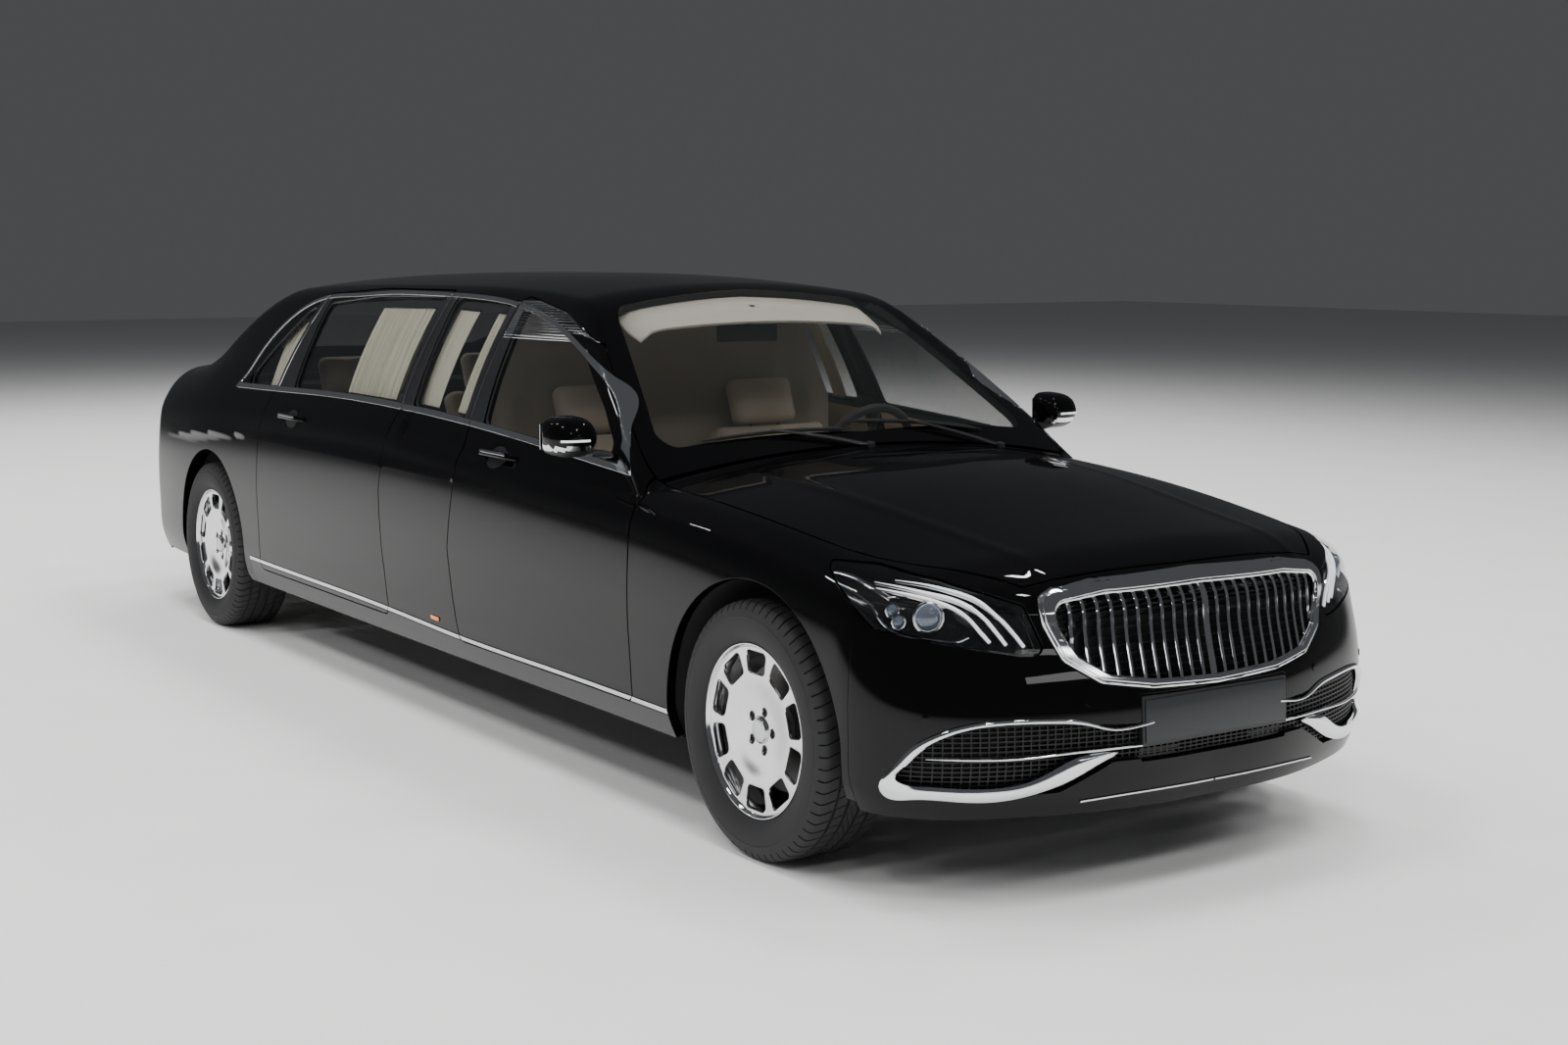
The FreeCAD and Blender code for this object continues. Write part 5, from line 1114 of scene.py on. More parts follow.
# Chrome round the side windows, and brushed covers on the posts between them
day_bottom = [(-1855, 1082), (-1369, 1092), (-635, 1106), (-131, 1102), (459, 1083), (837, 1063),
              (1230, 1036), (1608, 1008)]
day_top = [(1612, 1016), (1500, 1120), (1362, 1231), (1080, 1362), (765, 1455), (441, 1507), (160, 1523),
           (-120, 1527), (-400, 1527), (-646, 1523), (-1000, 1506), (-1392, 1468), (-1560, 1400),
           (-1720, 1275), (-1850, 1098)]
day_outer = np.concatenate([smooth_line(day_bottom, 120), smooth_line(day_top[1:8], 70),
                            smooth_line(day_top[7:], 90)])
low_inner = smooth_line(day_bottom, 120) + np.array([0, 21.0])
inner_top = smooth_line(day_top[1:], 160)
slope = np.gradient(inner_top, axis=0)
slope /= np.linalg.norm(slope, axis=1)[:, None]
inner_top = inner_top + columns_of(-slope[:, 1], slope[:, 0]) * 15.0
keep_low = (low_inner[:, 0] < 1545) & (low_inner[:, 0] > -1815)
keep_top = (inner_top[:, 1] > np.interp(inner_top[:, 0], low_inner[:, 0], low_inner[:, 1]) + 4)
day_inner = np.concatenate([low_inner[keep_low], inner_top[keep_top]])
outer_line, inner_line = side_points(day_outer), side_points(day_inner)
regions = {
    "front_door_right_unit": ([front_leaf], []), "rear_door_right_unit": ([rear_leaf], []),
    "body_shell": ([], [front_shut, rear_shut]),
}


def tag_of(body):
    """The part of a piece's name that says which body it rides on."""
    tag = body.replace("_unit", "").replace("body_shell", "shell")
    return tag if "_right" in tag else tag + "_right"


for body, (keep, cut) in regions.items():
    data = skin(Side, [outer_line] + keep, [inner_line] + cut, spacing=(16.0, 5.0), thickness=3.0, edge=1.6,
                lift=3.2)
    paired("window_chrome_" + tag_of(body), data, chrome, body)
posts = {
    "rear": [(-1394, 1096), (-1191, 1099), (-1208, 1500), (-1291, 1495)],
    "middle": [(-140, 1104), (12, 1101), (-22, 1528), (-108, 1528)],
    "front": [(446, 1086), (596, 1080), (522, 1514), (428, 1516)],
}
for post, outline in posts.items():
    post_line = side_points(dense(outline, 9.0))
    for body, (keep, cut) in regions.items():
        if (post, body) in (("rear", "front_door_right_unit"), ("middle", "front_door_right_unit"),
                            ("front", "rear_door_right_unit")):
            continue
        data = skin(Side, [post_line, inner_line] + keep, cut + all_windows, spacing=(14.0, 12.0),
                    thickness=2.0, edge=1.0, lift=1.2)
        paired("post_%s_%s" % (post, tag_of(body)), data, brushed, body)


# Thin bright edges of the doors where they cross the posts
for tag, body, line, edge_side in (("front_door", "front_door_right_unit", front_leaf, -1),
                                   ("rear_door_front", "rear_door_right_unit", rear_leaf, 1),
                                   ("rear_door_rear", "rear_door_right_unit", rear_leaf, -1)):
    middle_x = (line[:, 0].min() + line[:, 0].max()) / 2
    above = line[(line[:, 2] > 1106) & (line[:, 2] < 1512) & ((line[:, 0] - middle_x) * edge_side > 0)]
    above = above[np.argsort(above[:, 2])]
    if tag == "rear_door_rear":
        above = above[above[:, 2] < 1478]
    edge_n = normals_at(above)
    solid_piece("door_edge_%s_right" % tag, sweep(above + edge_n * 1.6 + [-edge_side * 2.6, 0, 0], edge_n,
                                                  oval(4.2, 4.2, 8)),
                chrome, body, pair=True)


# The rubber seal inside each window
for key, body in (("front", "front_door_right_unit"), ("rear", "rear_door_right_unit"),
                  ("middle", "body_shell"), ("quarter", "body_shell")):
    shares = {"front": front_glass_shares, "rear": rear_glass_shares, "middle": middle_glass_shares,
              "quarter": quarter_glass_shares}[key]
    line = dense(grown(rounded(outline_of(shares), 2 * SMALL), -3.0), 9.0)
    y = -(cabin_side(line[:, 0], line[:, 1]) - 9.0)
    path = columns_of(line[:, 0], y, line[:, 1])
    up = [0.0, -1.0, 0.0]
    solid_piece("seal_%s_right" % key, sweep(path, up, oval(8.0, 9.0, 8), True), black_plastic, body,
                "black_plastic", pair=True)


# Chrome strip along the sill, in lengths that follow the doors
sill_top = [(-1540, 380), (-1000, 377), (-36, 371), (551, 358), (1208, 357), (1700, 356), (1962, 355)]
sill_low = [(x, z - 15.0) for x, z in sill_top]
sill_outline = np.concatenate([smooth_line(sill_low, 90), smooth_line(sill_top, 90)[::-1]])
sill_line = side_points(sill_outline)
for tag, body, keep, cut in (("front_door", "front_door_right_unit", [front_leaf], []),
                             ("rear_door", "rear_door_right_unit", [rear_leaf], []),
                             ("shell", "body_shell", [], [front_shut, rear_shut] + arch_lines)):
    data = skin(Side, [sill_line] + keep, cut, spacing=(24.0, 4.0), thickness=3.0, edge=1.6, lift=3.5)
    paired("sill_chrome_%s_right" % tag, data, chrome, body)
    band = np.concatenate([smooth_line([(x, z - 6.0) for x, z in sill_low], 90),
                           np.array([(1962, SILL + 3.0), (-1540, SILL + 3.0)])])
    data = skin(Side, [side_points(dense(band, 12.0))] + keep, cut, spacing=(40.0, 16.0), thickness=0.5,
                edge=0.4, lift=0.5)
    if tag != "front_door":
        paired("sill_cover_%s_right" % tag, data, sill_paint, body)


# Door handles, each over a dished cup
for tag, body, first, last, height in (("front", "front_door_right_unit", 652, 892, 1000),
                                       ("rear", "rear_door_right_unit", -1174, -934, 1004)):
    middle = (first + last) / 2
    ring = circle(0, 0, 1.0, 48) * [62.0, 36.0]
    rows = []
    for share in (1.0, 0.86, 0.6, 0.3, 0.02):
        points = side_points(ring * share + [middle, height - 4.0])
        n = normals_at(points)
        rows.append(points + n * (0.9 if share == 1.0 else 0.5 + 1.2 * (1 - share)))
    faces = quads(5, len(ring), ring=True) + caps(5, len(ring))[1:]
    solid_piece("handle_cup_%s_right" % tag, (np.concatenate(rows), faces), black_plastic, body,
                "black_plastic", pair=True)
    xs = np.linspace(first, last, 26)
    base = side_points(columns_of(xs, float(height)))
    n = normals_at(base)
    share = np.linspace(-1, 1, 26)
    rise = 30.0 * (1 - np.abs(share) ** 6) - 3.0
    slim = np.clip(1.15 - np.abs(share) ** 8 * 0.55, 0.3, 1.0)
    profile = oval(25.0, 15.0, 14, 2.6)[None] * slim[:, None, None]
    solid_piece("handle_%s_right" % tag, sweep(base + n * rise[:, None], n, profile), paint, body,
                "body_paint", pair=True)
    strip = oval(9.0, 3.6, 8, 2.4)[None] * slim[3:-3, None, None]
    path = base + n * (rise[:, None] + 7.0) + np.array([0, 0, 3.0])
    solid_piece("handle_chrome_%s_right" % tag, sweep(path[3:-3], n[3:-3], strip), chrome, body, pair=True)


# Amber side marker on the sill, and wheel-arch liners
marker = side_points(dense(rounded([(318, 398), (382, 396), (384, 382), (320, 384)], 5.0), 4.0))
amber = shader("amber_lens", (0.85, 0.22, 0.01), rough=0.12, coat=1.0, noise=60.0, spread=0.1)
panel("side_marker_right", skin(Side, [marker], [], spacing=(8, 5), thickness=4.0, edge=1.5, lift=5.0), amber,
      "body_shell")
for tag, axle in (("front", FRONT_X), ("rear", REAR_X)):
    turn = np.linspace(math.radians(-16), math.radians(196), 80)
    ring = columns_of(axle + (ARCH + 6.0) * np.cos(turn), TYRE + (ARCH + 6.0) * np.sin(turn))
    path = side_points(ring)
    path = path[path[:, 2] > SILL + 4.0]
    liner = []
    for deep in (0.0, 60.0, 200.0, 330.0):
        row = path.copy()
        row[:, 1] = np.minimum(row[:, 1] + 26.0 + deep, -360.0) if deep else row[:, 1] + 26.0
        out = row[:, [0, 2]] - np.array([axle, TYRE])
        row[:, [0, 2]] += out / np.linalg.norm(out, axis=1)[:, None] * 3.0
        liner.append(row)
    verts = np.concatenate(liner)
    data = doubled(verts, quads(4, len(path)), (verts - np.array([axle, 0, TYRE])) * [0.006, 0, 0.006])
    solid_piece("arch_liner_%s_right" % tag, data, under_coat, "body_shell", "underbody", pair=True)


# Where a line of sight from the photograph's camera meets the form
CAMERA = np.array([7200.7, -4062.9, 1714.6])
CAMERA_TURN = tuple(math.radians(a) for a in (146.055, -7.527, -0.092))
FOCAL = 2160.66
PHOTO_WIDTH = 1600.0
PHOTO_MIDDLE = (800.0, 533.0)


def sight(pixels, sunk=0.0):
    """Points where the photograph's lines of sight meet the form, pushed in along its normal by a depth."""
    pixels = np.asarray(pixels, float)
    yaw, pitch, roll = CAMERA_TURN
    ahead = np.array([math.cos(yaw) * math.cos(pitch), math.sin(yaw) * math.cos(pitch), math.sin(pitch)])
    right = np.array([math.sin(yaw), -math.cos(yaw), 0.0])
    up = np.cross(right, ahead)
    right, up = (right * math.cos(roll) + up * math.sin(roll), up * math.cos(roll) - right * math.sin(roll))
    across_it, down_it = ((pixels - PHOTO_MIDDLE) / FOCAL).T[:, :, None]
    rays = ahead + across_it * right - down_it * up
    rays /= np.linalg.norm(rays, axis=1)[:, None]
    near = np.full(len(rays), 3500.0)
    for step in (60.0, 4.0, 0.25):
        for _ in range(120):
            p = CAMERA + rays * near[:, None]
            near = np.where(dressed_form(p[:, 0], p[:, 1], p[:, 2]) > 0, near + step, near)
        near = near - step
    p = CAMERA + rays * near[:, None]
    n = normals_at(p)
    return p - n * sunk, n


def crop_pixels(points, left, top, scale):
    return np.array([(left + x / scale, top + y / scale) for x, y in points])


def ribbon(outer, inner, lift, deep, rows=5):
    """A raised strip between two lines of points on the form, crowned across its width and closed behind."""
    outer, inner = np.asarray(outer), np.asarray(inner)
    verts = []
    for share in np.linspace(0, 1, rows):
        flat_row = outer + (inner - outer) * share
        n = normals_at(flat_row)
        verts.append(flat_row + n * (lift * (0.35 + 0.65 * math.sin(math.pi * share) ** 0.6)))
    for line in (inner, outer):
        verts.append(line - normals_at(line) * deep)
    count, total = len(outer), rows + 2
    faces = quads(total, count, loop=True)
    faces.append(tuple(r * count for r in range(total)))
    faces.append(tuple(r * count + count - 1 for r in reversed(range(total))))
    return np.concatenate(verts), faces


# Grille: a thick chrome surround in two steps, upright bars, and dark slats and a back plate behind
surround_data = skin(Nose, [from_front(front_outline(surround_shares), -0.6)], [inside_line],
                     spacing=(14.0, 7.0), thickness=42.0, edge=7.0, lift=6.0)
panel("grille_surround", surround_data, chrome, "body_shell", ["radiator_grille"])
step_data = skin(Nose, [from_front(front_outline(surround_shares), -11.0)],
                 [from_front(front_outline(inside_shares), 5.0)], spacing=(14.0, 5.0), thickness=6.0,
                 edge=3.0, lift=10.0)
panel("grille_step", step_data, chrome, "body_shell")
inside_outline = dense(rounded(front_outline(inside_shares), 2 * SMALL), 4.0)
bars, slats = [], []
inner_width = 0.507 * 2 * HALF
for i in range(23):
    y = inner_width * ((i + 1) / 24 - 0.5)
    zs = np.linspace(0.34 * HEIGHT, 0.52 * HEIGHT, 400)
    there = zs[within(columns_of(y, zs), inside_outline)]
    zs = np.linspace(there[0] - 12.0, there[-1] + 12.0, 16)
    path = leave(columns_of(Nose.pivot, y, zs), [1.0, 0, 0])
    n = normals_at(path)
    n[:, 1] *= 0.35
    n /= np.linalg.norm(n, axis=1)[:, None]
    half = 10.5 if i == 11 else 6.4
    profile = [(-half * 0.35, -36), (half * 0.35, -36), (half * 0.8, -10), (half, -4.5), (half * 0.82, -1.2),
               (0, 0), (-half * 0.82, -1.2), (-half, -4.5), (-half * 0.8, -10)]
    bars.append(sweep(path - n * 3.0, n, profile))
for level in np.linspace(0.372 * HEIGHT, 0.503 * HEIGHT, 11):
    ys = np.linspace(-0.52 * HALF, 0.52 * HALF, 160)
    there = ys[within(columns_of(ys, level), inside_outline)]
    ys = np.linspace(there[0] - 8.0, there[-1] + 8.0, 26)
    path = leave(columns_of(Nose.pivot, ys, level), [1.0, 0, 0])
    n = normals_at(path)
    slats.append(sweep(path - n * 46.0, n, oval(4.0, 12.0, 8, 3.0)))
solid_piece("grille_bars", merge(bars), chrome, "body_shell")
solid_piece("grille_slats", merge(slats), black_plastic, "body_shell", "black_plastic")
panel("grille_back", skin(Nose, [from_front(front_outline(inside_shares), 6.0)], [], spacing=(30, 20),
                          thickness=4.0, lift=-56.0), mesh_plastic, "body_shell")


# Headlamps
def walled(line, top, deep):
    """A side wall that follows a line on the form inwards between two depths."""
    line = np.asarray(line)
    n = normals_at(line)
    return np.concatenate([line - n * top, line - n * deep]), quads(2, len(line), ring=True)


lamp_dark = shader("lamp_housing", (0.020, 0.021, 0.023), rough=0.22, metal=0.6, coat=0.4, noise=60.0,
                   spread=0.3)
lamp_chrome = shader("lamp_reflector", (0.70, 0.72, 0.75), rough=0.10, metal=1.0, noise=90.0, spread=0.15)
led_white = shader("light_guide", (0.93, 0.95, 0.97), rough=0.25, coat=0.6, noise=40.0, spread=0.02,
                   emission=0.55)
lens_glass = shader("projector_lens", (0.16, 0.19, 0.24), rough=0.03, metal=0.35, coat=1.0, noise=8.0,
                    spread=0.35)
paired("lamp_cover_right", skin(Nose, [from_slant(lamp_outline, 1, -0.8)], [], spacing=(14.0, 10.0),
                                thickness=2.4, edge=1.2, lift=-0.6), lamp_glass, "body_shell")
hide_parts("headlamps")
paired("lamp_bowl_right", skin(Nose, [from_slant(lamp_outline, 1, -3.0)], [], spacing=(22.0, 16.0),
                               thickness=3.0, lift=-52.0), lamp_dark, "body_shell")
solid_piece("lamp_wall_right", walled(from_slant(lamp_outline, 1, -2.0), 3.2, 54.0), lamp_dark, "body_shell",
            "black_plastic", pair=True)
LAMP = (830, 555, 6.03)
strips = (
    ([(500, 196), (700, 225), (850, 262), (960, 300), (1040, 345), (1110, 410), (1200, 500), (1308, 628)],
     12.0),
    ([(370, 200), (550, 235), (720, 275), (860, 312), (960, 362), (1050, 440), (1120, 520), (1200, 618)],
     16.0),
    ([(300, 218), (480, 252), (640, 288), (780, 332), (890, 388), (970, 460), (1030, 530), (1100, 604)],
     20.0),
)
guides, carriers = [], []
for points, deep in strips:
    at, n = sight(smooth_line(crop_pixels(points, *LAMP), 44), deep)
    taper = np.clip(np.linspace(0.15, 2.2, 44), 0.15, 1.0)
    guides.append(sweep(at, n, oval(9.0, 7.0, 10, 2.4)[None] * taper[:, None, None]))
    carriers.append(sweep(at - n * 7.0, n, oval(15.0, 8.0, 8, 3.0)[None] * taper[:, None, None]))
solid_piece("light_guides_right", merge(guides), led_white, "body_shell", "lamp_glass", pair=True)
solid_piece("light_guide_frames_right", merge(carriers), lamp_chrome, "body_shell", pair=True)
swooshes = []
for points, deep, size in (
        ([(160, 236), (260, 290), (335, 352), (385, 440), (430, 500), (500, 548), (640, 582), (800, 598),
          (900, 598), (962, 572)], 14.0, 7.0),
        ([(130, 150), (230, 175), (360, 250), (470, 320)], 12.0, 13.0),
        ([(110, 190), (190, 330), (300, 470), (420, 600)], 10.0, 4.0)):
    at, n = sight(smooth_line(crop_pixels(points, *LAMP), 40), deep)
    swooshes.append(sweep(at, n, oval(size, 6.0, 8)))
solid_piece("lamp_swoosh_right", merge(swooshes), lamp_chrome, "body_shell", pair=True)


def turned_piece(centre, axis, rings, count=28):
    """A round piece about an axis: rings are (distance along it, radius)."""
    axis = np.asarray(axis, float) / np.linalg.norm(axis)
    a = np.cross(axis, [0, 0, 1.0])
    a /= np.linalg.norm(a)
    b = np.cross(axis, a)
    turn = np.linspace(0, 2 * np.pi, count, endpoint=False)
    circle_points = np.cos(turn)[:, None] * a + np.sin(turn)[:, None] * b
    verts = np.concatenate([centre + axis * w + circle_points * r for w, r in rings])
    return verts, quads(len(rings), count, ring=True) + caps(len(rings), count)


forward = np.array([0.93, -0.30, 0.02])
lens_at = sight(crop_pixels([(705, 440)], *LAMP), 34.0)[0][0]
solid_piece("projector_right", turned_piece(lens_at, forward,
                                            [(-26, 20), (-14, 40), (-2, 43), (2, 43), (3, 38), (-1, 36)]),
            lamp_chrome, "body_shell", pair=True)
dome = [(-4 + 16 * math.sin(t), 35.5 * math.cos(t)) for t in np.linspace(0, 1.45, 9)]
solid_piece("projector_lens_right", turned_piece(lens_at, forward, [(-10, 35.5)] + dome), lens_glass,
            "body_shell", "lamp_glass", pair=True)
modules, module_lenses = [], []
for spot_px in ((470, 385), (510, 475)):
    at = sight(crop_pixels([spot_px], *LAMP), 26.0)[0][0]
    modules.append(turned_piece(at, forward, [(-14, 16), (-2, 21), (2, 21), (2.5, 17), (-2, 15)], 8))
    module_lenses.append(turned_piece(at, forward, [(-6, 15), (0, 15), (3, 11), (4.5, 4)], 16))
solid_piece("lamp_modules_right", merge(modules), lamp_chrome, "body_shell", pair=True)
solid_piece("lamp_module_lenses_right", merge(module_lenses), lens_glass, "body_shell", "lamp_glass",
            pair=True)
fins = []
for k in range(6):
    at, n = sight(crop_pixels([(868 + 16 * k, 405 + 8 * k), (886 + 15 * k, 440 + 8 * k),
                               (900 + 14 * k, 476 + 8 * k)], *LAMP), 30.0)
    fins.append(sweep(at, n, oval(3.2, 10.0, 6, 3.0)))
solid_piece("lamp_fins_right", merge(fins), lamp_chrome, "body_shell", pair=True)

# Lower intakes: a mesh of small cells, a chrome loop, a blade and a lip line
INTAKE = (880, 690, 3.015)
loop_outer = [(895, 128), (760, 152), (690, 133), (600, 127), (450, 132), (330, 146), (230, 176), (150, 220),
              (90, 284),
              (54, 338), (72, 366), (150, 377), (300, 384), (450, 378), (560, 350), (650, 312), (725, 268),
              (800, 228)]
loop_inner = [(895, 142), (760, 164), (690, 150), (600, 145), (450, 150), (340, 164), (250, 192), (180, 232),
              (128, 282),
              (104, 316), (128, 330), (190, 338), (310, 344), (450, 338), (540, 312), (610, 274), (668, 246),
              (745, 230)]
both_px = smooth_line(np.concatenate([crop_pixels(loop_outer, *INTAKE), crop_pixels(loop_inner, *INTAKE)],
                                     axis=1), 120)
outer_at, inner_at = sight(both_px[:, :2])[0], sight(both_px[:, 2:])[0]
solid_piece("intake_loop_right", ribbon(outer_at, inner_at, 9.0, 8.0), chrome, "body_shell", pair=True,
            angle=50)
blade, blade_n = sight(smooth_line(crop_pixels([(196, 256), (330, 258), (480, 254), (620, 238), (760, 222),
                                                (890, 206)],
                                               *INTAKE), 50), 4.0)
taper = np.clip(np.linspace(0.2, 5.0, 50), 0.2, 1.0)
solid_piece("intake_blade_right", sweep(blade, blade_n, oval(9.0, 12.0, 10)[None] * taper[:, None, None]),
            chrome, "body_shell", pair=True)
lip_at, lip_n = sight(smooth_line(crop_pixels([(672, 381), (820, 356), (980, 329), (1200, 285), (1420, 240)],
                                              *INTAKE), 60),
                      -2.0)
lip_at = lip_at[lip_at[:, 1] < 4.0]
lip_n = lip_n[:len(lip_at)]
solid_piece("lip_chrome_right", sweep(lip_at, lip_n, oval(6.0, 6.0, 8)), chrome, "body_shell", pair=True)
wires = []
intake_shape = dense(grown(rounded(intake_outline, SMALL), 3.0), 4.0)
low, high = intake_shape.min(axis=0), intake_shape.max(axis=0)


def lattice_runs(points):
    """The stretches of a line of (y, z) points that lie inside the intake."""
    inside = within(points, intake_shape)
    runs, start = [], None
    for k, flag in enumerate(list(inside) + [False]):
        if flag and start is None:
            start = k
        if not flag and start is not None:
            if k - start > 2:
                runs.append(points[start:k])
            start = None
    return runs


for z in np.arange(low[1] + 6, high[1], 13.0):
    ys = np.arange(low[0], high[0], 9.0)
    wires += lattice_runs(columns_of(ys, z))
for y in np.arange(low[0] + 8, high[0], 21.0):
    zs = np.arange(low[1], high[1], 6.5)
    wires += lattice_runs(columns_of(y, zs))
lattice = []
for run in wires:
    start = columns_of(Nose.pivot, run[:, 0], run[:, 1])
    path = leave(start, [1.0, 0, 0])
    n = normals_at(path)
    lattice.append(sweep(path - n * 20.0, n, [(-2.6, -8), (2.6, -8), (1.8, 3), (-1.8, 3)]))
solid_piece("intake_mesh_right", merge(lattice), mesh_plastic, "body_shell", "black_plastic", pair=True)
centre_mesh = []
for z in np.arange(378.0, 414.0, 10.5):
    ys = np.linspace(-266, 266, 60)
    path = leave(columns_of(Nose.pivot, ys, z), [1.0, 0, 0])
    n = normals_at(path)
    centre_mesh.append(sweep(path - n * 20.0, n, [(-2.6, -8), (2.6, -8), (1.8, 3), (-1.8, 3)]))
for y in np.arange(-258.0, 259.0, 21.5):
    zs = np.linspace(374.0, 416.0, 6)
    path = leave(columns_of(Nose.pivot, y, zs), [1.0, 0, 0])
    n = normals_at(path)
    centre_mesh.append(sweep(path - n * 20.0, n, [(-2.6, -8), (2.6, -8), (1.8, 3), (-1.8, 3)]))
solid_piece("intake_mesh_centre", merge(centre_mesh), mesh_plastic, "body_shell", "black_plastic")
panel("intake_back_centre", skin(Nose, [from_front(plate_room, 3.0, 8.0)], [], spacing=(26, 20),
                                 thickness=3.0, lift=-40.0),
      mesh_plastic, "body_shell")
paired("intake_back_right", skin(Nose, [from_front(intake_outline, 4.0, SMALL)], [], spacing=(26, 20),
                                 thickness=3.0, lift=-44.0), mesh_plastic, "body_shell")


def rounded_box(centre, size, radius, steps_count=4):
    """Points and faces of a box with rounded corners and edges."""
    bm = bmesh.new()
    bmesh.ops.create_cube(bm, size=1.0)
    bmesh.ops.scale(bm, vec=Vector(size), verts=bm.verts)
    bmesh.ops.bevel(bm, geom=list(bm.edges), offset=radius, segments=steps_count, profile=0.5, affect="EDGES")
    verts = np.array([tuple(v.co) for v in bm.verts]) + np.asarray(centre, float)
    faces = [tuple(v.index for v in f.verts) for f in bm.faces]
    bm.free()
    return verts, faces


def leaned(data, centre, angle):
    verts, faces = data
    turn = np.array(Matrix.Rotation(angle, 3, "Y"))
    return (verts - centre) @ turn.T + centre, faces


# A bare dark plate on its holder, and parking sensors
plate_dark = shader("plate_blank", (0.010, 0.012, 0.014), rough=0.42, coat=0.2, noise=90.0, spread=0.12)
plate_at = np.array([LENGTH / 2 - 7.0, 0.0, 477.0])
solid_piece("plate_holder", leaned(rounded_box(plate_at - [14.0, 0, 0], (24.0, 533.0, 134.0), 4.0), plate_at,
                                   -0.06),
            black_plastic, "body_shell", "black_plastic")
solid_piece("plate_blank", leaned(rounded_box(plate_at, (5.0, 520.0, 114.0), 1.8), plate_at, -0.06),
            plate_dark, "body_shell", "black_plastic")
sensors = []
for px in ((1112, 716), (945, 733)):
    at, n = sight([px])
    sensors.append(turned_piece(at[0], n[0], [(-3, 10.5), (1.2, 10.5), (2.0, 9.5), (2.2, 4.0)], 24))
solid_piece("parking_sensors_right", merge(sensors), paint, "body_shell", "body_paint", pair=True)


# Wheels and tyres, built once about their own axle and placed four times
class Disc:
    """The wheel's outer face: flat (u, v) is (X, Z) about the axle, and the face is out along Y."""
    face = curve([(0, 78), (45, 78), (70, 79), (100, 83), (140, 91), (168, 95), (200, 96), (228, 96.5),
                  (240, 98)])

    @staticmethod
    def flat(p):
        return p[:, [0, 2]]

    @staticmethod
    def surface(uv):
        r = np.maximum(np.hypot(uv[:, 0], uv[:, 1]), 1e-6)
        slope = Disc.face(r + 0.5) - Disc.face(r - 0.5)
        n = columns_of(-slope * uv[:, 0] / r, np.ones(len(r)), -slope * uv[:, 1] / r)
        return (columns_of(uv[:, 0], Disc.face(r), uv[:, 1]),
                n / np.linalg.norm(n, axis=1)[:, None])


def wheel_hole(turn):
    """One window of the wheel, a rounded trapezium between two radii."""
    corners = [(160, -41), (160, 41), (224, 51), (224, -51)]
    line = dense(rounded(corners, 15.0), 3.0)
    c, s = math.cos(turn), math.sin(turn)
    return columns_of(line[:, 0] * c - line[:, 1] * s, line[:, 0] * s + line[:, 1] * c)


def lathe(rings, count=96, closed=True):
    """Points and faces of (radius, width) rings turned about the Y axis."""
    turn = np.linspace(0, 2 * np.pi, count, endpoint=False)
    rings = np.asarray(rings, float)
    verts = np.stack([rings[:, :1] * np.cos(turn), np.repeat(rings[:, 1:], count, axis=1),
                      rings[:, :1] * np.sin(turn)], axis=-1).reshape(-1, 3)
    shape = (len(rings), count)
    return verts, quads(*shape, ring=True, loop=closed) + ([] if closed else turned_over(caps(*shape)))


holes = [wheel_hole(math.radians(36 * i + 18)) for i in range(10)]
lugs = [circle(56 * math.cos(t), 56 * math.sin(t), 12.5, 28)
        for t in np.linspace(0, 2 * np.pi, 5, endpoint=False)]
disc_data = skin(Disc, [circle(0, 0, 238.0, 150)], holes + lugs, spacing=(11.0, 11.0), thickness=9.0,
                 edge=3.2)
rim_rings = [(237, 97), (239.5, 100.5), (241, 104.5), (243.5, 107.2), (246, 107), (247, 104), (246, 99),
             (239, 96.5), (232, 94), (230.5, 60), (224, 20), (222, -60), (231, -92), (240, -97), (246, -101),
             (246, -106.5), (242, -107),
             (233, -99), (222, -84), (214, -58), (215, 20), (222, 62), (228, 84), (232, 92)]
rim_data = lathe(rim_rings, 128)
cap_data = lathe([(39, 76), (39.5, 80.5), (37, 82.5), (34.5, 81.5), (33.5, 83.5), (32, 86), (28, 87),
                  (15, 87.8), (1, 88)],
                 64, closed=False)
well_data = lathe([(60, 66), (60, 70), (21, 70), (21, 66)], 48)
bolts = []
for t in np.linspace(0, 2 * np.pi, 5, endpoint=False):
    verts, faces = lathe([(9.5, 60), (9.5, 73.5), (8.2, 74.8), (4.8, 74.8), (4.6, 71), (0.5, 71)], 6,
                         closed=False)
    bolts.append((verts + np.array([56 * math.cos(t), 0, 56 * math.sin(t)]), faces))
bolt_data = merge(bolts)
brake_data = lathe([(60, 11), (92, 11), (96, 9), (183, 9), (184, 8), (184, 2), (160, 0), (160, -8),
                    (184, -10), (184, -19), (183, -20), (96, -20), (92, -21), (60, -21)], 96)
hub_data = lathe([(72, 11), (72, 38), (66, 45), (34, 45), (34, 11)], 64)
TREAD = [(232, 91), (240, 95.5), (247.4, 100), (250, 106), (256, 112.5), (266, 119), (277, 123.6),
         (290, 126.6),
         (303, 127.5), (314, 126.8), (318, 126.0), (319.5, 126.9), (322.5, 126.5), (324, 125.2), (333, 122.4),
         (341, 119.2)]
SHOULDER = [(347, 116.4), (353, 113.0), (358.6, 108.6), (362.8, 102.6), (365.4, 95.0), (366.8, 84.0),
            (367.4, 66.0)]
CENTRE = [(360.0, 65.0), (360.0, 57.0), (367.7, 56.0), (367.9, 26.0), (360.2, 25.0), (360.2, 17.0),
          (368.0, 16.0), (368.0, 0.0)]
half_section = [(r, w, 0) for r, w in TREAD] + [(r, w, 1) for r, w in SHOULDER]
half_section += [(r, w, 1 if r > 361 else 0) for r, w in CENTRE]
section = np.array(half_section + [(r, -w, k) for r, w, k in half_section[-2::-1]])
BLOCKS = 66


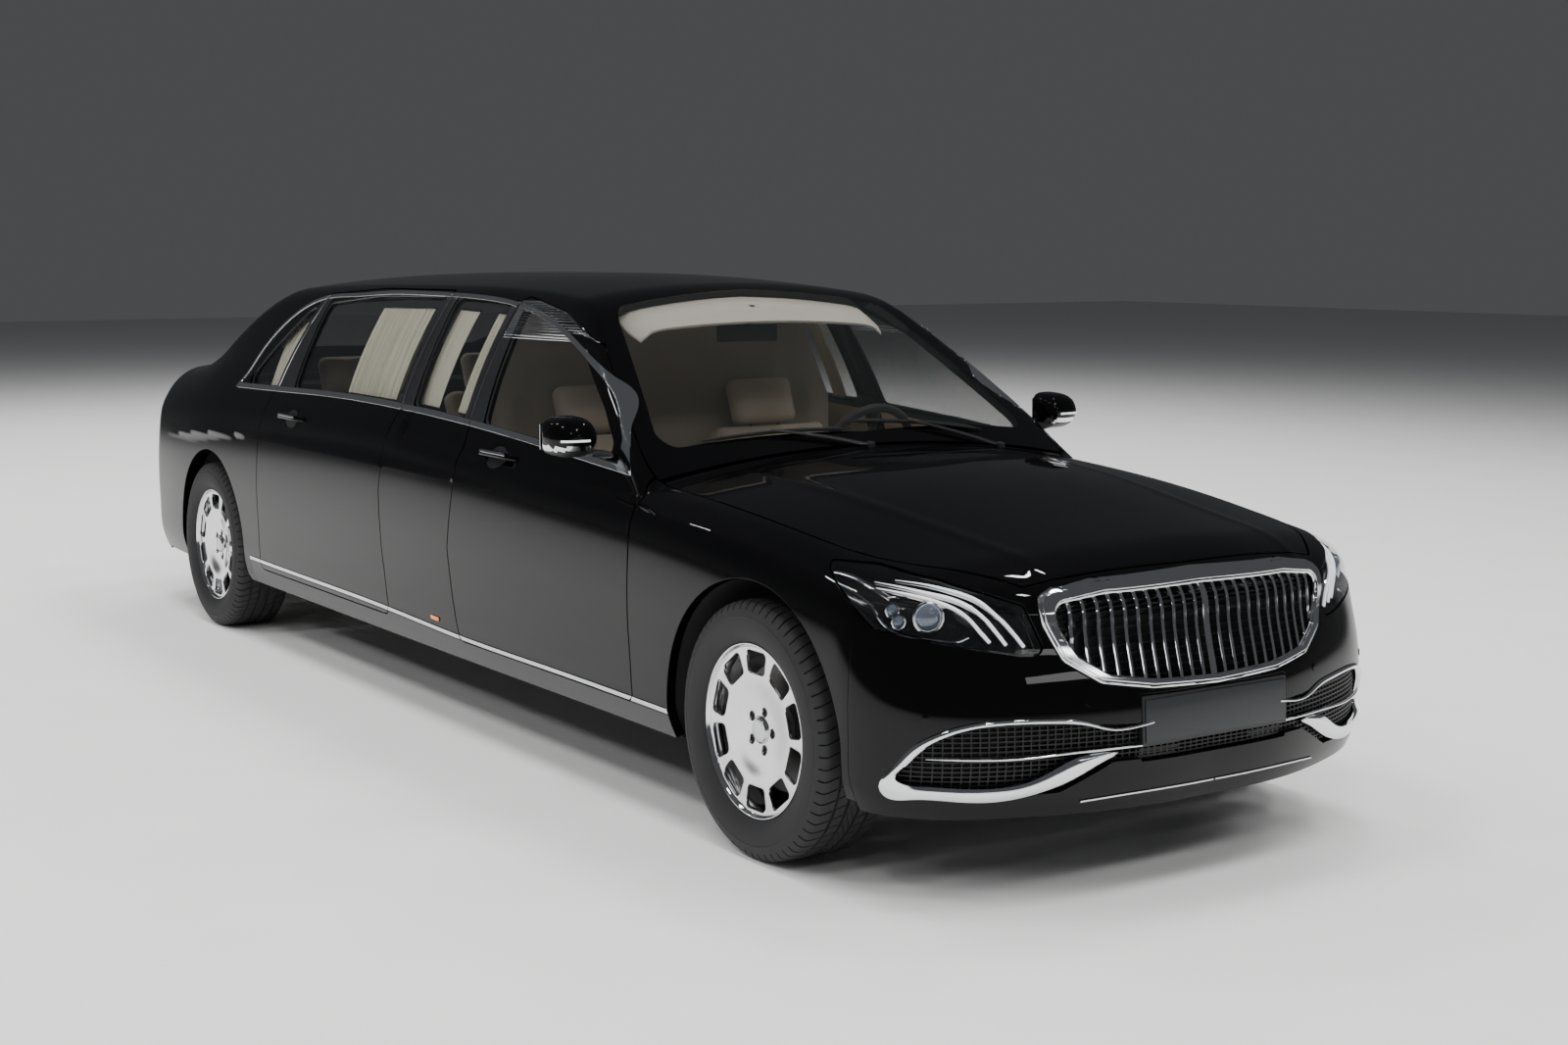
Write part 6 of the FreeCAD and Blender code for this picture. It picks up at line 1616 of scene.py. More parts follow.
def tyre_points():
    """A tyre whose shoulder and ribs are cut into blocks, and whose slits lean across the tread."""
    steps_in_block = ((0.0, 0.0), (0.84, 0.0), (0.865, 1.0), (0.975, 1.0))
    stations = [((i + share) / BLOCKS, cut) for i in range(BLOCKS) for share, cut in steps_in_block]
    r, w, cuttable = section[:, 0], section[:, 1], section[:, 2]
    rows = []
    for at, cut in stations:
        deep = cut * cuttable * np.where(np.abs(w) > 60, 4.6, 3.2)
        lean = np.sign(w) * np.clip(108 - np.abs(w), 0, 92) / 92 * 0.9 / BLOCKS
        turn = 2 * np.pi * (at + lean)
        radius = r - deep
        wide = w - np.sign(w) * deep * np.clip((np.abs(w) - 95) / 20, 0, 1)
        rows.append(columns_of(radius * np.cos(turn), wide, radius * np.sin(turn)))
    return np.concatenate(rows), quads(len(rows), len(section), ring=True, loop=True)


tyre_data = tyre_points()
brake_steel = shader("brake_disc", (0.16, 0.155, 0.15), rough=0.4, metal=0.9, noise=30.0, spread=0.25,
                     stretch=(1, 6, 1))
wheel_dark = shader("wheel_well_dark", (0.03, 0.03, 0.032), rough=0.5, metal=0.6, noise=60.0, spread=0.2)
cap_finish = shader("wheel_cap", (0.66, 0.665, 0.68), rough=0.2, metal=1.0, noise=90.0, spread=0.05)
for end, axle, track in (("front", FRONT_X, 1624.0), ("rear", REAR_X, 1637.0)):
    for side, sign in (("right", -1.0), ("left", 1.0)):
        body = "%s_wheel_%s_unit" % (end, side)
        tag = "%s_%s" % (end, side)
        at = np.array([axle, sign * track / 2, TYRE])

        def placed(data, turned=0.0):
            verts = np.asarray(data[0], float)
            c, s = math.cos(turned), math.sin(turned)
            verts = columns_of(verts[:, 0] * c - verts[:, 2] * s, verts[:, 1],
                               verts[:, 0] * s + verts[:, 2] * c)
            if sign > 0:
                return verts + at, data[1]
            return verts * np.array([1, -1, 1]) + at, turned_over(data[1])

        node = "%s_wheel_%s" % (end, side)
        solid_piece("wheel_face_" + tag, placed(disc_data[:2]), alloy, body, "polished_alloy", [node], 28)
        solid_piece("wheel_rim_" + tag, placed(rim_data), alloy, body, "polished_alloy", angle=40)
        solid_piece("wheel_cap_" + tag, placed(cap_data), cap_finish, body, "polished_alloy", angle=28)
        solid_piece("wheel_well_" + tag, placed(well_data), wheel_dark, body, "cast_metal")
        solid_piece("wheel_bolts_" + tag, placed(bolt_data), wheel_dark, body, "forged_steel", angle=20)
        solid_piece("brake_disc_" + tag, placed(brake_data), brake_steel, body, "cast_metal", angle=30)
        solid_piece("wheel_hub_" + tag, placed(hub_data), cast, body, "cast_metal", angle=30)
        solid_piece("tyre_" + tag, placed(tyre_data), rubber, body, "tyre_rubber",
                    ["%s_tyre_%s" % (end, side)], 32)


# Door mirrors: a loft of rounded sections with a chrome band beneath the cap
def loop_spline(points, count):
    """A closed smooth line through points."""
    points = np.asarray(points, float)
    wrapped = np.concatenate([points[-3:], points, points[:3]])
    t = np.arange(len(wrapped)) - 3.0
    at = np.linspace(0, len(points), count, endpoint=False)
    return np.stack([curve(list(zip(t, wrapped[:, i])))(at) for i in range(wrapped.shape[1])], axis=1)


def loft(rows, cap=True):
    """Points and faces through rows of points, all of one length and closed on themselves."""
    rows = [np.asarray(r, float) for r in rows]
    shape = (len(rows), len(rows[0]))
    return np.concatenate(rows), quads(*shape, ring=True) + (caps(*shape) if cap else [])


MIRROR_X, MIRROR_Z = 1445.7, 1118.6
mirror_section = loop_spline([(-60, -58), (-20, -63), (18, -61), (50, -46), (71, -14), (70, 14), (52, 44),
                              (20, 62), (-24, 67), (-60, 63), (-63, 30), (-63, -26)], 48)
mirror_rows = []
for share in np.linspace(0, 1, 17):
    y = -(914.0 + 145.5 * share)
    grow = float(curve([(0, 0.62), (0.08, 0.80), (0.22, 0.95), (0.45, 1.0), (0.70, 0.965), (0.86, 0.83),
                        (0.95, 0.62), (1.0, 0.36)])(np.array([share]))[0])
    shift = -14.0 * share * share
    mirror_rows.append(columns_of(MIRROR_X + mirror_section[:, 0] * grow + shift, y,
                                 MIRROR_Z + mirror_section[:, 1] * grow * (1.0 - 0.06 * share)))
for side, sign in (("right", 1.0), ("left", -1.0)):
    body = "front_door_%s_unit" % side
    verts, faces = loft(mirror_rows)
    turn = np.array([1.0, sign, 1.0])
    faces = faces if sign > 0 else turned_over(faces)
    cap = solid_piece("mirror_cap_" + side, (verts * turn, faces), [paint, chrome, black_plastic], body,
                      "body_paint", ["mirror_" + side], 50)
    for face in cap.data.polygons:
        z = face.center.z / MM
        ahead = face.center.x / MM > MIRROR_X - 50
        face.material_index = 0 if z > MIRROR_Z - 24 or not ahead else (1 if z > MIRROR_Z - 38 else 2)
    glass_rows = []
    for share in np.linspace(0.12, 0.92, 9):
        y = -(914.0 + 145.5 * share)
        tall = 50.0 * (1 - abs(share - 0.5) ** 3 * 3.0)
        glass_rows.append([(MIRROR_X - 65.5 - 14 * share * share, y, MIRROR_Z - tall),
                           (MIRROR_X - 65.5 - 14 * share * share, y, MIRROR_Z + tall)])
    count = len(glass_rows)
    front_face = np.array([p for row in glass_rows for p in row])
    total = len(front_face)
    both_faces, gfaces = doubled(front_face, quads(count, 2), [2.5, 0, 0])
    loop = [2 * i for i in range(count)] + [2 * i + 1 for i in reversed(range(count))]
    gfaces += [(loop[i], loop[(i + 1) % len(loop)], loop[(i + 1) % len(loop)] + total, loop[i] + total)
               for i in range(len(loop))]
    solid_piece("mirror_glass_" + side, (both_faces * turn, gfaces), mirror_glass, body, "window_glass",
                angle=20)
    lamp_path = np.array([row[np.argmax(row[:, 0] - 0.35 * np.abs(row[:, 2] - (MIRROR_Z - 4)))]
                          for row in mirror_rows[4:15]])
    lamp_path[:, 2] = MIRROR_Z - 6.0
    lamp_n = [1.0, -0.15, 0.0]
    lamp_strip = sweep(lamp_path, lamp_n, oval(7.0, 5.0, 8))
    solid_piece("mirror_lamp_" + side, (lamp_strip[0] * turn, lamp_strip[1]), led_white, body, "lamp_glass")
    foot = []
    foot_section = loop_spline([(-42, -9), (0, -12), (40, -8), (52, 0), (40, 9), (0, 12), (-42, 10),
                                (-52, 0)], 28)
    for share in np.linspace(0, 1, 7):
        y = -(868.0 + 62.0 * share)
        foot.append(columns_of(MIRROR_X + 6 + foot_section[:, 0] * (1.15 - 0.3 * share), y,
                              MIRROR_Z - 56 + foot_section[:, 1] + 8 * share))
    fverts, ffaces = loft(foot)
    solid_piece("mirror_foot_" + side, (fverts * turn, ffaces), black_plastic, body, "black_plastic",
                angle=50)


# Wipers at rest along the foot of the windscreen
wiper_parts = []
for y0, reach in ((-47.5, 553.0), (493.7, 553.0)):
    share = np.linspace(0, 1, 26)
    x = SCREEN_X - 75.0 - 34.0 * share
    y = y0 - reach * share
    base = from_top(columns_of(x, y))
    n = normals_at(base)
    arch = 4.0 * np.sin(np.pi * share)
    blade = base + n * (7.0 + arch)[:, None]
    taper = np.clip(np.minimum(share, 1 - share) * 9, 0.25, 1.0)
    wiper_parts.append(sweep(blade, n, np.array([(-2.2, -7.5), (2.2, -7.5), (6.5, 0.5), (3.0, 5.5),
                                                 (-3.0, 5.5), (-6.5, 0.5)])[None]
                             * taper[:, None, None]))
    arm_share = np.linspace(0.0, 0.55, 14)
    foot_x = SCREEN_X + 6.0
    arm_x = foot_x + (SCREEN_X - 75.0 - 34.0 * 0.55 - foot_x) * (arm_share / 0.55) ** 0.8
    arm_y = y0 + 20.0 - (reach * 0.55 + 20.0) * arm_share / 0.55
    arm_base = from_top(columns_of(arm_x, arm_y))
    arm_n = normals_at(arm_base)
    arm = arm_base + arm_n * np.linspace(9.0, 17.0, 14)[:, None]
    width = np.linspace(1.25, 0.6, 14)
    wiper_parts.append(sweep(arm, arm_n, oval(17.0, 7.0, 10, 3.0)[None] * width[:, None, None]))
    hub_at = arm[0]
    wiper_parts.append(turned_piece(hub_at, [0.15, 0, 1.0], [(-14, 15), (4, 15), (7, 13), (8.5, 7)], 24))
solid_piece("wipers", merge(wiper_parts), black_plastic, "body_shell", "black_plastic", ["wiper_arms"], 40)

# Rear: a chrome rail and bare plate on the boot lid, lamp bars, reflectors and tailpipe frames
rail_y = np.linspace(-430, 430, 60)
rail_at = leave(columns_of(LID_X, rail_y, 0.548 * HEIGHT), [-1.0, 0, 0])
rail_n = normals_at(rail_at)
ends = np.clip((430 - np.abs(rail_y)) / 60, 0.25, 1.0)
solid_piece("boot_rail", sweep(rail_at + rail_n * 1.5, rail_n,
                               oval(26.0, 12.0, 12, 2.6)[None] * ends[:, None, None]),
            chrome, "boot_lid_unit")
back_plate_x = float(leave([[LID_X, 0, 0.468 * HEIGHT]], [[-1.0, 0, 0]])[0][0])
back_plate = np.array([back_plate_x - 4.0, 0.0, 0.468 * HEIGHT])
solid_piece("rear_plate_frame", rounded_box(back_plate + [3.0, 0, 0], (12.0, 534.0, 126.0), 4.0),
            black_plastic, "boot_lid_unit", "black_plastic")
solid_piece("rear_plate_blank", rounded_box(back_plate - [2.0, 0, 0], (5.0, 520.0, 112.0), 1.8), white_plate,
            "boot_lid_unit", "black_plastic")
lamp_bars = []
lamp_shape = dense(rounded(tail_lamp_outline, SMALL), 4.0)
for level in (0.475, 0.510, 0.545):
    chord = np.linspace(0.2265 * LENGTH, 0.2835 * LENGTH, 120)
    there = chord[within(columns_of(chord, level * HEIGHT), grown(lamp_shape, -8.0))]
    if len(there) < 8:
        continue
    chord = np.linspace(there[0], there[-1], 30)
    line = from_slant(columns_of(chord, level * HEIGHT), -1, 0, 0)[:30]
    bar_n = normals_at(line)
    lamp_bars.append(sweep(line + bar_n * 1.5, bar_n, oval(8.0, 4.0, 8, 2.6)))
if lamp_bars:
    red_guide = shader("red_light_guide", (0.62, 0.03, 0.03), rough=0.2, coat=0.8, noise=40.0, spread=0.05)
    solid_piece("tail_lamp_bars_right", merge(lamp_bars), red_guide, "body_shell", "lamp_glass", pair=True)
PIPE_Y = -560.0
centre = leave([[Tail.pivot, PIPE_Y, 0.186 * HEIGHT]], [[-1.0, 0, 0]])[0]
ring = oval(190.0, 66.0, 44, 3.2)
inner = oval(168.0, 46.0, 44, 3.2)
rows = []
for out, loop in ((-18.0, ring * 0.99), (7.0, ring), (10.0, ring * 0.97), (9.0, inner * 1.03),
                  (-34.0, inner * 0.96)):
    rows.append(columns_of(centre[0] - out, PIPE_Y + loop[:, 0], centre[2] + loop[:, 1]))
pipe_verts, pipe_faces = loft(rows, cap=False)
solid_piece("tailpipe_frame_right", (pipe_verts, pipe_faces + [tuple(range(43, -1, -1))]), chrome,
            "body_shell", angle=30, pair=True)
dark = [columns_of(centre[0] + deep, PIPE_Y + inner[:, 0] * 0.97, centre[2] + inner[:, 1] * 0.97)
        for deep in (20.0, 32.0)]
solid_piece("tailpipe_dark_right", loft(dark), under_coat, "body_shell", "underbody", pair=True)
trim_y = np.linspace(-455, 455, 50)
trim_at = leave(columns_of(Tail.pivot, trim_y, 0.205 * HEIGHT), [-1.0, 0, 0])
solid_piece("rear_trim", sweep(trim_at + normals_at(trim_at), normals_at(trim_at), oval(8.0, 8.0, 8)),
            chrome, "body_shell")
reflector = leave(columns_of(Tail.pivot, np.linspace(-740, -600, 20), 0.262 * HEIGHT),
                  [-1.0, 0, 0])
solid_piece("reflector_right", sweep(reflector, normals_at(reflector), oval(18.0, 6.0, 10, 3.0)), tail_red,
            "body_shell", "lamp_glass", pair=True)


# Cabin: padded seats, curtains, linings and small fittings
SEAT_BASE = 410.0
SEAM_WIDTH = 5.0
SEAM_DEPTH = 5.0
CUSHION_TILT = math.radians(3.0)
BACK_RAKE = math.radians(20.0)
ACROSS = np.array([0, 1.0, 0])


def pillow(size, bulge, pinch, rounding):
    """A closed padded block centred on zero: crowned faces, sides that pull in between the corners."""
    counts = (30, 30, 12)
    lines = [np.linspace(-1, 1, c) for c in counts]
    lookup, verts, faces = {}, [], []

    def corner(p):
        key = tuple(np.round(p, 5))
        if key not in lookup:
            lookup[key] = len(verts)
            verts.append(p)
        return lookup[key]

    for axis in range(3):
        a, b = [k for k in range(3) if k != axis]
        for end in (-1.0, 1.0):
            for i in range(counts[a] - 1):
                for j in range(counts[b] - 1):
                    quad = []
                    for di, dj in ((0, 0), (1, 0), (1, 1), (0, 1)):
                        p = np.zeros(3)
                        p[axis], p[a], p[b] = end, lines[a][i + di], lines[b][j + dj]
                        quad.append(corner(p))
                    flip_it = (end > 0) == (axis == 1)
                    faces.append(tuple(reversed(quad)) if flip_it else tuple(quad))
    p = np.array(verts)
    half = np.asarray(size, float) / 2
    q = p * half
    inner = half - rounding
    core = np.clip(q, -inner, inner)
    away = q - core
    length = np.linalg.norm(away, axis=1)
    q = np.where((length > 0)[:, None], core + away / np.maximum(length, 1e-9)[:, None]
                 * np.minimum(length, rounding)[:, None], q)
    u, v, w = (q / half).T
    rise = (1 - np.clip(np.abs(u), 0, 1) ** 2.4) * (1 - np.clip(np.abs(v), 0, 1) ** 2.4)
    q[:, 2] += np.sign(w) * bulge * rise * np.clip(np.abs(w) * 1.4 - 0.4, 0, 1)
    squeeze = 1 - pinch * (1 - np.abs(w)) * np.clip(np.abs(u), 0, 1) ** 4 * (1 - v * v)
    q[:, 0] *= squeeze
    q[:, 1] *= 1 - pinch * (1 - np.abs(w)) * np.clip(np.abs(v), 0, 1) ** 4 * (1 - u * u)
    return q, faces


def channels(q, half, seams_across, border):
    """Sewn lines on the upper face: a border panel and channels across it."""
    top = np.clip((q[:, 2] / half[2] - 0.35) / 0.3, 0, 1)
    u, v = q[:, 0], q[:, 1]
    edge = np.maximum(np.abs(u) - (half[0] - border), np.abs(v) - (half[1] - border))
    dip = ridge(edge, SEAM_WIDTH)
    inside = edge < 0
    for at in seams_across:
        dip = np.maximum(dip, ridge(u - at, SEAM_WIDTH) * inside)
    q[:, 2] -= SEAM_DEPTH * top * dip
    return q


def swelled(name, data, pressure, cap):
    """The padded block after a short cloth simulation under inside pressure, its movement limited."""
    verts, faces = data
    mesh = bpy.data.meshes.new(name + "_sim")
    mesh.from_pydata([tuple(v * MM) for v in verts], [], faces)
    obj = bpy.data.objects.new(name + "_sim", mesh)
    bpy.context.scene.collection.objects.link(obj)
    remesh = obj.modifiers.new("remesh", "REMESH")
    remesh.mode = "VOXEL"
    remesh.voxel_size = 0.012
    cloth_it = obj.modifiers.new("cloth", "CLOTH")
    cloth_it.settings.use_pressure = True
    cloth_it.settings.uniform_pressure_force = pressure
    cloth_it.settings.quality = 4
    cloth_it.settings.tension_stiffness = 25
    cloth_it.settings.effector_weights.gravity = 0.0
    remesh.show_viewport = True
    depsgraph = bpy.context.evaluated_depsgraph_get()
    rest_object = obj.copy()
    rest_object.data = obj.data.copy()
    rest_object.modifiers.remove(rest_object.modifiers["cloth"])
    bpy.context.scene.collection.objects.link(rest_object)
    depsgraph.update()
    rest_mesh = bpy.data.meshes.new_from_object(rest_object.evaluated_get(depsgraph))
    scene = bpy.context.scene
    for step in range(1, 15):
        scene.frame_set(step)
    depsgraph = bpy.context.evaluated_depsgraph_get()
    soft_mesh = bpy.data.meshes.new_from_object(obj.evaluated_get(depsgraph))
    before = np.array([tuple(v.co) for v in rest_mesh.vertices]) / MM
    after = np.array([tuple(v.co) for v in soft_mesh.vertices]) / MM
    moved = after - before if len(after) == len(before) else np.zeros_like(before)
    far = np.linalg.norm(moved, axis=1)
    limit = cap * (1 - np.exp(-far / cap)) / np.maximum(far, 1e-9)
    after = before + moved * limit[:, None]
    out_faces = [tuple(p.vertices) for p in rest_mesh.polygons]
    scene.frame_set(1)
    for thing in (obj, rest_object):
        bpy.data.objects.remove(thing)
    return after, out_faces


def softened(name, size, bulge, pinch, rounding, seams_across, border, cap=8.0):
    """Points and faces of one upholstered pad, about its own centre with its outer face up."""
    half = np.asarray(size, float) / 2
    verts, faces = pillow(size, bulge, pinch, rounding)
    verts, faces = swelled(name, (verts, faces), 4.0, cap)
    return channels(verts, half, seams_across, border), faces


cushion = softened("cushion", (500.0, 524.0, 138.0), 8.0, 0.03, 38.0, (-120, -40, 40, 120), 78.0)
back_pad = softened("backrest", (640.0, 500.0, 112.0), 8.0, 0.03, 34.0, (-200, -120, -40, 40, 120, 200), 76.0)
head_pad = softened("headrest", (180.0, 276.0, 82.0), 7.0, 0.04, 34.0, (), 34.0, 5.0)
seat_sets = {"front_seats": ((760.9, -370.0, 1), (760.9, 370.0, 1)),
             "rear_facing_seats": ((-34.3, -370.0, -1), (-34.3, 370.0, -1)),
             "rear_seats": ((-1523.2, -350.0, 1), (-1523.2, 350.0, 1))}


def frame_of(origin, along_it, across_it, up):
    """Turns a pad's own (u, v, w) into the car's frame."""
    matrix = np.stack([along_it, across_it, up])
    return lambda verts: np.asarray(origin) + verts @ matrix


piping = shader("seat_piping", (0.42, 0.33, 0.235), rough=0.5, noise=60.0, spread=0.12, sheen=0.2)
for node, places in seat_sets.items():
    for hip, y, facing in places:
        tag = "%s_%s" % (node, "right" if y < 0 else "left")
        pads = []
        centre = (hip + facing * 266.0, y, SEAT_BASE + 72.0)
        along_it = np.array([facing * math.cos(CUSHION_TILT), 0, math.sin(CUSHION_TILT)])
        up = np.array([-facing * math.sin(CUSHION_TILT), 0, math.cos(CUSHION_TILT)])
        pads.append(("cushion", cushion, frame_of(centre, along_it, ACROSS, up)))
        up_back = np.array([-facing * math.sin(BACK_RAKE), 0, math.cos(BACK_RAKE)])
        out = np.array([facing * math.cos(BACK_RAKE), 0, math.sin(BACK_RAKE)])
        back_foot = np.array([hip - facing * 57.0, y, SEAT_BASE + 6.0])
        middle = back_foot + up_back * 332.0
        pads.append(("backrest", back_pad, frame_of(middle, up_back, ACROSS, out)))
        head = back_foot + up_back * 742.0 + out * 4.0
        pads.append(("headrest", head_pad, frame_of(head, up_back, ACROSS, out)))
        for part, (verts, faces), turn_it in pads:
            piece = solid_piece("%s_%s" % (part, tag), (turn_it(verts), faces), beige, "body_shell",
                                "seat_leather", [node] if part == "cushion" else (), 70)
        posts_data = []
        for offset in (-62.0, 62.0):
            foot = middle + up_back * 300.0 + np.array([0, offset, 0])
            path = foot + up_back * np.linspace(0, 96, 5)[:, None]
            posts_data.append(sweep(path, out, oval(13.0, 13.0, 12)))
        base = np.array([hip + facing * 265.0, y, SEAT_BASE - 66.0])
        posts_data.append(rounded_box(base, (430.0, 300.0, 118.0), 18.0))
        for offset in (-170.0, 170.0):
            posts_data.append(rounded_box(base + [0, offset, -48.0], (500.0, 38.0, 26.0), 6.0))
        solid_piece("seat_frame_" + tag, merge(posts_data), dark_trim, "body_shell", "cabin_trim")
        loop = dense(rounded([(-248, -258), (248, -258), (248, 258), (-248, 258)], 46.0), 12.0)
        ring = frame_of(centre, along_it, ACROSS, up)(columns_of(loop[:, 0], loop[:, 1], 52.0))
        solid_piece("seat_piping_" + tag, sweep(ring, up, oval(6.5, 6.5, 8), True), piping,
                    "body_shell", "seat_leather")


# Curtains, gathered on a rail inside the windows
CURTAIN_CLEAR = 34.0


def curtain_piece(name, shares, first_share, last_share, body, node, pleat=26.0, deep=34.0, loose=0.62):
    """A pleated curtain inside a window, on both sides of the car, with a rail above and below it."""
    points = np.array(outline_of(shares))
    left, right = points[:, 0].min(), points[:, 0].max()
    x0 = left + (right - left) * first_share
    x1 = left + (right - left) * last_share
    columns = max(int((x1 - x0) / 2.0), 24)
    xs = np.linspace(x0, x1, columns)
    levels = np.linspace(0, 1, 34)
    high = np.interp(xs, *np.array(sorted((x, z) for x, z in points if z > 0.8 * HEIGHT)).T) - 52.0
    low = np.interp(xs, *np.array(sorted((x, z) for x, z in points if z < 0.8 * HEIGHT)).T) + 10.0
    steps = pleat * (0.55 + 0.9 * np.modf(0.618 * np.arange(1, 60))[0])
    steps[np.cumsum(steps) > loose * (x1 - x0)] *= 1.9
    creases = x0 + np.cumsum(steps)
    creases = creases[creases < x1 - 4.0]
    depths = deep * (0.45 + 0.55 * np.modf(0.414 * np.arange(3, 3 + len(creases)))[0])
    widths = 2.6 + 2.6 * np.modf(0.732 * np.arange(2, 2 + len(creases)))[0]
    verts = []
    for level in levels:
        z = low + (high - low) * level
        tight = 0.55 + 0.45 * np.sin(np.pi * np.clip(level, 0.03, 0.97)) ** 0.5
        sway = 5.0 * np.sin(2.3 * level + 0.9 * np.arange(len(creases))) * (1.0 - level)
        away = xs[:, None] - (creases + sway)[None, :]
        valley = (depths * np.exp(-(away / widths) ** 2)).max(axis=1)
        hung = -(cabin_side(xs, z) - CURTAIN_CLEAR - 7.0)
        y = hung + tight * valley + 1.6 * np.sin(0.11 * xs + 2.0 * level)
        x = xs + 1.2 * np.sin(0.3 * xs + 2.6 * level)
        verts.append(columns_of(x, y, z))
    verts = np.concatenate(verts)
    faces = quads(len(levels), columns)
    for side, sign in (("right", 1.0), ("left", -1.0)):
        owner = body.replace("_right", "_" + side)
        piece = mesh_piece("%s_%s" % (name, side), verts * np.array([1.0, sign, 1.0]),
                           faces if sign > 0 else turned_over(faces), curtain_cloth, owner)
        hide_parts(node.replace("_right", "_" + side))
    rails = []
    for edge_z in (high, low):
        z = edge_z + 4.0 if edge_z is high else edge_z - 4.0
        path = columns_of(xs, -(cabin_side(xs, z) - CURTAIN_CLEAR - 12.0), z)[::4]
        rails.append(sweep(path, [0.0, 0.0, 1.0], oval(7.0, 7.0, 8)))
    solid_piece(name + "_rails_right", merge(rails), brushed, body, pair=True)


curtain_piece("door_curtain", rear_glass_shares, 0.46, 0.885, "rear_door_right_unit",
              "rear_door_curtain_right", 21.0)
curtain_piece("middle_curtain", middle_glass_shares, 0.02, 0.36, "body_shell", "cabin_curtains", 34.0, 7.0)
curtain_piece("middle_front_curtain", middle_glass_shares, 0.68, 0.87, "body_shell", "cabin_curtains", 15.0,
              20.0, 2.0)
curtain_piece("quarter_curtain", quarter_glass_shares, 0.44, 0.76, "body_shell", "cabin_curtains", 18.0,
              20.0, 2.0)

# Linings: headlining, door trims and a side trim between the doors
lining_xs = np.linspace(-1780, 1050, 60)
lining_rows = []
for x in lining_xs:
    half_y = np.interp(x, [-1780, -1500, 1000, 1050], [470, 520, 520, 500])
    y = np.linspace(-half_y, half_y, 25)
    top = leave(columns_of(x, y, CORE_Z), [0, 0, 1.0])
    drop = 36.0 + 30.0 * np.clip((np.abs(y) / half_y - 0.86) / 0.14, 0, 1) ** 2
    lining_rows.append(columns_of(top[:, 0], top[:, 1], top[:, 2] - drop))
lining = np.concatenate(lining_rows)
solid_piece("headlining", doubled(lining, quads(60, 25), [0, 0, 6.0]), cream, "body_shell", "cabin_trim",
            angle=60)
TRIM_LOW, TRIM_INSET, ARMREST_Z = 420.0, 72.0, 715.0


def lining_panel(name, x0, x1, body):
    """A door or side trim: a soft-edged panel inside the wall with an armrest."""
    columns, rows = 46, 22
    xs = np.linspace(x0, x1, columns)
    verts = []
    for r in np.linspace(0, 1, rows):
        z = TRIM_LOW + (belt_line(xs) - 6.0 - TRIM_LOW) * r
        wall = leave(columns_of(xs, -CORE_Y, z), [0, -1.0, 0])[:, 1]
        rest = 34.0 * np.exp(-((z - ARMREST_Z) / 34.0) ** 4) * np.clip(np.minimum((xs - x0 - 90) / 70,
                                                                                  (x1 - 90 - xs) / 70), 0, 1)
        soft = 7.0 * np.sin(np.pi * np.clip((xs - x0) / (x1 - x0), 0, 1)) ** 0.3
        verts.append(columns_of(xs, wall + TRIM_INSET + rest + soft, z))
    verts = np.concatenate(verts)
    solid_piece(name, doubled(verts, quads(rows, columns), [0, -6.0, 0]), beige, body, "cabin_trim",
                angle=50, pair=True)


lining_panel("front_door_trim_right", 640, 1500, "front_door_right_unit")
lining_panel("rear_door_trim_right", -1230, -140, "rear_door_right_unit")
lining_panel("middle_trim_right", -60, 520, "body_shell")

# Interior mirror
mirror_at = np.array([930.0, 0.0, 1400.0])
solid_piece("inside_mirror", rounded_box(mirror_at, (22.0, 250.0, 62.0), 10.0), dark_trim, "body_shell",
            "cabin_trim")
stem = np.array([[935.0, 0, 1428.0], [950, 0, 1470], [962, 0, 1496]])
solid_piece("inside_mirror_stem", sweep(stem, [1.0, 0, 0], oval(26.0, 14.0, 12)), dark_trim, "body_shell",
            "cabin_trim")
solid_piece("inside_mirror_face", rounded_box(mirror_at - [11.5, 0, 0], (2.0, 236.0, 50.0), 0.8),
            mirror_glass, "body_shell", "window_glass")


# Finishes of the solids that are shown as they are
node_finish = {
    "headlamps": lamp_glass, "radiator_grille": chrome, "front_wheel_right": alloy, "front_wheel_left": alloy,
    "rear_wheel_right": alloy, "rear_wheel_left": alloy, "front_tyre_right": rubber,
    "front_tyre_left": rubber, "rear_tyre_right": rubber, "rear_tyre_left": rubber,
    "mirror_right": paint, "mirror_left": paint,
    "front_seats": beige, "rear_seats": beige, "rear_facing_seats": beige, "dashboard": dark_trim,
    "rear_door_curtain_right": curtain_cloth, "rear_door_curtain_left": curtain_cloth,
    "cabin_curtains": curtain_cloth, "centre_console": dark_trim, "partition": partition_leather,
    "floor_pan": under_coat, "bulkheads": under_coat, "engine_and_gearbox": cast,
    "front_axle": steel, "rear_axle": steel, "front_knuckle_right": cast,
    "front_knuckle_left": cast, "exhaust_system": exhaust, "wiper_arms": black_plastic,
    "steering_wheel": wheel_trim,
}
for name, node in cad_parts.items():
    node.data.materials.clear()
    node.data.materials.append(node_finish.get(name, paint))


# Floor, light and camera
FLOOR_HALF = 40
CEILING_HEIGHT = 5.6
CEILING_POWER = 96
SPOT_HEIGHT = 5.5
SPOT_POWER = 13
floor_mesh = bpy.data.meshes.new("floor")
floor_corners = [(x * FLOOR_HALF, y * FLOOR_HALF, 0) for x, y in ((-1, -1), (1, -1), (1, 1), (-1, 1))]
floor_mesh.from_pydata(floor_corners, [], [(0, 1, 2, 3)])
floor = bpy.data.objects.new("studio_floor", floor_mesh)
bpy.context.scene.collection.objects.link(floor)
floor_mesh.materials.append(shader("pale_floor", (0.72, 0.72, 0.71), rough=0.75, noise=3.0, spread=0.03,
                                   bump=0.1, bump_noise=60.0))


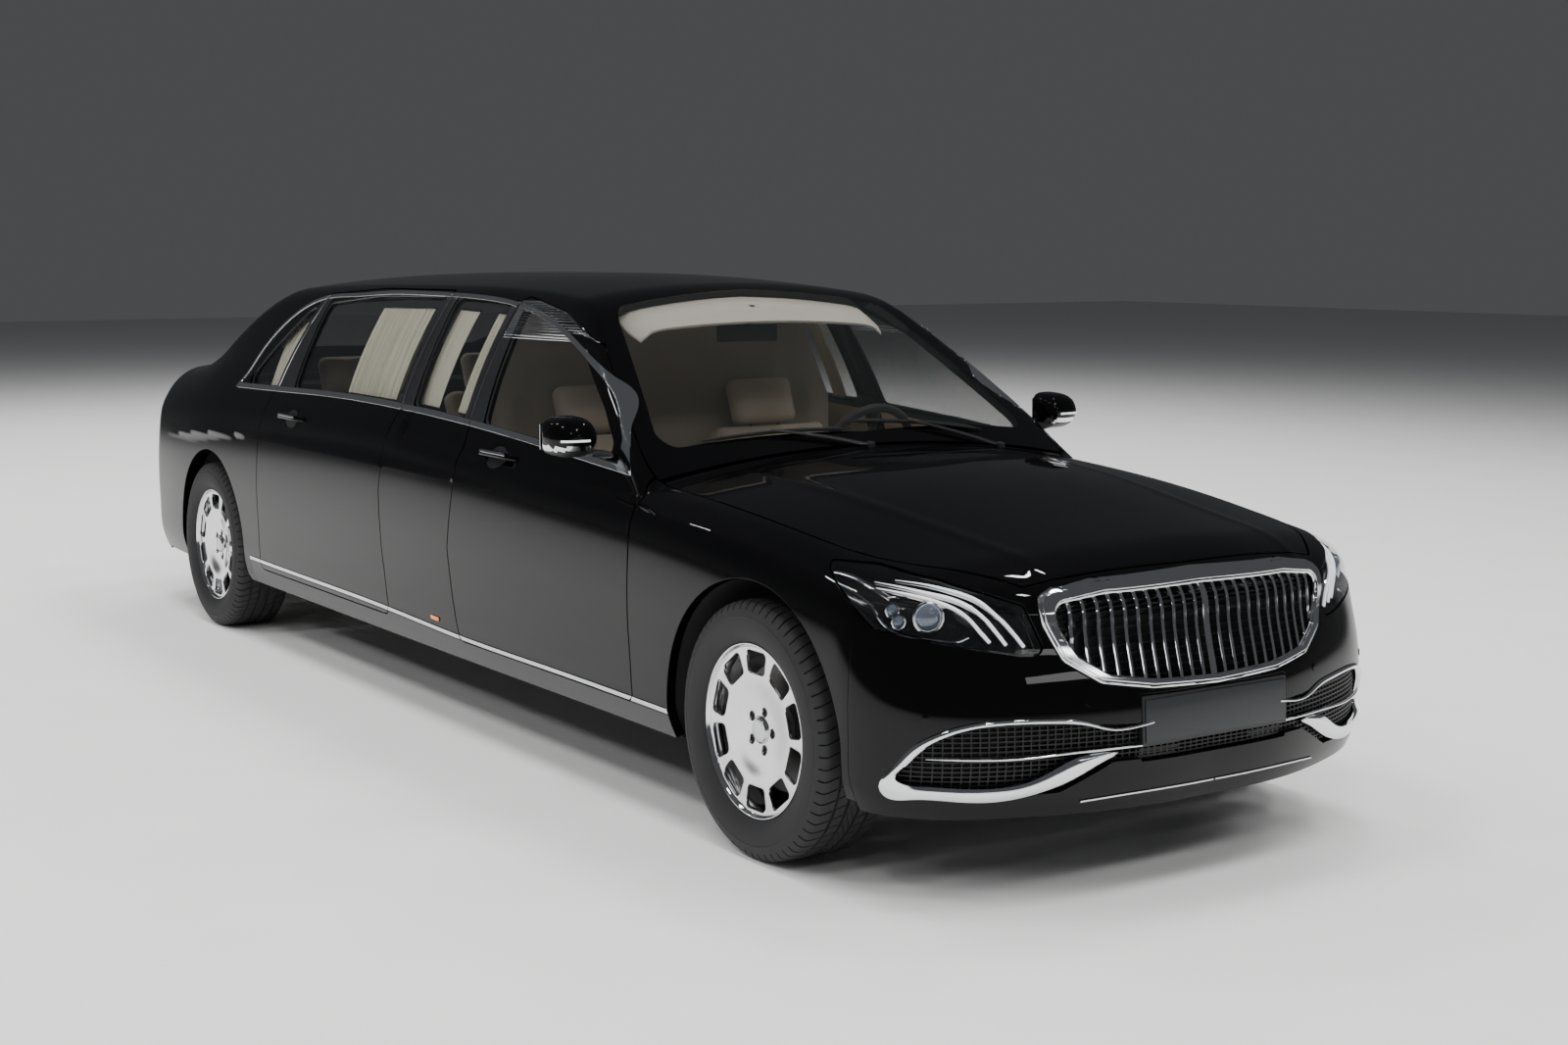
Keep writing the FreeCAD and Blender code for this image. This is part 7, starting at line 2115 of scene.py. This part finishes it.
def area_light(name, at, toward, size, power, mirrored=True):
    data = bpy.data.lights.new(name, "AREA")
    data.shape = "RECTANGLE"
    data.size, data.size_y = size
    data.energy = power
    light = bpy.data.objects.new(name, data)
    light.location = at
    light.visible_glossy = mirrored
    light.rotation_euler = (Vector(toward) - Vector(at)).to_track_quat("-Z", "Y").to_euler()
    bpy.context.scene.collection.objects.link(light)


for row, y in enumerate((-8.0, -4.8, -1.6, 1.6, 4.8, 9.0)):
    for x in (-13.0, -9.0, -5.5, -2.0, 1.5, 5.0, 8.5):
        area_light("ceiling_%d_%d" % (row, int(x * 10 + 200)), (x, y, CEILING_HEIGHT), (x, y, 0.0),
                   (1.3, 1.3), CEILING_POWER, False)
spots = ((-4.0, -2.6), (-0.8, -2.0), (2.2, -2.4), (4.6, 0.6), (6.4, -1.4), (1.6, 1.8), (8.6, 1.6))
for k, (x, y) in enumerate(spots):
    area_light("spot_%d" % k, (x, y, SPOT_HEIGHT), (x, y, 0.0), (0.5, 0.11), SPOT_POWER)
area_light("front_bank", (10.5, 1.0, 2.6), (3.0, 0.0, 0.6), (3.6, 0.22), 14)
area_light("side_bank", (2.0, -9.5, 2.4), (1.0, 0.0, 0.7), (7.0, 1.2), 60, False)
world = bpy.data.worlds.new("studio")
bpy.context.scene.world = world
world.use_nodes = True
world.node_tree.nodes["Background"].inputs["Color"].default_value = (0.074, 0.076, 0.081, 1.0)
world.node_tree.nodes["Background"].inputs["Strength"].default_value = 1.0

camera_data = bpy.data.cameras.new("camera")
camera = bpy.data.objects.new("camera", camera_data)
bpy.context.scene.collection.objects.link(camera)
bpy.context.scene.camera = camera
camera_data.sensor_fit = "HORIZONTAL"
camera_data.sensor_width = 36.0
camera_data.lens = FOCAL / PHOTO_WIDTH * camera_data.sensor_width
camera_data.clip_end = 200.0
yaw, pitch, roll = CAMERA_TURN
look = Vector((math.cos(yaw) * math.cos(pitch), math.sin(yaw) * math.cos(pitch), math.sin(pitch)))
turned = look.to_track_quat("-Z", "Y") @ Matrix.Rotation(-roll, 3, "Z").to_quaternion()
camera.rotation_mode = "QUATERNION"
camera.location = Vector(CAMERA) * MM
camera.rotation_quaternion = turned
